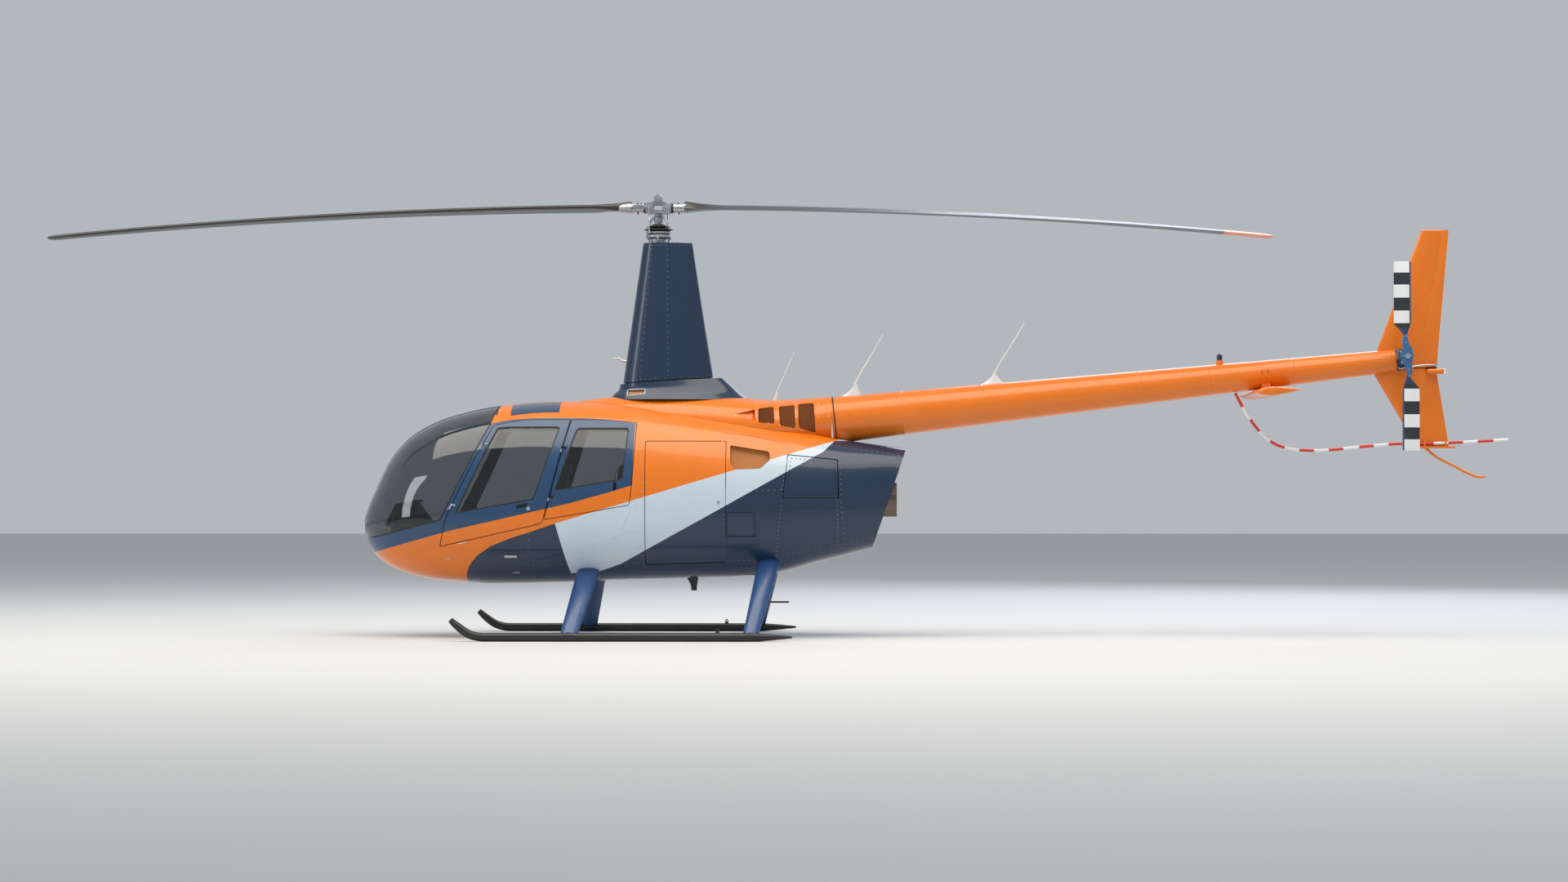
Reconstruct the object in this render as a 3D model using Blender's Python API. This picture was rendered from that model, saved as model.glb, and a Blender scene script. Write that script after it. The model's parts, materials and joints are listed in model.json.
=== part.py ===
# Light turbine helicopter on skids, five seats, two-blade main rotor.
# Metres, +Z up, nose towards -X, the helicopter's left side towards -Y.
# The origin is on the ground under the middle of the whole outline.

import math

import bpy
import bmesh
from mathutils import Matrix, Vector

for old in list(bpy.data.objects):
    bpy.data.objects.remove(old, do_unlink=True)

# Driving dimensions
MAST_X = -0.972
ROTOR_RADIUS = 5.03
BLADE_CHORD = 0.26
BLADE_ROOT_Z = 3.52
BLADE_DROOP = 0.245
WALL = 0.034
GLASS_INSET = 0.006
GLASS_THICK = 0.006
DOOR_GAP = 0.008
DOOR_FLANGE = 0.008
DOOR_FLANGE_WIDTH = 0.018
EAVE_SLOPE = 0.40
SKID_Y = 1.10
SKID_RADIUS = 0.034
BOOM_START = (0.449, 1.770, 0.191)
BOOM_END = (5.060, 2.258, 0.092)
BOOM_WALL = 0.005
BULKHEAD_X = -1.10
TAIL_ROTOR_X = 5.113
TAIL_ROTOR_Z = 2.285
TAIL_ROTOR_Y = -0.330
TAIL_ROTOR_RADIUS = 0.766
FIT = 0.0003

# Fuselage stations: x, top z, bottom z, half width, z of the widest point, upper and lower roundness
BODY = [
    (-3.358, 1.046, 0.771, 0.170, 0.930, 2.1, 2.1),
    (-3.291, 1.207, 0.671, 0.290, 0.945, 2.1, 2.1),
    (-3.157, 1.470, 0.570, 0.420, 0.965, 2.15, 2.15),
    (-3.023, 1.620, 0.517, 0.505, 0.985, 2.2, 2.2),
    (-2.889, 1.710, 0.483, 0.565, 1.000, 2.2, 2.3),
    (-2.755, 1.773, 0.463, 0.610, 1.015, 2.25, 2.4),
    (-2.487, 1.850, 0.443, 0.672, 1.040, 2.3, 2.6),
    (-2.353, 1.877, 0.436, 0.695, 1.050, 2.3, 2.6),
    (-1.817, 1.928, 0.443, 0.735, 1.070, 2.3, 2.6),
    (-1.280, 1.925, 0.463, 0.735, 1.080, 2.3, 2.6),
    (-0.744, 1.865, 0.477, 0.712, 1.080, 2.3, 2.6),
    (-0.208, 1.785, 0.497, 0.655, 1.080, 2.35, 2.6),
    (0.060, 1.730, 0.530, 0.610, 1.080, 2.4, 2.6),
    (0.328, 1.665, 0.604, 0.550, 1.080, 2.6, 2.6),
    (0.596, 1.605, 0.671, 0.475, 1.090, 2.8, 2.6),
    (0.850, 1.570, 0.738, 0.400, 1.110, 3.0, 2.6),
    (1.140, 1.530, 0.812, 0.320, 1.130, 3.0, 2.6),
]
NOSE_X = -3.385
NOSE_Z = 0.930
AFT_LOW = (0.777, 0.715)
AFT_HIGH = (1.057, 1.530)

# Side outlines in x and z
WINDSCREEN = [(-3.60, 0.780), (-3.270, 0.818), (-3.119, 0.851), (-2.697, 0.957), (-2.309, 1.730),
              (-2.272, 1.890), (-2.260, 2.10), (-3.60, 2.10)]
FRONT_DOOR = [(-2.270, 1.730), (-2.648, 0.976), (-2.700, 0.748), (-1.870, 0.933), (-1.828, 1.098), (-1.658, 1.772), (-1.90, 1.776),
              (-2.05, 1.770)]
REAR_DOOR = [(-1.644, 1.772), (-1.814, 1.098), (-1.848, 0.965), (-1.172, 1.080), (-1.150, 1.250), (-1.121, 1.737),
             (-1.36, 1.765)]
FRONT_WINDOW = [(-2.253, 1.672), (-2.574, 1.020), (-2.566, 1.006), (-1.964, 1.114), (-1.925, 1.138), (-1.905, 1.180),
                (-1.742, 1.640), (-1.734, 1.690), (-1.752, 1.711), (-2.161, 1.711), (-2.215, 1.700)]
REAR_WINDOW = [(-1.596, 1.698), (-1.625, 1.660), (-1.767, 1.215), (-1.750, 1.190), (-1.245, 1.276), (-1.212, 1.300),
               (-1.203, 1.331), (-1.176, 1.659), (-1.189, 1.698)]
BAGGAGE_DOOR = [(-1.040, 1.590), (-1.040, 0.600), (-0.400, 0.620), (-0.400, 1.590)]
COWL_DOOR = [(0.104, 1.480), (0.064, 1.140), (0.504, 1.140), (0.497, 1.440)]
ACCESS_DOOR = [(-0.386, 1.006), (-0.376, 1.016), (-0.180, 1.016), (-0.170, 1.006), (-0.160, 0.830), (-0.386, 0.830)]

RING = 36


def colour(name, rgb, metallic=0.0, roughness=0.5, alpha=1.0):
    mat = bpy.data.materials.new(name)
    mat.use_nodes = True
    shader = mat.node_tree.nodes["Principled BSDF"]
    shader.inputs["Base Color"].default_value = (rgb[0], rgb[1], rgb[2], 1.0)
    shader.inputs["Metallic"].default_value = metallic
    shader.inputs["Roughness"].default_value = roughness
    shader.inputs["Alpha"].default_value = alpha
    mat.diffuse_color = (rgb[0], rgb[1], rgb[2], alpha)
    return mat


PAINTS = {
    "orange": ((0.74, 0.18, 0.02), 0.0, 0.3),
    "navy": ((0.02, 0.05, 0.11), 0.0, 0.3),
    "blue": ((0.05, 0.14, 0.26), 0.0, 0.3),
    "pale": ((0.55, 0.66, 0.76), 0.0, 0.3),
    "white": ((0.80, 0.80, 0.80), 0.0, 0.4),
    "black": ((0.02, 0.02, 0.02), 0.0, 0.5),
    "steel": ((0.45, 0.48, 0.52), 1.0, 0.35),
    "leather": ((0.16, 0.14, 0.12), 0.0, 0.6),
    "dark": ((0.05, 0.05, 0.055), 0.0, 0.6),
    "red": ((0.60, 0.03, 0.02), 0.0, 0.4),
    "glass": ((0.10, 0.12, 0.13), 0.0, 0.05),
}


def link(name, mesh, paint, smooth=True):
    obj = bpy.data.objects.new(name, mesh)
    bpy.context.scene.collection.objects.link(obj)
    if paint:
        rgb, metallic, roughness = PAINTS[paint]
        alpha = 0.35 if paint == "glass" else 1.0
        mesh.materials.clear()
        mesh.materials.append(colour(name, rgb, metallic, roughness, alpha))
    if smooth:
        mesh.shade_smooth()
        mesh.set_sharp_from_angle(angle=math.radians(32))
    return obj


def closed(bm):
    bmesh.ops.recalc_face_normals(bm, faces=bm.faces)
    volume = bm.calc_volume(signed=True)
    if volume < 0:
        bmesh.ops.reverse_faces(bm, faces=bm.faces)


def skin(name, rings, paint=None, tips=(None, None), smooth=True):
    """Closed surface through rings of equal length, ends flat or drawn to a tip point."""
    bm = bmesh.new()
    rows = [[bm.verts.new(p) for p in ring] for ring in rings]
    count = len(rows[0])
    for first, second in zip(rows, rows[1:]):
        for i in range(count):
            j = (i + 1) % count
            bm.faces.new((first[i], first[j], second[j], second[i]))
    for row, tip in ((rows[0], tips[0]), (rows[-1], tips[1])):
        if tip is None:
            bm.faces.new(row)
        else:
            point = bm.verts.new(tip)
            for i in range(count):
                bm.faces.new((row[i], row[(i + 1) % count], point))
    twisted = []
    for face in bm.faces:
        face.normal_update()
        middle = face.calc_center_median()
        if any(abs((v.co - middle).dot(face.normal)) > 2e-6 for v in face.verts):
            twisted.append(face)
    bmesh.ops.triangulate(bm, faces=twisted)
    closed(bm)
    mesh = bpy.data.meshes.new(name)
    bm.to_mesh(mesh)
    bm.free()
    return link(name, mesh, paint, smooth)


def prism(name, outline, low, high, paint=None):
    """Side outline in x and z drawn out along y."""
    return skin(name, [[(x, low, z) for x, z in outline], [(x, high, z) for x, z in outline]], paint, smooth=False)


def block(name, low, high, paint=None):
    outline = [(low[0], low[2]), (high[0], low[2]), (high[0], high[2]), (low[0], high[2])]
    return prism(name, outline, low[1], high[1], paint)


def rod(name, path, paint=None, sides=16):
    """Round bar through (x, y, z, radius) points."""
    rings = []
    points = [Vector(p[:3]) for p in path]
    side = None
    for i, p in enumerate(points):
        ahead = points[min(i + 1, len(points) - 1)] - p
        behind = p - points[max(i - 1, 0)]
        along = (ahead.normalized() + behind.normalized()).normalized()
        if side is None:
            guess = Vector((0, 1, 0)) if abs(along.y) < 0.9 else Vector((1, 0, 0))
            side = (guess - along * guess.dot(along)).normalized()
        else:
            side = (side - along * side.dot(along)).normalized()
        up = along.cross(side)
        ring = []
        for k in range(sides):
            a = 2 * math.pi * k / sides
            ring.append(tuple(p + (side * math.cos(a) + up * math.sin(a)) * path[i][3]))
        rings.append(ring)
    return skin(name, rings, paint)


def lathe(name, profile, centre, paint=None, sides=20):
    """Solid of revolution about z through centre, profile of (radius, z)."""
    rings = []
    for r, z in profile:
        rings.append([(centre[0] + r * math.cos(2 * math.pi * k / sides),
                       centre[1] + r * math.sin(2 * math.pi * k / sides), z) for k in range(sides)])
    return skin(name, rings, paint)


def grow(outline, distance):
    """Outline moved outwards by a distance, by corner."""
    area = sum(a[0] * b[1] - b[0] * a[1] for a, b in zip(outline, outline[1:] + outline[:1]))
    sign = 1.0 if area > 0 else -1.0
    result = []
    count = len(outline)
    for i in range(count):
        p0, p1, p2 = Vector(outline[i - 1]), Vector(outline[i]), Vector(outline[(i + 1) % count])
        d1 = (p1 - p0).normalized()
        d2 = (p2 - p1).normalized()
        n1 = Vector((d1.y, -d1.x)) * sign
        n2 = Vector((d2.y, -d2.x)) * sign
        n = (n1 + n2).normalized()
        result.append(tuple(p1 + n * (distance / max(0.35, n.dot(n1)))))
    return result


def combine(target, other, operation, keep=False):
    mod = target.modifiers.new("cut", "BOOLEAN")
    mod.operation = operation
    mod.solver = "EXACT"
    mod.object = other
    bpy.context.view_layer.update()
    graph = bpy.context.evaluated_depsgraph_get()
    mesh = bpy.data.meshes.new_from_object(target.evaluated_get(graph))
    target.modifiers.clear()
    old = target.data
    target.data = mesh
    bpy.data.meshes.remove(old)
    if not keep:
        bpy.data.objects.remove(other, do_unlink=True)
    bm = bmesh.new()
    bm.from_mesh(mesh)
    bmesh.ops.remove_doubles(bm, verts=bm.verts, dist=2e-5)
    bmesh.ops.dissolve_degenerate(bm, edges=bm.edges, dist=2e-5)
    bm.to_mesh(mesh)
    bm.free()
    return target


def cut(target, other, keep=False):
    return combine(target, other, "DIFFERENCE", keep)


def common(target, other, keep=False):
    return combine(target, other, "INTERSECT", keep)


def join(target, other):
    return combine(target, other, "UNION")


def clone(source, name):
    return link(name, source.data.copy(), None, smooth=False)


def drop_slivers(bm):
    """Remove loose edges and the small splinters a cut can leave beside the main piece."""
    bmesh.ops.delete(bm, geom=[e for e in bm.edges if not e.link_faces], context="EDGES")
    bmesh.ops.delete(bm, geom=[v for v in bm.verts if not v.link_faces], context="VERTS")
    left = set(bm.verts)
    groups = []
    while left:
        start = left.pop()
        group = [start]
        stack = [start]
        while stack:
            for edge in stack.pop().link_edges:
                for other in edge.verts:
                    if other in left:
                        left.remove(other)
                        group.append(other)
                        stack.append(other)
        groups.append(group)
    groups.sort(key=len)
    for group in groups[:-1]:
        if len(group) < 12:
            bmesh.ops.delete(bm, geom=group, context="VERTS")


def finish(obj, paint, name=None):
    if name:
        obj.name = name
        obj.data.name = name
    rgb, metallic, roughness = PAINTS[paint]
    obj.data.materials.clear()
    obj.data.materials.append(colour(obj.name, rgb, metallic, roughness, 0.35 if paint == "glass" else 1.0))
    bm = bmesh.new()
    bm.from_mesh(obj.data)
    bmesh.ops.dissolve_limit(bm, angle_limit=0.0002, verts=bm.verts, edges=bm.edges)
    drop_slivers(bm)
    closed(bm)
    bm.to_mesh(obj.data)
    bm.free()
    obj.data.shade_smooth()
    obj.data.set_sharp_from_angle(angle=math.radians(32))
    return obj


def mirror_copy(source, name, paint):
    mesh = source.data.copy()
    mesh.transform(Matrix.Scale(-1, 4, (0, 1, 0)))
    mesh.flip_normals()
    return finish(link(name, mesh, None, smooth=False), paint)


def station(x):
    """Fuselage section values at x."""
    if x <= BODY[0][0]:
        return BODY[0]
    for a, b in zip(BODY, BODY[1:]):
        if a[0] <= x <= b[0]:
            t = (x - a[0]) / (b[0] - a[0])
            return tuple(p + (q - p) * t for p, q in zip(a, b))
    return BODY[-1]


def section(values, inset, count=RING):
    x, top, low, half, wide, up, down = values
    ring = []
    for k in range(count):
        a = 2 * math.pi * (k + 0.5) / count
        c, s = math.cos(a), math.sin(a)
        power = up if s > 0 else down
        y = (half - inset) * math.copysign(abs(c) ** (2 / power), c)
        rise = (top - inset - wide) if s > 0 else (wide - low - inset)
        ring.append((x, y, wide + rise * math.copysign(abs(s) ** (2 / power), s)))
    return ring


def hull(name, inset, first=None, last=None):
    """Fuselage loft set in from the outer surface, whole nose or from one x to another."""
    rings = []
    if first is not None:
        rings.append(section(station(first), inset))
    for values in BODY:
        if first is not None and values[0] <= first + 0.01:
            continue
        if last is not None and values[0] >= last - 0.01:
            continue
        if first is None and values[3] - inset < 0.10:
            continue
        rings.append(section(values, inset))
    if last is not None:
        rings.append(section(station(last), inset))
    tip = (NOSE_X + inset, 0.0, NOSE_Z) if first is None else None
    return skin(name, rings, None, (tip, None))


def side_y(x, z):
    """Half width of the outer surface at a place in the side view."""
    x0, top, low, half, wide, up, down = station(x)
    if z >= wide:
        t, power = (z - wide) / (top - wide), up
    else:
        t, power = (wide - z) / (wide - low), down
    return half * max(0.0, 1 - min(1.0, t) ** power) ** (1 / power)


def door_prism(name, outline, clearance, low=-1.0, high=-0.2):
    """Cabin door outline drawn out along y, its top edge rising outwards along the roof's eave."""
    outline = grow(outline, clearance) if clearance else list(outline)
    front = min(p[0] for p in outline if p[1] > 1.60)
    rear = max(p[0] for p in outline if p[1] > 1.60)
    front_lean = 0.433 if front < -2.0 else 0.251
    rear_lean = 0.251 if front < -2.0 else 0.060
    rings = []
    for y in (low, high):
        rise = EAVE_SLOPE * (abs(y) - 0.490)
        ring = []
        for x, z in outline:
            if z > 1.60:
                t = (x - front) / (rear - front)
                lean = front_lean + (rear_lean - front_lean) * t
                ring.append((x + lean * rise, y, z + rise))
            else:
                ring.append((x, y, z))
        rings.append(ring)
    return skin(name, rings, None, smooth=False)


def door_room(target):
    """Both cabin doors' openings cut on both sides."""
    for outline in (FRONT_DOOR, REAR_DOOR):
        cut(target, door_prism("hole_left", outline, DOOR_GAP))
        cut(target, door_prism("hole_right", outline, DOOR_GAP, 1.0, 0.2))


def hinge_line(first, second, stand_off):
    """Straight hinge line beside the left skin between two side view points, outside its bulge."""
    y1, y2 = side_y(*first), side_y(*second)
    extra = 0.0
    for i in range(41):
        t = i / 40
        x = first[0] + (second[0] - first[0]) * t
        z = first[1] + (second[1] - first[1]) * t
        extra = max(extra, side_y(x, z) - (y1 + (y2 - y1) * t))
    a = (first[0], -(y1 + extra + stand_off), first[1])
    b = (second[0], -(y2 + extra + stand_off), second[1])
    return a, b


# Hinge lines beside the gap ahead of or below each door. The cabin doors' lines stand nearly upright seen from
# the front, so that the doors' lower corners don't dip into the sill. The others lie 14 mm outside the skin.
HINGES = {
    "door_front": ((-2.6545, -0.670, 0.976), (-2.2765, -0.640, 1.730)),
    "door_rear": ((-1.850, -0.770, 0.985), (-1.659, -0.660, 1.740)),
    "door_baggage": ((-1.044, 0.600), (-1.044, 1.590)),
    "engine_cowl": ((0.068, 1.135), (0.500, 1.135)),
    "access": ((-0.386, 0.826), (-0.160, 0.826)),
}


def on_hinge(key, t):
    """Point at a share of the hinge line, and the line's direction."""
    ends = HINGES[key]
    if len(ends[0]) == 2:
        ends = hinge_line(*ends, 0.014)
    a, b = Vector(ends[0]), Vector(ends[1])
    return a + (b - a) * t, (b - a).normalized()


def skin_point(x, z, depth):
    return Vector((x, -(side_y(x, z) - depth), z))


def knuckle(target, key, t, foot, half, thick, mirrored=False):
    """Half of a hinge barrel on the line with its arm down to a foot point in the piece it belongs to."""
    point, along = on_hinge(key, t)
    near = point + along * (0.00015 if half > 0 else -0.00015)
    far = point + along * (0.028 * half)
    middle = (near + far) / 2
    foot = Vector(foot) + (middle - point)
    for a, b, radius in ((near, far, thick * 1.25), (middle, foot, thick)):
        a, b = a.copy(), b.copy()
        if mirrored:
            a.y, b.y = -a.y, -b.y
        join(target, rod("barrel", [(a.x, a.y, a.z, radius), (b.x, b.y, b.z, radius)], sides=6))
    return target


# Cabin shell with its door, window and windscreen openings
outer = hull("outer", 0.0)
inner = hull("inner", WALL)
shell = clone(outer, "shell")
cut(shell, inner)
common(shell, block("front_part", (-4.0, -1.0, 0.2), (-1.16, 1.0, 2.2)))

frame = clone(shell, "frame")
cut(frame, prism("screen_hole", grow(WINDSCREEN, 0.0), -1.0, 1.0))
door_room(frame)

roof = clone(frame, "cabin_roof")
common(roof, block("above", (-4.0, -1.0, 1.7153), (-1.10, 1.0, 2.3)))
posts_box = [(-3.6, 0.9565), (-2.0, 0.9565), (-2.0, 1.715), (-3.6, 1.715)]
for side, low, high in (("left", -1.0, 0.0), ("right", 0.0, 1.0)):
    post = clone(frame, "windscreen_post_" + side)
    common(post, prism("post_zone", posts_box, low, high))
    for t in (0.12, 0.76):
        place = on_hinge("door_front", t)[0]
        knuckle(post, "door_front", t, skin_point(place.x - 0.018, place.z, 0.014), -1, 0.0045, side == "right")
    finish(post, "blue")
tub = frame
common(tub, block("below", (-4.0, -1.0, 0.2), (-1.10, 1.0, 1.7147)))
cut(tub, prism("post_room", grow(posts_box, FIT), -1.0, 1.0))
finish(tub, "orange", "nose_and_belly_shell")

# Hoop behind the meeting edges of the front and rear doors, from the floor into the roof
post_outline = [(-1.576, 1.960), (-1.628, 1.960), (-1.882, 0.960), (-1.920, 0.6203), (-1.870, 0.6203),
                (-1.830, 0.960)]
middle = hull("door_post", WALL + 0.005)
common(middle, prism("post_zone", post_outline, -1.0, 1.0))
cut(middle, hull("post_inside", WALL + 0.032))
hoop = hull("hoop_top", WALL - 0.010)
common(hoop, prism("post_zone", post_outline, -1.0, 1.0))
cut(hoop, hull("post_inside", WALL + 0.032))
common(hoop, block("roof_part", (-2.0, -1.0, 1.8000), (-1.5, 1.0, 2.0)))
join(roof, hoop)
join(roof, middle)
for t in (0.20, 0.72):
    place = on_hinge("door_rear", t)[0]
    for mirrored in (False, True):
        knuckle(roof, "door_rear", t, skin_point(place.x - 0.002, place.z, WALL + 0.018), -1, 0.0032, mirrored)
finish(roof, "orange", "cabin_roof")

# Windscreen halves and the strip between them
glass_shell = hull("glass_outer", GLASS_INSET)
cut(glass_shell, hull("glass_inner", GLASS_INSET + GLASS_THICK))
pane = clone(glass_shell, "windscreen_left")
common(pane, prism("pane_zone", grow(WINDSCREEN, -FIT), -1.0, -0.0153))
finish(pane, "glass")
mirror_copy(pane, "windscreen_right", "glass")
strip = clone(shell, "windscreen_centre_strip")
common(strip, prism("strip_zone", grow(WINDSCREEN, -FIT), -0.015, 0.015))
cut(strip, hull("strip_inside", 0.016))
finish(strip, "steel")

# Cabin doors with their panes
for name, outline, window in (("front", FRONT_DOOR, FRONT_WINDOW), ("rear", REAR_DOOR, REAR_WINDOW)):
    door = clone(outer, "door_" + name + "_left")
    common(door, door_prism("door_zone", outline, 0.0))
    cut(door, hull("door_inside", WALL))
    rebate = hull("rebate", DOOR_FLANGE)
    cut(rebate, door_prism("core_zone", grow(outline, -DOOR_FLANGE_WIDTH), 0.0))
    cut(door, rebate)
    cut(door, prism("window_hole", window, -1.0, -0.2))
    for t in ((0.12, 0.76) if name == "front" else (0.20, 0.72)):
        place = on_hinge("door_" + name, t)[0]
        knuckle(door, "door_" + name, t, skin_point(place.x + 0.030, place.z, 0.014), 1, 0.0045)
    finish(door, "blue")
    mirror_copy(door, "door_" + name + "_right", "blue")
    pane = clone(glass_shell, "door_glass_" + name + "_left")
    common(pane, prism("pane_zone", grow(window, -FIT), -1.0, -0.2))
    finish(pane, "glass")
    mirror_copy(pane, "door_glass_" + name + "_right", "glass")

# Cabin floor and rear bulkhead
floor = hull("cabin_floor", WALL + 0.0012)
common(floor, block("floor_zone", (-3.20, -1.0, 0.3), (-1.1605, 1.0, 0.620)))
finish(floor, "dark")

# Seats
SEAT_SIDE = [(-2.330, 0.6203), (-2.345, 0.860), (-2.330, 0.930), (-1.950, 0.900), (-1.800, 1.420), (-1.700, 1.420),
             (-1.840, 0.6203)]
for side, low, high in (("left", -0.560, -0.090), ("right", 0.090, 0.560)):
    seat = prism("seat_front_" + side, SEAT_SIDE, low, high)
    common(seat, hull("seat_limit", WALL + 0.045))
    finish(seat, "leather")
BENCH_SIDE = [(-1.740, 0.6203), (-1.750, 0.860), (-1.730, 0.900), (-1.330, 0.880), (-1.245, 1.440), (-1.165, 1.440),
              (-1.165, 0.6203)]
bench = prism("seat_rear_bench", BENCH_SIDE, -0.640, 0.640)
common(bench, hull("bench_limit", WALL + 0.045))
finish(bench, "leather")

# Instrument console and centre cyclic stick
console_side = [(-3.130, 0.6203), (-3.150, 0.900), (-3.060, 1.080), (-2.960, 1.100), (-2.900, 1.020), (-2.700, 0.760),
                (-2.700, 0.6203)]
console = prism("instrument_console", console_side, -0.190, 0.190)
common(console, hull("console_limit", WALL + 0.02))
finish(console, "dark")
stick = rod("cyclic_stick", [(-2.460, 0, 0.6203, 0.016), (-2.460, 0, 0.70, 0.016), (-2.470, 0, 0.80, 0.016), (-2.500, 0, 1.00, 0.014),
                             (-2.520, 0, 1.13, 0.014)])
join(stick, rod("bar", [(-2.515, -0.330, 1.10, 0.012), (-2.515, 0.330, 1.10, 0.012)], sides=12))
for y in (-0.330, 0.330):
    join(stick, rod("grip", [(-2.515, y, 1.100, 0.017), (-2.505, y, 0.965, 0.017)], sides=12))
finish(stick, "black")

# Aft fuselage with baggage bay and engine bay
aft = clone(outer, "aft_fuselage")
common(aft, block("aft_zone", (-1.1597, -1.0, 0.2), (1.30, 1.0, 2.2)))
door_room(aft)
cut(aft, hull("space_behind_door", WALL, -1.30, BULKHEAD_X - 0.03))
bay = hull("baggage_bay", 0.030, BULKHEAD_X + 0.005, -0.430)
common(bay, block("bay_zone", (-1.2, -1.0, 0.55), (0.0, 1.0, 1.68)))
cut(aft, bay)
engine_bay = hull("engine_bay", 0.026, -0.400, 1.030)
common(engine_bay, block("engine_zone", (-0.5, -1.0, 0.40), (1.1, 1.0, 1.50)))
slant = (AFT_HIGH[0] - AFT_LOW[0]) / (AFT_HIGH[1] - AFT_LOW[1])
aft_line = [(AFT_LOW[0] + slant * (0.3 - AFT_LOW[1]), 0.3), (AFT_LOW[0] + slant * (2.0 - AFT_LOW[1]), 2.0)]
inner_line = [(x - 0.020, z) for x, z in aft_line]
common(engine_bay, prism("bay_end", [(-1.0, 0.3), inner_line[0], inner_line[1], (-1.0, 2.0)], -1.0, 1.0))
cut(aft, engine_bay)
common(aft, prism("aft_end", [(-2.0, 0.3), aft_line[0], aft_line[1], (-2.0, 2.0)], -1.0, 1.0))
cut(aft, prism("baggage_hole", grow(BAGGAGE_DOOR, DOOR_GAP), -1.0, -0.3))
cut(aft, prism("cowl_hole_left", grow(COWL_DOOR, DOOR_GAP + 0.002), -1.0, -0.2))
cut(aft, prism("cowl_hole_right", grow(COWL_DOOR, DOOR_GAP + 0.002), 0.2, 1.0))
cut(aft, prism("access_hole", grow(ACCESS_DOOR, DOOR_GAP), -1.0, -0.3))
outlet = [[(0.70, 0.150 * math.cos(a), 1.120 + 0.190 * math.sin(a)) for a in
           [2 * math.pi * k / 20 for k in range(20)]],
          [(1.30, 0.150 * math.cos(a), 1.120 + 0.190 * math.sin(a)) for a in
           [2 * math.pi * k / 20 for k in range(20)]]]
cut(aft, skin("outlet_hole", outlet))
for t in (0.22, 0.66):
    place = on_hinge("door_baggage", t)[0]
    knuckle(aft, "door_baggage", t, skin_point(place.x - 0.030, place.z, 0.012), -1, 0.0045)
for t in (0.15, 0.85):
    place = on_hinge("engine_cowl", t)[0]
    for mirrored in (False, True):
        knuckle(aft, "engine_cowl", t, skin_point(place.x, place.z - 0.030, 0.012), -1, 0.0035, mirrored)
    place = on_hinge("access", t)[0]
    knuckle(aft, "access", t, skin_point(place.x, place.z - 0.030, 0.012), -1, 0.0035)
boom_room = rod("boom_room", [(0.20, 0, 1.770 - 0.249 * 0.10583, 0.1935), (0.449, 0, 1.770, 0.1925),
                              (2.0, 0, 1.934, 0.160)], sides=28)
cut(aft, boom_room)
finish(aft, "navy")

# Engine block and exhaust duct
engine = block("engine_block", (-0.3997, -0.230, 0.780), (0.380, 0.230, 1.300))
finish(engine, "steel")
exhaust = skin("exhaust_pipe", [[(x, 0.110 * math.cos(a), 1.120 + 0.140 * math.sin(a)) for a in
                                 [2 * math.pi * k / 20 for k in range(20)]] for x in (0.3803, 0.985)])
cut(exhaust, skin("exhaust_bore", [[(x, 0.100 * math.cos(a), 1.120 + 0.130 * math.sin(a)) for a in
                                    [2 * math.pi * k / 20 for k in range(20)]] for x in (0.420, 1.10)]))
finish(exhaust, "steel")

# Baggage, engine cowl and access doors
baggage = clone(outer, "door_baggage_left")
common(baggage, prism("door_zone", BAGGAGE_DOOR, -1.0, -0.3))
cut(baggage, hull("door_inside", 0.028, -1.5, 0.3))
for t in (0.22, 0.66):
    place = on_hinge("door_baggage", t)[0]
    knuckle(baggage, "door_baggage", t, skin_point(place.x + 0.034, place.z, 0.012), 1, 0.0045)
finish(baggage, "pale")
cowl = clone(outer, "engine_cowl_door_left")
common(cowl, prism("door_zone", COWL_DOOR, -1.0, -0.2))
cut(cowl, hull("door_inside", 0.014, -0.6, 1.1))
for t in (0.15, 0.85):
    place = on_hinge("engine_cowl", t)[0]
    knuckle(cowl, "engine_cowl", t, skin_point(place.x, place.z + 0.032, 0.007), 1, 0.0035)
finish(cowl, "navy")
mirror_copy(cowl, "engine_cowl_door_right", "navy")
access = clone(outer, "access_door_left")
common(access, prism("door_zone", ACCESS_DOOR, -1.0, -0.3))
cut(access, hull("door_inside", 0.014, -0.8, 0.3))
for t in (0.15, 0.85):
    place = on_hinge("access", t)[0]
    knuckle(access, "access", t, skin_point(place.x, place.z + 0.030, 0.007), 1, 0.0035)
finish(access, "navy")

# Raised top cowling from the cabin roof to the boom: x, top z, half width, middle z, roundness
TOP_COWL = [
    (-1.620, 1.9345, 0.200, 1.800, 2.0),
    (-1.500, 1.948, 0.260, 1.780, 2.1),
    (-1.367, 1.963, 0.300, 1.765, 2.2),
    (-1.200, 1.972, 0.325, 1.750, 2.3),
    (-0.900, 1.976, 0.345, 1.730, 2.3),
    (-0.500, 1.972, 0.360, 1.700, 2.2),
    (-0.208, 1.952, 0.355, 1.700, 2.1),
    (-0.027, 1.938, 0.335, 1.710, 2.0),
    (0.150, 1.945, 0.290, 1.735, 2.0),
    (0.300, 1.956, 0.235, 1.755, 2.0),
    (0.449, 1.964, 0.196, 1.770, 2.0),
]
rings = []
for x, top, half, middle_z, power in TOP_COWL:
    ring = []
    for k in range(28):
        a = 2 * math.pi * (k + 0.5) / 28
        c, s = math.cos(a), math.sin(a)
        rise = top - middle_z
        ring.append((x, half * math.copysign(abs(c) ** (2 / power), c),
                     middle_z + rise * math.copysign(abs(s) ** (2 / power), s)))
    rings.append(ring)
top_cowl = skin("top_cowling", rings)
cut(top_cowl, hull("body_room", -0.0006))
cut(top_cowl, rod("boom_room", [(0.400, 0, 1.7648, 0.1914), (0.60, 0, 1.7860, 0.1914)], sides=28))
finish(top_cowl, "orange")

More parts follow.
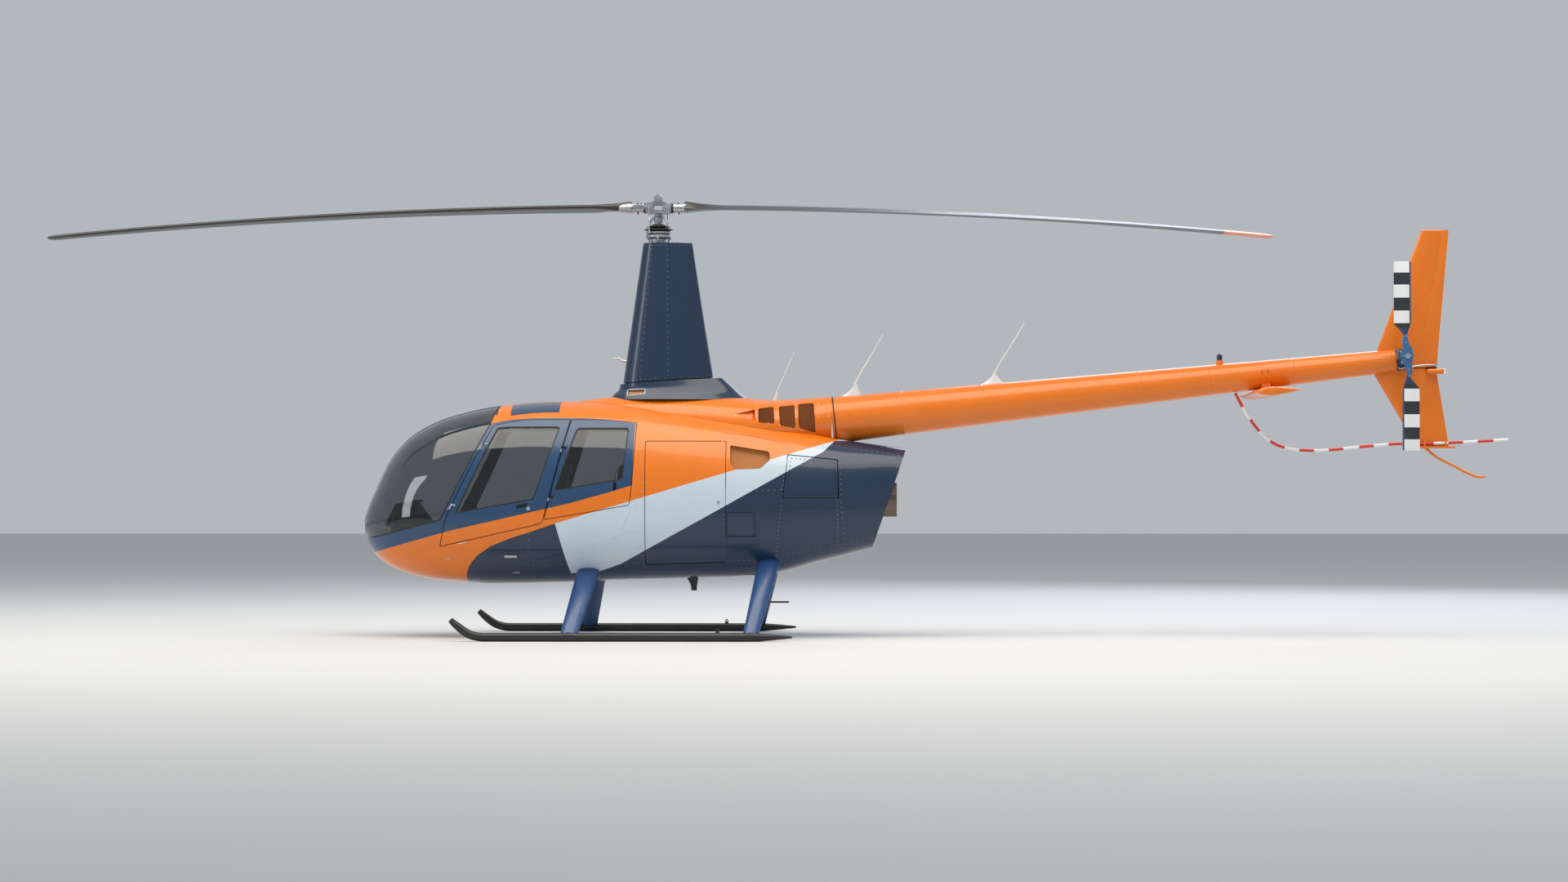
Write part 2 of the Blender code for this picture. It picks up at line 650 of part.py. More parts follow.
# Mast base fairing and mast fairing: z, front x, rear x, half width
def teardrop(z, front, rear, half, lean=0.0, count=28):
    """Rounded nose and drawn-out tail in plan."""
    ring = []
    widest = front + 0.36 * (rear - front)
    for k in range(count):
        a = 2 * math.pi * k / count
        c, s = math.cos(a), math.sin(a)
        if c < 0:
            x = widest + (widest - front) * c
            y = half * s
        else:
            x = widest + (rear - widest) * c
            y = half * s * (1 - 0.25 * c * c)
        ring.append((x, y, z + lean * (x - front)))
    return ring


base = skin("mast_base_fairing", [teardrop(1.940, -1.365, -0.225, 0.270), teardrop(1.985, -1.340, -0.290, 0.235),
                                  teardrop(2.020, -1.300, -0.350, 0.205, 0.02),
                                  teardrop(2.068, -1.285, -0.440, 0.185, 0.062)])
cut(base, hull("roof_room", -0.0009))
cowl_room = skin("cowl_room", [[(p[0], p[1] * 1.002, p[2] + FIT) for p in ring] for ring in rings])
cut(base, cowl_room)
finish(base, "navy")
tower = skin("mast_fairing", [teardrop(2.0698, -1.262, -0.520, 0.150, 0.062), teardrop(2.640, -1.180, -0.606, 0.130, 0.03),
                              teardrop(3.2275, -1.097, -0.690, 0.110, 0.0)])
cut(tower, rod("mast_room", [(MAST_X, 0, 3.12, 0.036), (MAST_X, 0, 3.40, 0.036)], sides=20))
finish(tower, "navy")

# Fixed swashplate ring under the rotor
swash = lathe("swashplate_lower", [(0.060, 3.2278), (0.062, 3.262), (0.100, 3.274), (0.104, 3.294), (0.060, 3.298)],
              (MAST_X, 0.0))
cut(swash, rod("mast_room", [(MAST_X, 0, 3.10, 0.0284), (MAST_X, 0, 3.50, 0.0284)], sides=20))
finish(swash, "steel")

# Main rotor hub with mast shaft and blade grips
hub = rod("rotor_hub", [(MAST_X, 0, 3.150, 0.028), (MAST_X, 0, 3.500, 0.028)], sides=20)
join(hub, lathe("upper_swash", [(0.055, 3.305), (0.105, 3.309), (0.108, 3.322), (0.050, 3.327)], (MAST_X, 0.0)))
join(hub, lathe("boot_low", [(0.040, 3.328), (0.118, 3.334), (0.118, 3.343), (0.040, 3.349)], (MAST_X, 0.0)))
join(hub, lathe("boot_high", [(0.040, 3.352), (0.095, 3.357), (0.095, 3.366), (0.040, 3.372)], (MAST_X, 0.0)))
hub_side = [(-1.078, 3.505), (-1.070, 3.472), (-0.874, 3.472), (-0.866, 3.505), (-0.866, 3.540), (-0.880, 3.552),
            (-0.930, 3.572), (-0.945, 3.622), (-0.999, 3.622), (-1.014, 3.572), (-1.064, 3.552), (-1.078, 3.540)]
join(hub, prism("hub_plate", hub_side, -0.062, 0.062))
join(hub, rod("teeter_bolt", [(MAST_X, -0.082, 3.595, 0.014), (MAST_X, 0.082, 3.595, 0.014)], sides=16))
for x in (MAST_X - 0.069, MAST_X + 0.069):
    join(hub, rod("cone_bolt", [(x, -0.080, 3.517, 0.016), (x, 0.080, 3.517, 0.016)], sides=16))
for s in (-1, 1):
    grip = [(MAST_X + s * 0.095, 0, 3.518, 0.040), (MAST_X + s * 0.112, 0, 3.518, 0.050),
            (MAST_X + s * 0.175, 0, 3.517, 0.050), (MAST_X + s * 0.190, 0, 3.517, 0.042),
            (MAST_X + s * 0.250, 0, 3.517, 0.042)]
    join(hub, rod("grip", grip, sides=16))
for s in (-1, 1):
    join(hub, rod("pitch_link", [(MAST_X + s * 0.074, s * 0.095, 3.312, 0.008),
                                 (MAST_X + s * 0.074, s * 0.095, 3.53, 0.008)], sides=12))
    join(hub, rod("horn", [(MAST_X + s * 0.074, s * 0.100, 3.522, 0.010),
                           (MAST_X + s * 0.130, s * 0.045, 3.522, 0.012)], sides=12))
finish(hub, "steel")

# Main blades: airfoil around the chord line, drooping with the square of the radius
FOIL = [(1.0, 0.0), (0.75, 0.30), (0.5, 0.55), (0.28, 0.68), (0.12, 0.60), (0.03, 0.34), (0.0, 0.0),
        (0.03, -0.30), (0.12, -0.44), (0.28, -0.48), (0.5, -0.40), (0.75, -0.20)]
RADII = [(0.235, 0.10, 0.052), (0.300, 0.12, 0.050), (0.420, 0.20, 0.042), (0.560, 0.26, 0.034), (1.2, 0.26, 0.034),
         (1.9, 0.26, 0.034), (2.6, 0.26, 0.034), (3.2, 0.26, 0.034), (3.8, 0.26, 0.034), (4.4, 0.26, 0.034),
         (4.85, 0.26, 0.032), (5.03, 0.24, 0.026)]


def main_blade(name, direction):
    rings = []
    for radius, chord, thick in RADII:
        z = BLADE_ROOT_Z - BLADE_DROOP * (radius / ROTOR_RADIUS) ** 2
        pitch = math.radians(8.0 - 7.0 * radius / ROTOR_RADIUS)
        ring = []
        for u, v in FOIL:
            across = (0.30 - u) * chord
            rise = v * thick
            y = across * math.cos(pitch) - rise * math.sin(pitch)
            dz = across * math.sin(pitch) + rise * math.cos(pitch)
            ring.append((MAST_X + direction * radius, direction * y, z + dz))
        rings.append(ring)
    blade = skin(name, rings)
    grip = [(MAST_X + direction * 0.05, 0, 3.517, 0.0424), (MAST_X + direction * 0.2503, 0, 3.517, 0.0424)]
    cut(blade, rod("grip_room", grip, sides=16))
    return finish(blade, "black")


main_blade("main_blade_front", -1)
main_blade("main_blade_rear", 1)
# Tail boom, a tapered tube
boom_path = []
for i in range(3):
    t = i / 2
    x = BOOM_START[0] + (BOOM_END[0] - BOOM_START[0]) * t + 0.0035
    z = BOOM_START[1] + (BOOM_END[1] - BOOM_START[1]) * t + 0.0004
    boom_path.append((x, 0.0, z, BOOM_START[2] + (BOOM_END[2] - BOOM_START[2]) * t))
boom = rod("tail_boom", boom_path, sides=28)
cut(boom, rod("boom_bore", [(p[0] + (-0.05 if i == 0 else 0.0), 0.0, p[2], p[3] - BOOM_WALL) for i, p in
                            enumerate(boom_path[:-1])] +
              [(BOOM_END[0] + 0.05, 0.0, BOOM_END[1] + 0.0057, BOOM_END[2] - BOOM_WALL - 0.0011)], sides=28))
finish(boom, "orange")


def boom_at(x):
    t = (x - BOOM_START[0]) / (BOOM_END[0] - BOOM_START[0])
    return BOOM_START[1] + (BOOM_END[1] - BOOM_START[1]) * t, BOOM_START[2] + (BOOM_END[2] - BOOM_START[2]) * t


# Tail gearbox with its output shaft to the left
gearbox = rod("tail_gearbox", [(5.0400, 0, 2.2563, 0.0866), (5.090, 0, 2.2616, 0.0862), (5.170, 0, 2.270, 0.075),
                               (5.185, 0, 2.272, 0.040)], sides=28)
join(gearbox, rod("shaft_case", [(TAIL_ROTOR_X, 0.0, TAIL_ROTOR_Z, 0.050), (TAIL_ROTOR_X, -0.150, TAIL_ROTOR_Z, 0.040),
                                 (TAIL_ROTOR_X, -0.2847, TAIL_ROTOR_Z, 0.026)], sides=16))
finish(gearbox, "steel")

# Fins: z, front x, rear x
SECTION = [(0.0, 0.0), (0.08, 0.6), (0.30, 1.0), (0.70, 0.75), (1.0, 0.12)]


def fin(name, levels, half):
    rings = []
    for z, front, rear in levels:
        ring = [(front + (rear - front) * u, -half * v, z) for u, v in SECTION]
        ring += [(front + (rear - front) * u, half * v, z) for u, v in reversed(SECTION[1:])]
        rings.append(ring)
    return skin(name, rings)


upper = fin("fin_upper", [(2.150, 4.848, 5.4035), (2.352, 4.922, 5.417), (3.330, 5.284, 5.506)], 0.022)
cut(upper, prism("room_below", [(4.7, 2.1), (5.6, 2.1), (5.6, 2.203), (4.7, 2.203)], -0.2, 0.2))
boom_gap = rod("boom_room", [(3.0, 0, boom_at(3.0)[0], boom_at(3.0)[1] + 0.0004),
                             (5.0750, 0, boom_at(5.0750)[0], 0.0928),
                             (5.0850, 0, boom_at(5.0850)[0], 0.0905),
                             (5.2035, 0, boom_at(5.2035)[0], 0.0820)], sides=28)
cut(upper, boom_gap, keep=True)
finish(upper, "orange")
lower = fin("fin_lower", [(1.556, 5.239, 5.502), (2.149, 4.891, 5.4065), (2.2027, 4.860, 5.403)], 0.022)
cut(lower, boom_gap)
join(lower, block("end_plate", (5.250, -0.055, 1.540), (5.545, 0.055, 1.5585)))
finish(lower, "orange")

# Horizontal stabiliser with its saddle under the boom
stab_rings = []
for y, front, rear, half in ((-0.665, 3.885, 4.205, 0.030), (-0.640, 3.870, 4.214, 0.038),
                             (0.640, 3.870, 4.214, 0.038), (0.665, 3.885, 4.205, 0.030)):
    ring = []
    for u, v in ((0, 0), (0.04, 0.45), (0.15, 0.8), (0.33, 1.0), (0.65, 0.7), (1.0, 0.06),
                 (1.0, -0.06), (0.65, -0.7), (0.33, -1.0), (0.15, -0.8), (0.04, -0.45)):
        ring.append((front + (rear - front) * u, y, 1.986 + 0.018 * u + half * v))
    stab_rings.append(ring)
stabiliser = skin("stabiliser", stab_rings)
join(stabiliser, block("saddle", (3.935, -0.060, 1.990), (4.060, 0.060, 2.075)))
cut(stabiliser, rod("boom_room", [(3.0, 0, boom_at(3.0)[0], boom_at(3.0)[1] + 0.0004),
                                  (5.05, 0, boom_at(5.05)[0], boom_at(5.05)[1] + 0.0004)], sides=28))
finish(stabiliser, "orange")

# Tail rotor guard tube and tail skid
GUARD = [(3.755, -0.030, 1.9935), (3.846, -0.034, 1.825), (3.941, -0.036, 1.693), (4.010, -0.037, 1.625),
         (4.081, -0.038, 1.575), (4.188, -0.039, 1.540), (4.302, -0.040, 1.526), (4.422, -0.040, 1.523),
         (4.563, -0.040, 1.531), (4.843, -0.040, 1.559), (5.088, -0.036, 1.577), (5.280, -0.034, 1.5795),
         (5.593, -0.034, 1.590), (5.980, -0.034, 1.611)]
guard = rod("tail_rotor_guard", [(x, y, z, 0.0125) for x, y, z in GUARD], sides=8)
cut(guard, rod("boom_room", [(3.0, 0, boom_at(3.0)[0], boom_at(3.0)[1] + 0.0004),
                             (5.05, 0, boom_at(5.05)[0], boom_at(5.05)[1] + 0.0004)], sides=28))
cut(guard, fin("fin_room", [(1.5563, 5.2387, 5.5023), (2.1, 4.9195, 5.4140)], 0.0228))
cut(guard, block("plate_room", (5.2497, -0.0553, 1.530), (5.5453, 0.0553, 1.5588)))
finish(guard, "red")
tail_skid = rod("tail_skid", [(5.300, 0, 1.549, 0.010), (5.328, 0, 1.530, 0.010), (5.378, 0, 1.485, 0.010),
                              (5.546, 0, 1.395, 0.010), (5.690, 0, 1.322, 0.010), (5.749, 0, 1.305, 0.010),
                              (5.800, 0, 1.313, 0.010)], sides=8)
cut(tail_skid, block("plate_room", (5.2, -0.06, 1.5397), (5.6, 0.06, 1.60)))
finish(tail_skid, "orange")

# Tail rotor
tr_hub = rod("tail_rotor_hub", [(TAIL_ROTOR_X, -0.2850, TAIL_ROTOR_Z, 0.018), (TAIL_ROTOR_X, -0.2905, TAIL_ROTOR_Z, 0.018),
                                (TAIL_ROTOR_X, -0.2915, TAIL_ROTOR_Z, 0.030), (TAIL_ROTOR_X, -0.300, TAIL_ROTOR_Z, 0.034),
                                (TAIL_ROTOR_X, -0.360, TAIL_ROTOR_Z, 0.034), (TAIL_ROTOR_X, -0.375, TAIL_ROTOR_Z, 0.020)],
             sides=16)
tr_plate = [(5.088, 2.458), (5.104, 2.458), (5.148, 2.330), (5.160, 2.285), (5.148, 2.240), (5.136, 2.112),
            (5.118, 2.112), (5.078, 2.240), (5.066, 2.285), (5.078, 2.330)]
join(tr_hub, prism("tr_plate", tr_plate, -0.350, -0.315))
finish(tr_hub, "blue")


def tail_blade(name, centre_x, sign, root):
    rings = []
    for radius, shift, chord, thick in ((root, 0.022 * sign, 0.030, 0.018), (0.262, 0.0, 0.130, 0.016),
                                        (0.280, 0.0, 0.139, 0.016), (0.760, 0.0, 0.139, 0.012),
                                        (TAIL_ROTOR_RADIUS, 0.0, 0.136, 0.010)):
        ring = []
        for u, v in FOIL:
            ring.append((centre_x + shift + sign * (0.5 - u) * chord, TAIL_ROTOR_Y - v * thick,
                         TAIL_ROTOR_Z + sign * radius))
        rings.append(ring)
    blade = skin(name, rings)
    cut(blade, prism("plate_room", grow(tr_plate, FIT), -0.3503, -0.3147))
    return finish(blade, "navy")


tail_blade("tail_blade_upper", 5.075, 1, 0.165)
tail_blade("tail_blade_lower", 5.143, -1, 0.165)

# Landing gear legs, faired, from the belly to the skids
def leg(name, top, bottom, side):
    rings = []
    (tx, ty, tz, tc, tt), (bx, by, bz, bc, bt) = top, bottom
    for i in range(4):
        t = i / 3
        x, y, z = tx + (bx - tx) * t, ty + (by - ty) * t, tz + (bz - tz) * t
        chord, thick = tc + (bc - tc) * t, tt + (bt - tt) * t
        along = Vector((bx - tx, by - ty, bz - tz)).normalized()
        across = along.cross(Vector((1, 0, 0))).normalized()
        ring = []
        for k in range(12):
            a = 2 * math.pi * k / 12
            p = Vector((x, y, z)) + Vector((1, 0, 0)) * (chord / 2 * math.cos(a))
            p += across * (thick / 2 * math.sin(a) * (1.0 if math.cos(a) < 0 else 0.8))
            ring.append((p.x, p.y * side, p.z))
        rings.append(ring)
    obj = skin(name, rings)
    cut(obj, hull("belly_room", -FIT))
    cut(obj, rod("skid_room", [(-2.2, side * SKID_Y, SKID_RADIUS, SKID_RADIUS + FIT),
                               (-0.05, side * SKID_Y, SKID_RADIUS, SKID_RADIUS + FIT)], sides=16))
    cut(obj, block("below", (-3.0, -1.3, -0.2), (1.0, 1.3, 0.040)))
    return finish(obj, "blue")


FRONT_TOP = (-1.500, 0.430, 0.600, 0.182, 0.080)
FRONT_BOTTOM = (-1.622, 1.100, 0.050, 0.142, 0.060)
REAR_TOP = (-0.045, 0.400, 0.660, 0.180, 0.080)
REAR_BOTTOM = (-0.184, 1.100, 0.050, 0.126, 0.060)
for side_name, side in (("left", -1), ("right", 1)):
    leg("gear_leg_front_" + side_name, FRONT_TOP, FRONT_BOTTOM, side)
    leg("gear_leg_rear_" + side_name, REAR_TOP, REAR_BOTTOM, side)
    tube = [(-2.560, side * SKID_Y, 0.172, 0.024), (-2.500, side * SKID_Y, 0.118, 0.030),
            (-2.420, side * SKID_Y, 0.060, 0.034), (-2.350, side * SKID_Y, 0.0385, 0.034),
            (-2.270, side * SKID_Y, 0.034, 0.034), (-0.168, side * SKID_Y, 0.034, 0.034),
            (0.060, side * SKID_Y, 0.036, 0.018), (0.144, side * SKID_Y, 0.036, 0.010)]
    skid = rod("skid_" + side_name, tube, sides=16)
    finish(skid, "black")

# Whip aerials on the cowling and the boom, and the beacon
aerial = [(-0.055, 1.900), (0.012, 1.900), (0.006, 1.985), (0.012, 2.020), (0.149, 2.333), (0.139, 2.333),
          (-0.004, 2.020), (-0.035, 1.985)]
whip = prism("aerial_front", aerial, -0.006, 0.006)
cut(whip, skin("cowl_room", [[(p[0], p[1] * 1.002, p[2] + FIT) for p in ring] for ring in rings]))
finish(whip, "white")
for name, outline in (("aerial_middle", [(0.505, 1.90), (0.717, 1.90), (0.717, 2.000), (0.665, 2.030), (0.655, 2.085),
                                         (0.684, 2.119), (0.881, 2.474), (0.868, 2.474), (0.640, 2.100),
                                         (0.600, 2.050), (0.521, 2.000)]),
                      ("aerial_rear", [(1.668, 2.00), (1.880, 2.00), (1.876, 2.095), (1.820, 2.120), (1.800, 2.180),
                                       (2.039, 2.569), (2.028, 2.569), (1.780, 2.190), (1.740, 2.140),
                                       (1.680, 2.095)])):
    whip = prism(name, outline, -0.008, 0.008)
    cut(whip, rod("boom_room", [(0.3, 0, boom_at(0.3)[0], boom_at(0.3)[1] + 0.0004),
                                (5.05, 0, boom_at(5.05)[0], boom_at(5.05)[1] + 0.0004)], sides=28))
    finish(whip, "white")
beacon_z = boom_at(3.631)[0] + boom_at(3.631)[1]
beacon = lathe("beacon", [(0.026, beacon_z - 0.02), (0.026, beacon_z + 0.030), (0.022, beacon_z + 0.034),
                          (0.021, beacon_z + 0.075), (0.010, beacon_z + 0.090)], (3.631, 0.0), sides=20)
cut(beacon, rod("boom_room", [(0.3, 0, boom_at(0.3)[0], boom_at(0.3)[1] + 0.0004),
                              (5.05, 0, boom_at(5.05)[0], boom_at(5.05)[1] + 0.0004)], sides=28))
finish(beacon, "blue")
for leftover in ("outer", "shell", "glass_outer"):
    if leftover in bpy.data.objects:
        bpy.data.objects.remove(bpy.data.objects[leftover], do_unlink=True)

for key in HINGES:
    place, along = on_hinge(key, 0.0)
    print(key, "hinge", tuple(round(v, 5) for v in place), tuple(round(v, 5) for v in along))
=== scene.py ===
# %% [markdown]
# # A light helicopter, dressed over its CAD frame
#
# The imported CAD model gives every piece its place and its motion. This script gives the pieces their smooth skins,
# paint, glass, rivets and fittings. It is read from top to bottom, one step in each cell.

# %% Load the frame
import json
import math

import bmesh
import bpy
import numpy as np
from mathutils import Matrix, Vector

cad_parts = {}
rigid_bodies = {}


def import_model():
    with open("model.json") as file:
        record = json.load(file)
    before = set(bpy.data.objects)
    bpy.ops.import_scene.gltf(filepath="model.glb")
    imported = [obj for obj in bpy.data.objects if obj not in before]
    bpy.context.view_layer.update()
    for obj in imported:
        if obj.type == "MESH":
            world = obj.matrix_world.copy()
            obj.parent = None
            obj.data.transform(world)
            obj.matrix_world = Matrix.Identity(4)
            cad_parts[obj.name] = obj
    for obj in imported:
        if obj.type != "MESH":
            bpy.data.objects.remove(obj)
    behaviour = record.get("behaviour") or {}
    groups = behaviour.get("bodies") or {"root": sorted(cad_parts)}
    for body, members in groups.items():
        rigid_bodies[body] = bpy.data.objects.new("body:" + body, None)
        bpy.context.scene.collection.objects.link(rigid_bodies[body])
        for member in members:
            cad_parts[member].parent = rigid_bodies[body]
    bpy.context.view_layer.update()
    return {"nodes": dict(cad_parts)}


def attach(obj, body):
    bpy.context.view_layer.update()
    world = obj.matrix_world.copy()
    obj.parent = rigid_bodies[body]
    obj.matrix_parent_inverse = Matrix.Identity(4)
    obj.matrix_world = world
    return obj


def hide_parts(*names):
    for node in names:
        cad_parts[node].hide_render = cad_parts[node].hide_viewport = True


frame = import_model()
nodes = frame["nodes"]

# %% [markdown]
# ## Small tools
#
# An operator acts on all that is selected, so each step starts from nothing selected. A modifier is applied at once,
# so the mesh that follows is the one that is seen.

# %% Selecting, editing and applying
SIDES = ((-1, "left"), (1, "right"))


def pick(*objs):
    if bpy.context.object and bpy.context.object.mode != "OBJECT":
        bpy.ops.object.mode_set(mode="OBJECT")
    bpy.ops.object.select_all(action="DESELECT")
    for obj in objs:
        obj.select_set(True)
    if objs:
        bpy.context.view_layer.objects.active = objs[0]


def edit(obj, kind="VERT", everything=True):
    pick(obj)
    bpy.ops.object.mode_set(mode="EDIT")
    bpy.ops.mesh.select_mode(type=kind)
    bpy.ops.mesh.select_all(action="SELECT" if everything else "DESELECT")


def edit_edges(obj, test):
    """Edit mode with the edges selected for which test(edge) is true."""
    edit(obj, "EDGE", False)
    bm = bmesh.from_edit_mesh(obj.data)
    for edge in bm.edges:
        edge.select_set(bool(test(edge)))
    bm.select_flush_mode()
    bmesh.update_edit_mesh(obj.data)


def leave():
    bpy.ops.object.mode_set(mode="OBJECT")


def apply(obj, kind, **settings):
    pick(obj)
    mod = obj.modifiers.new(kind, kind)
    for key, value in settings.items():
        setattr(mod, key, value)
    bpy.ops.object.modifier_apply(modifier=mod.name)
    return obj


def soften(obj, width, angle=40, segments=2):
    """Round the edges that are sharper than an angle in degrees."""
    apply(obj, "BEVEL", width=width, segments=segments, limit_method="ANGLE", angle_limit=math.radians(angle))


def smooth(obj, angle=35):
    pick(obj)
    bpy.ops.object.shade_smooth_by_angle(angle=math.radians(angle))
    return obj


def copy_of(obj, name):
    made = obj.copy()
    made.data = obj.data.copy()
    made.name = name
    bpy.context.scene.collection.objects.link(made)
    return made


def mirrored(obj, name):
    """Copy on the other side of the middle plane, faces outwards and without the first piece's tags."""
    made = copy_of(obj, name)
    for tag in list(made.keys()):
        del made[tag]
    made.data.transform(Matrix.Scale(-1, 4, (0, 1, 0)))
    made.data.flip_normals()
    return made


def joined(name, pieces):
    pieces = list(pieces)
    pick(*pieces)
    if len(pieces) > 1:
        bpy.ops.object.join()
    pieces[0].name = name
    return pieces[0]


def boolean(obj, other, operation="DIFFERENCE", keep=False):
    apply(obj, "BOOLEAN", operation=operation, solver="EXACT", object=other)
    if not keep:
        bpy.data.objects.remove(other, do_unlink=True)
    return obj

# %% [markdown]
# ## Colours and materials
#
# Paint colours are read off a colour card as sRGB hex values, and Blender works in linear light, so one function
# turns one into the other. One more function adds a shader node with its settings, values and links.

# %% Colour and node helpers
def linear(code):
    parts = [int(code[i:i + 2], 16) / 255 for i in (1, 3, 5)]
    return tuple(p / 12.92 if p <= 0.04045 else ((p + 0.055) / 1.055) ** 2.4 for p in parts) + (1.0,)


def node(tree, kind, values=None, links=None, **settings):
    made = tree.nodes.new(kind)
    for key, value in settings.items():
        setattr(made, key, value)
    for socket, value in (values or {}).items():
        made.inputs[socket].default_value = value
    for socket, source in (links or {}).items():
        tree.links.new(source, made.inputs[socket])
    return made


def material(name, code, roughness, metallic=0.0, **sockets):
    mat = bpy.data.materials.new(name)
    mat.use_nodes = True
    shader = mat.node_tree.nodes["Principled BSDF"]
    shader.inputs["Base Color"].default_value = linear(code)
    shader.inputs["Roughness"].default_value = roughness
    shader.inputs["Metallic"].default_value = metallic
    for key, value in sockets.items():
        shader.inputs[key.replace("_", " ")].default_value = value
    mat.diffuse_color = linear(code)
    return mat, mat.node_tree, shader


def uneven(tree, shader, scale, low, high, bump=0.0, bump_mm=1.0, stretch=(1, 1, 1)):
    """Roughness that wanders between two values, and a matching fine relief."""
    place = node(tree, "ShaderNodeTexCoord")
    mapping = node(tree, "ShaderNodeMapping", {"Scale": stretch}, {"Vector": place.outputs["Object"]})
    noise = node(tree, "ShaderNodeTexNoise", {"Scale": scale, "Detail": 4.0}, {"Vector": mapping.outputs[0]})
    spread = node(tree, "ShaderNodeMapRange", {"To Min": low, "To Max": high}, {"Value": noise.outputs[0]})
    tree.links.new(spread.outputs[0], shader.inputs["Roughness"])
    if bump:
        relief = node(tree, "ShaderNodeBump", {"Strength": bump, "Distance": bump_mm / 1000},
            {"Height": noise.outputs[0]})
        tree.links.new(relief.outputs[0], shader.inputs["Normal"])
    return place, noise


def finish(name, code, roughness, wander, metallic=0.0, **sockets):
    """A material with its unevenness; wander holds what uneven takes after the shader."""
    mat, tree, shader = material(name, code, roughness, metallic, **sockets)
    uneven(tree, shader, *wander)
    return mat


def dress(obj, mat, body="airframe", replaces=(), angle=35):
    """Finish a piece: material, shading, body it rides on, CAD nodes it stands for."""
    obj.data.materials.clear()
    obj.data.materials.append(mat)
    if angle:
        smooth(obj, angle)
    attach(obj, body)
    if replaces:
        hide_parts(*replaces)
    return obj

# %% [markdown]
# ## Paint
#
# Aircraft sheet gets an epoxy primer and a two-part polyurethane gloss coat. To the eye it is a deep colour under a
# thin clear layer: sharp reflections, a faint orange peel, and a slow waviness where the sheet is pulled by its
# rivets. The clear layer is the shader's coat. The waviness is a bump of a few tenths of a millimetre over a hand's
# width.

# %% Gloss paint
ORANGE = "#E2750F"
NAVY = "#162C48"
BLUE = "#1D4268"
PALE = "#C2D1DE"


def gloss_paint(name, code, roughness=0.30):
    mat, tree, shader = material(name, code, roughness, Coat_Weight=0.35, Coat_Roughness=0.05, IOR=1.45)
    place = node(tree, "ShaderNodeTexCoord")
    wave = node(tree, "ShaderNodeTexNoise", {"Scale": 5.0, "Detail": 1.5}, {"Vector": place.outputs["Object"]})
    peel = node(tree, "ShaderNodeTexNoise", {"Scale": 420.0, "Detail": 2.0}, {"Vector": place.outputs["Object"]})
    first = node(tree, "ShaderNodeBump", {"Strength": 0.35, "Distance": 0.0035}, {"Height": wave.outputs[0]})
    second = node(tree, "ShaderNodeBump", {"Strength": 0.05, "Distance": 0.0004}, {"Height": peel.outputs[0],
        "Normal": first.outputs[0]})
    for socket in ("Normal", "Coat Normal"):
        tree.links.new(second.outputs[0], shader.inputs[socket])
    spread = node(tree, "ShaderNodeMapRange", {"To Min": roughness - 0.05, "To Max": roughness + 0.07},
        {"Value": wave.outputs[0]})
    tree.links.new(spread.outputs[0], shader.inputs["Roughness"])
    tone = node(tree, "ShaderNodeHueSaturation", {"Color": linear(code)})
    value = node(tree, "ShaderNodeMapRange", {"To Min": 0.94, "To Max": 1.05}, {"Value": wave.outputs[0]})
    tree.links.new(value.outputs[0], tone.inputs["Value"])
    tree.links.new(tone.outputs[0], shader.inputs["Base Color"])
    return mat, tree, shader, tone


orange_paint = gloss_paint("polyurethane_gloss_orange", ORANGE)[0]
navy_paint = gloss_paint("polyurethane_gloss_navy", NAVY, 0.28)[0]
blue_paint = gloss_paint("polyurethane_gloss_blue", BLUE, 0.28)[0]
pale_paint = gloss_paint("polyurethane_gloss_pale_blue", PALE, 0.30)[0]

# %% [markdown]
# ## The paint scheme
#
# The painter masks the body from the side, so each colour's edge is a line in x and z. A straight edge is a half
# plane: one dot product and one comparison. A curved edge is a Float Curve that gives z for x. The masks are mixed
# from the bottom coat up: navy, pale patch, orange, then the blue round the doors.

# %% The body's masks
BAND_LOW = [(-3.385, 0.664), (-3.262, 0.697), (-2.962, 0.778), (-2.615, 0.872), (-2.282, 0.947), (-2.003, 1.011),
    (-1.632, 1.096), (-1.364, 1.170), (-1.149, 1.235)]
FRAME_TOP = [(-2.400, 1.715), (-2.316, 1.734), (-2.177, 1.761), (-2.031, 1.776), (-1.746, 1.781), (-1.403, 1.772),
    (-1.130, 1.738)]
PATCH_LOW = [(-1.653, 0.527), (-1.428, 0.540), (-1.245, 0.604), (-0.582, 0.970), (0.044, 1.320), (0.383, 1.508),
    (0.479, 1.600)]
NOSE_CURVE = [(-2.518, 0.430), (-2.508, 0.500), (-2.495, 0.540), (-2.471, 0.591), (-2.401, 0.670), (-2.287, 0.747),
    (-2.130, 0.811), (-1.954, 0.866), (-1.763, 0.931)]


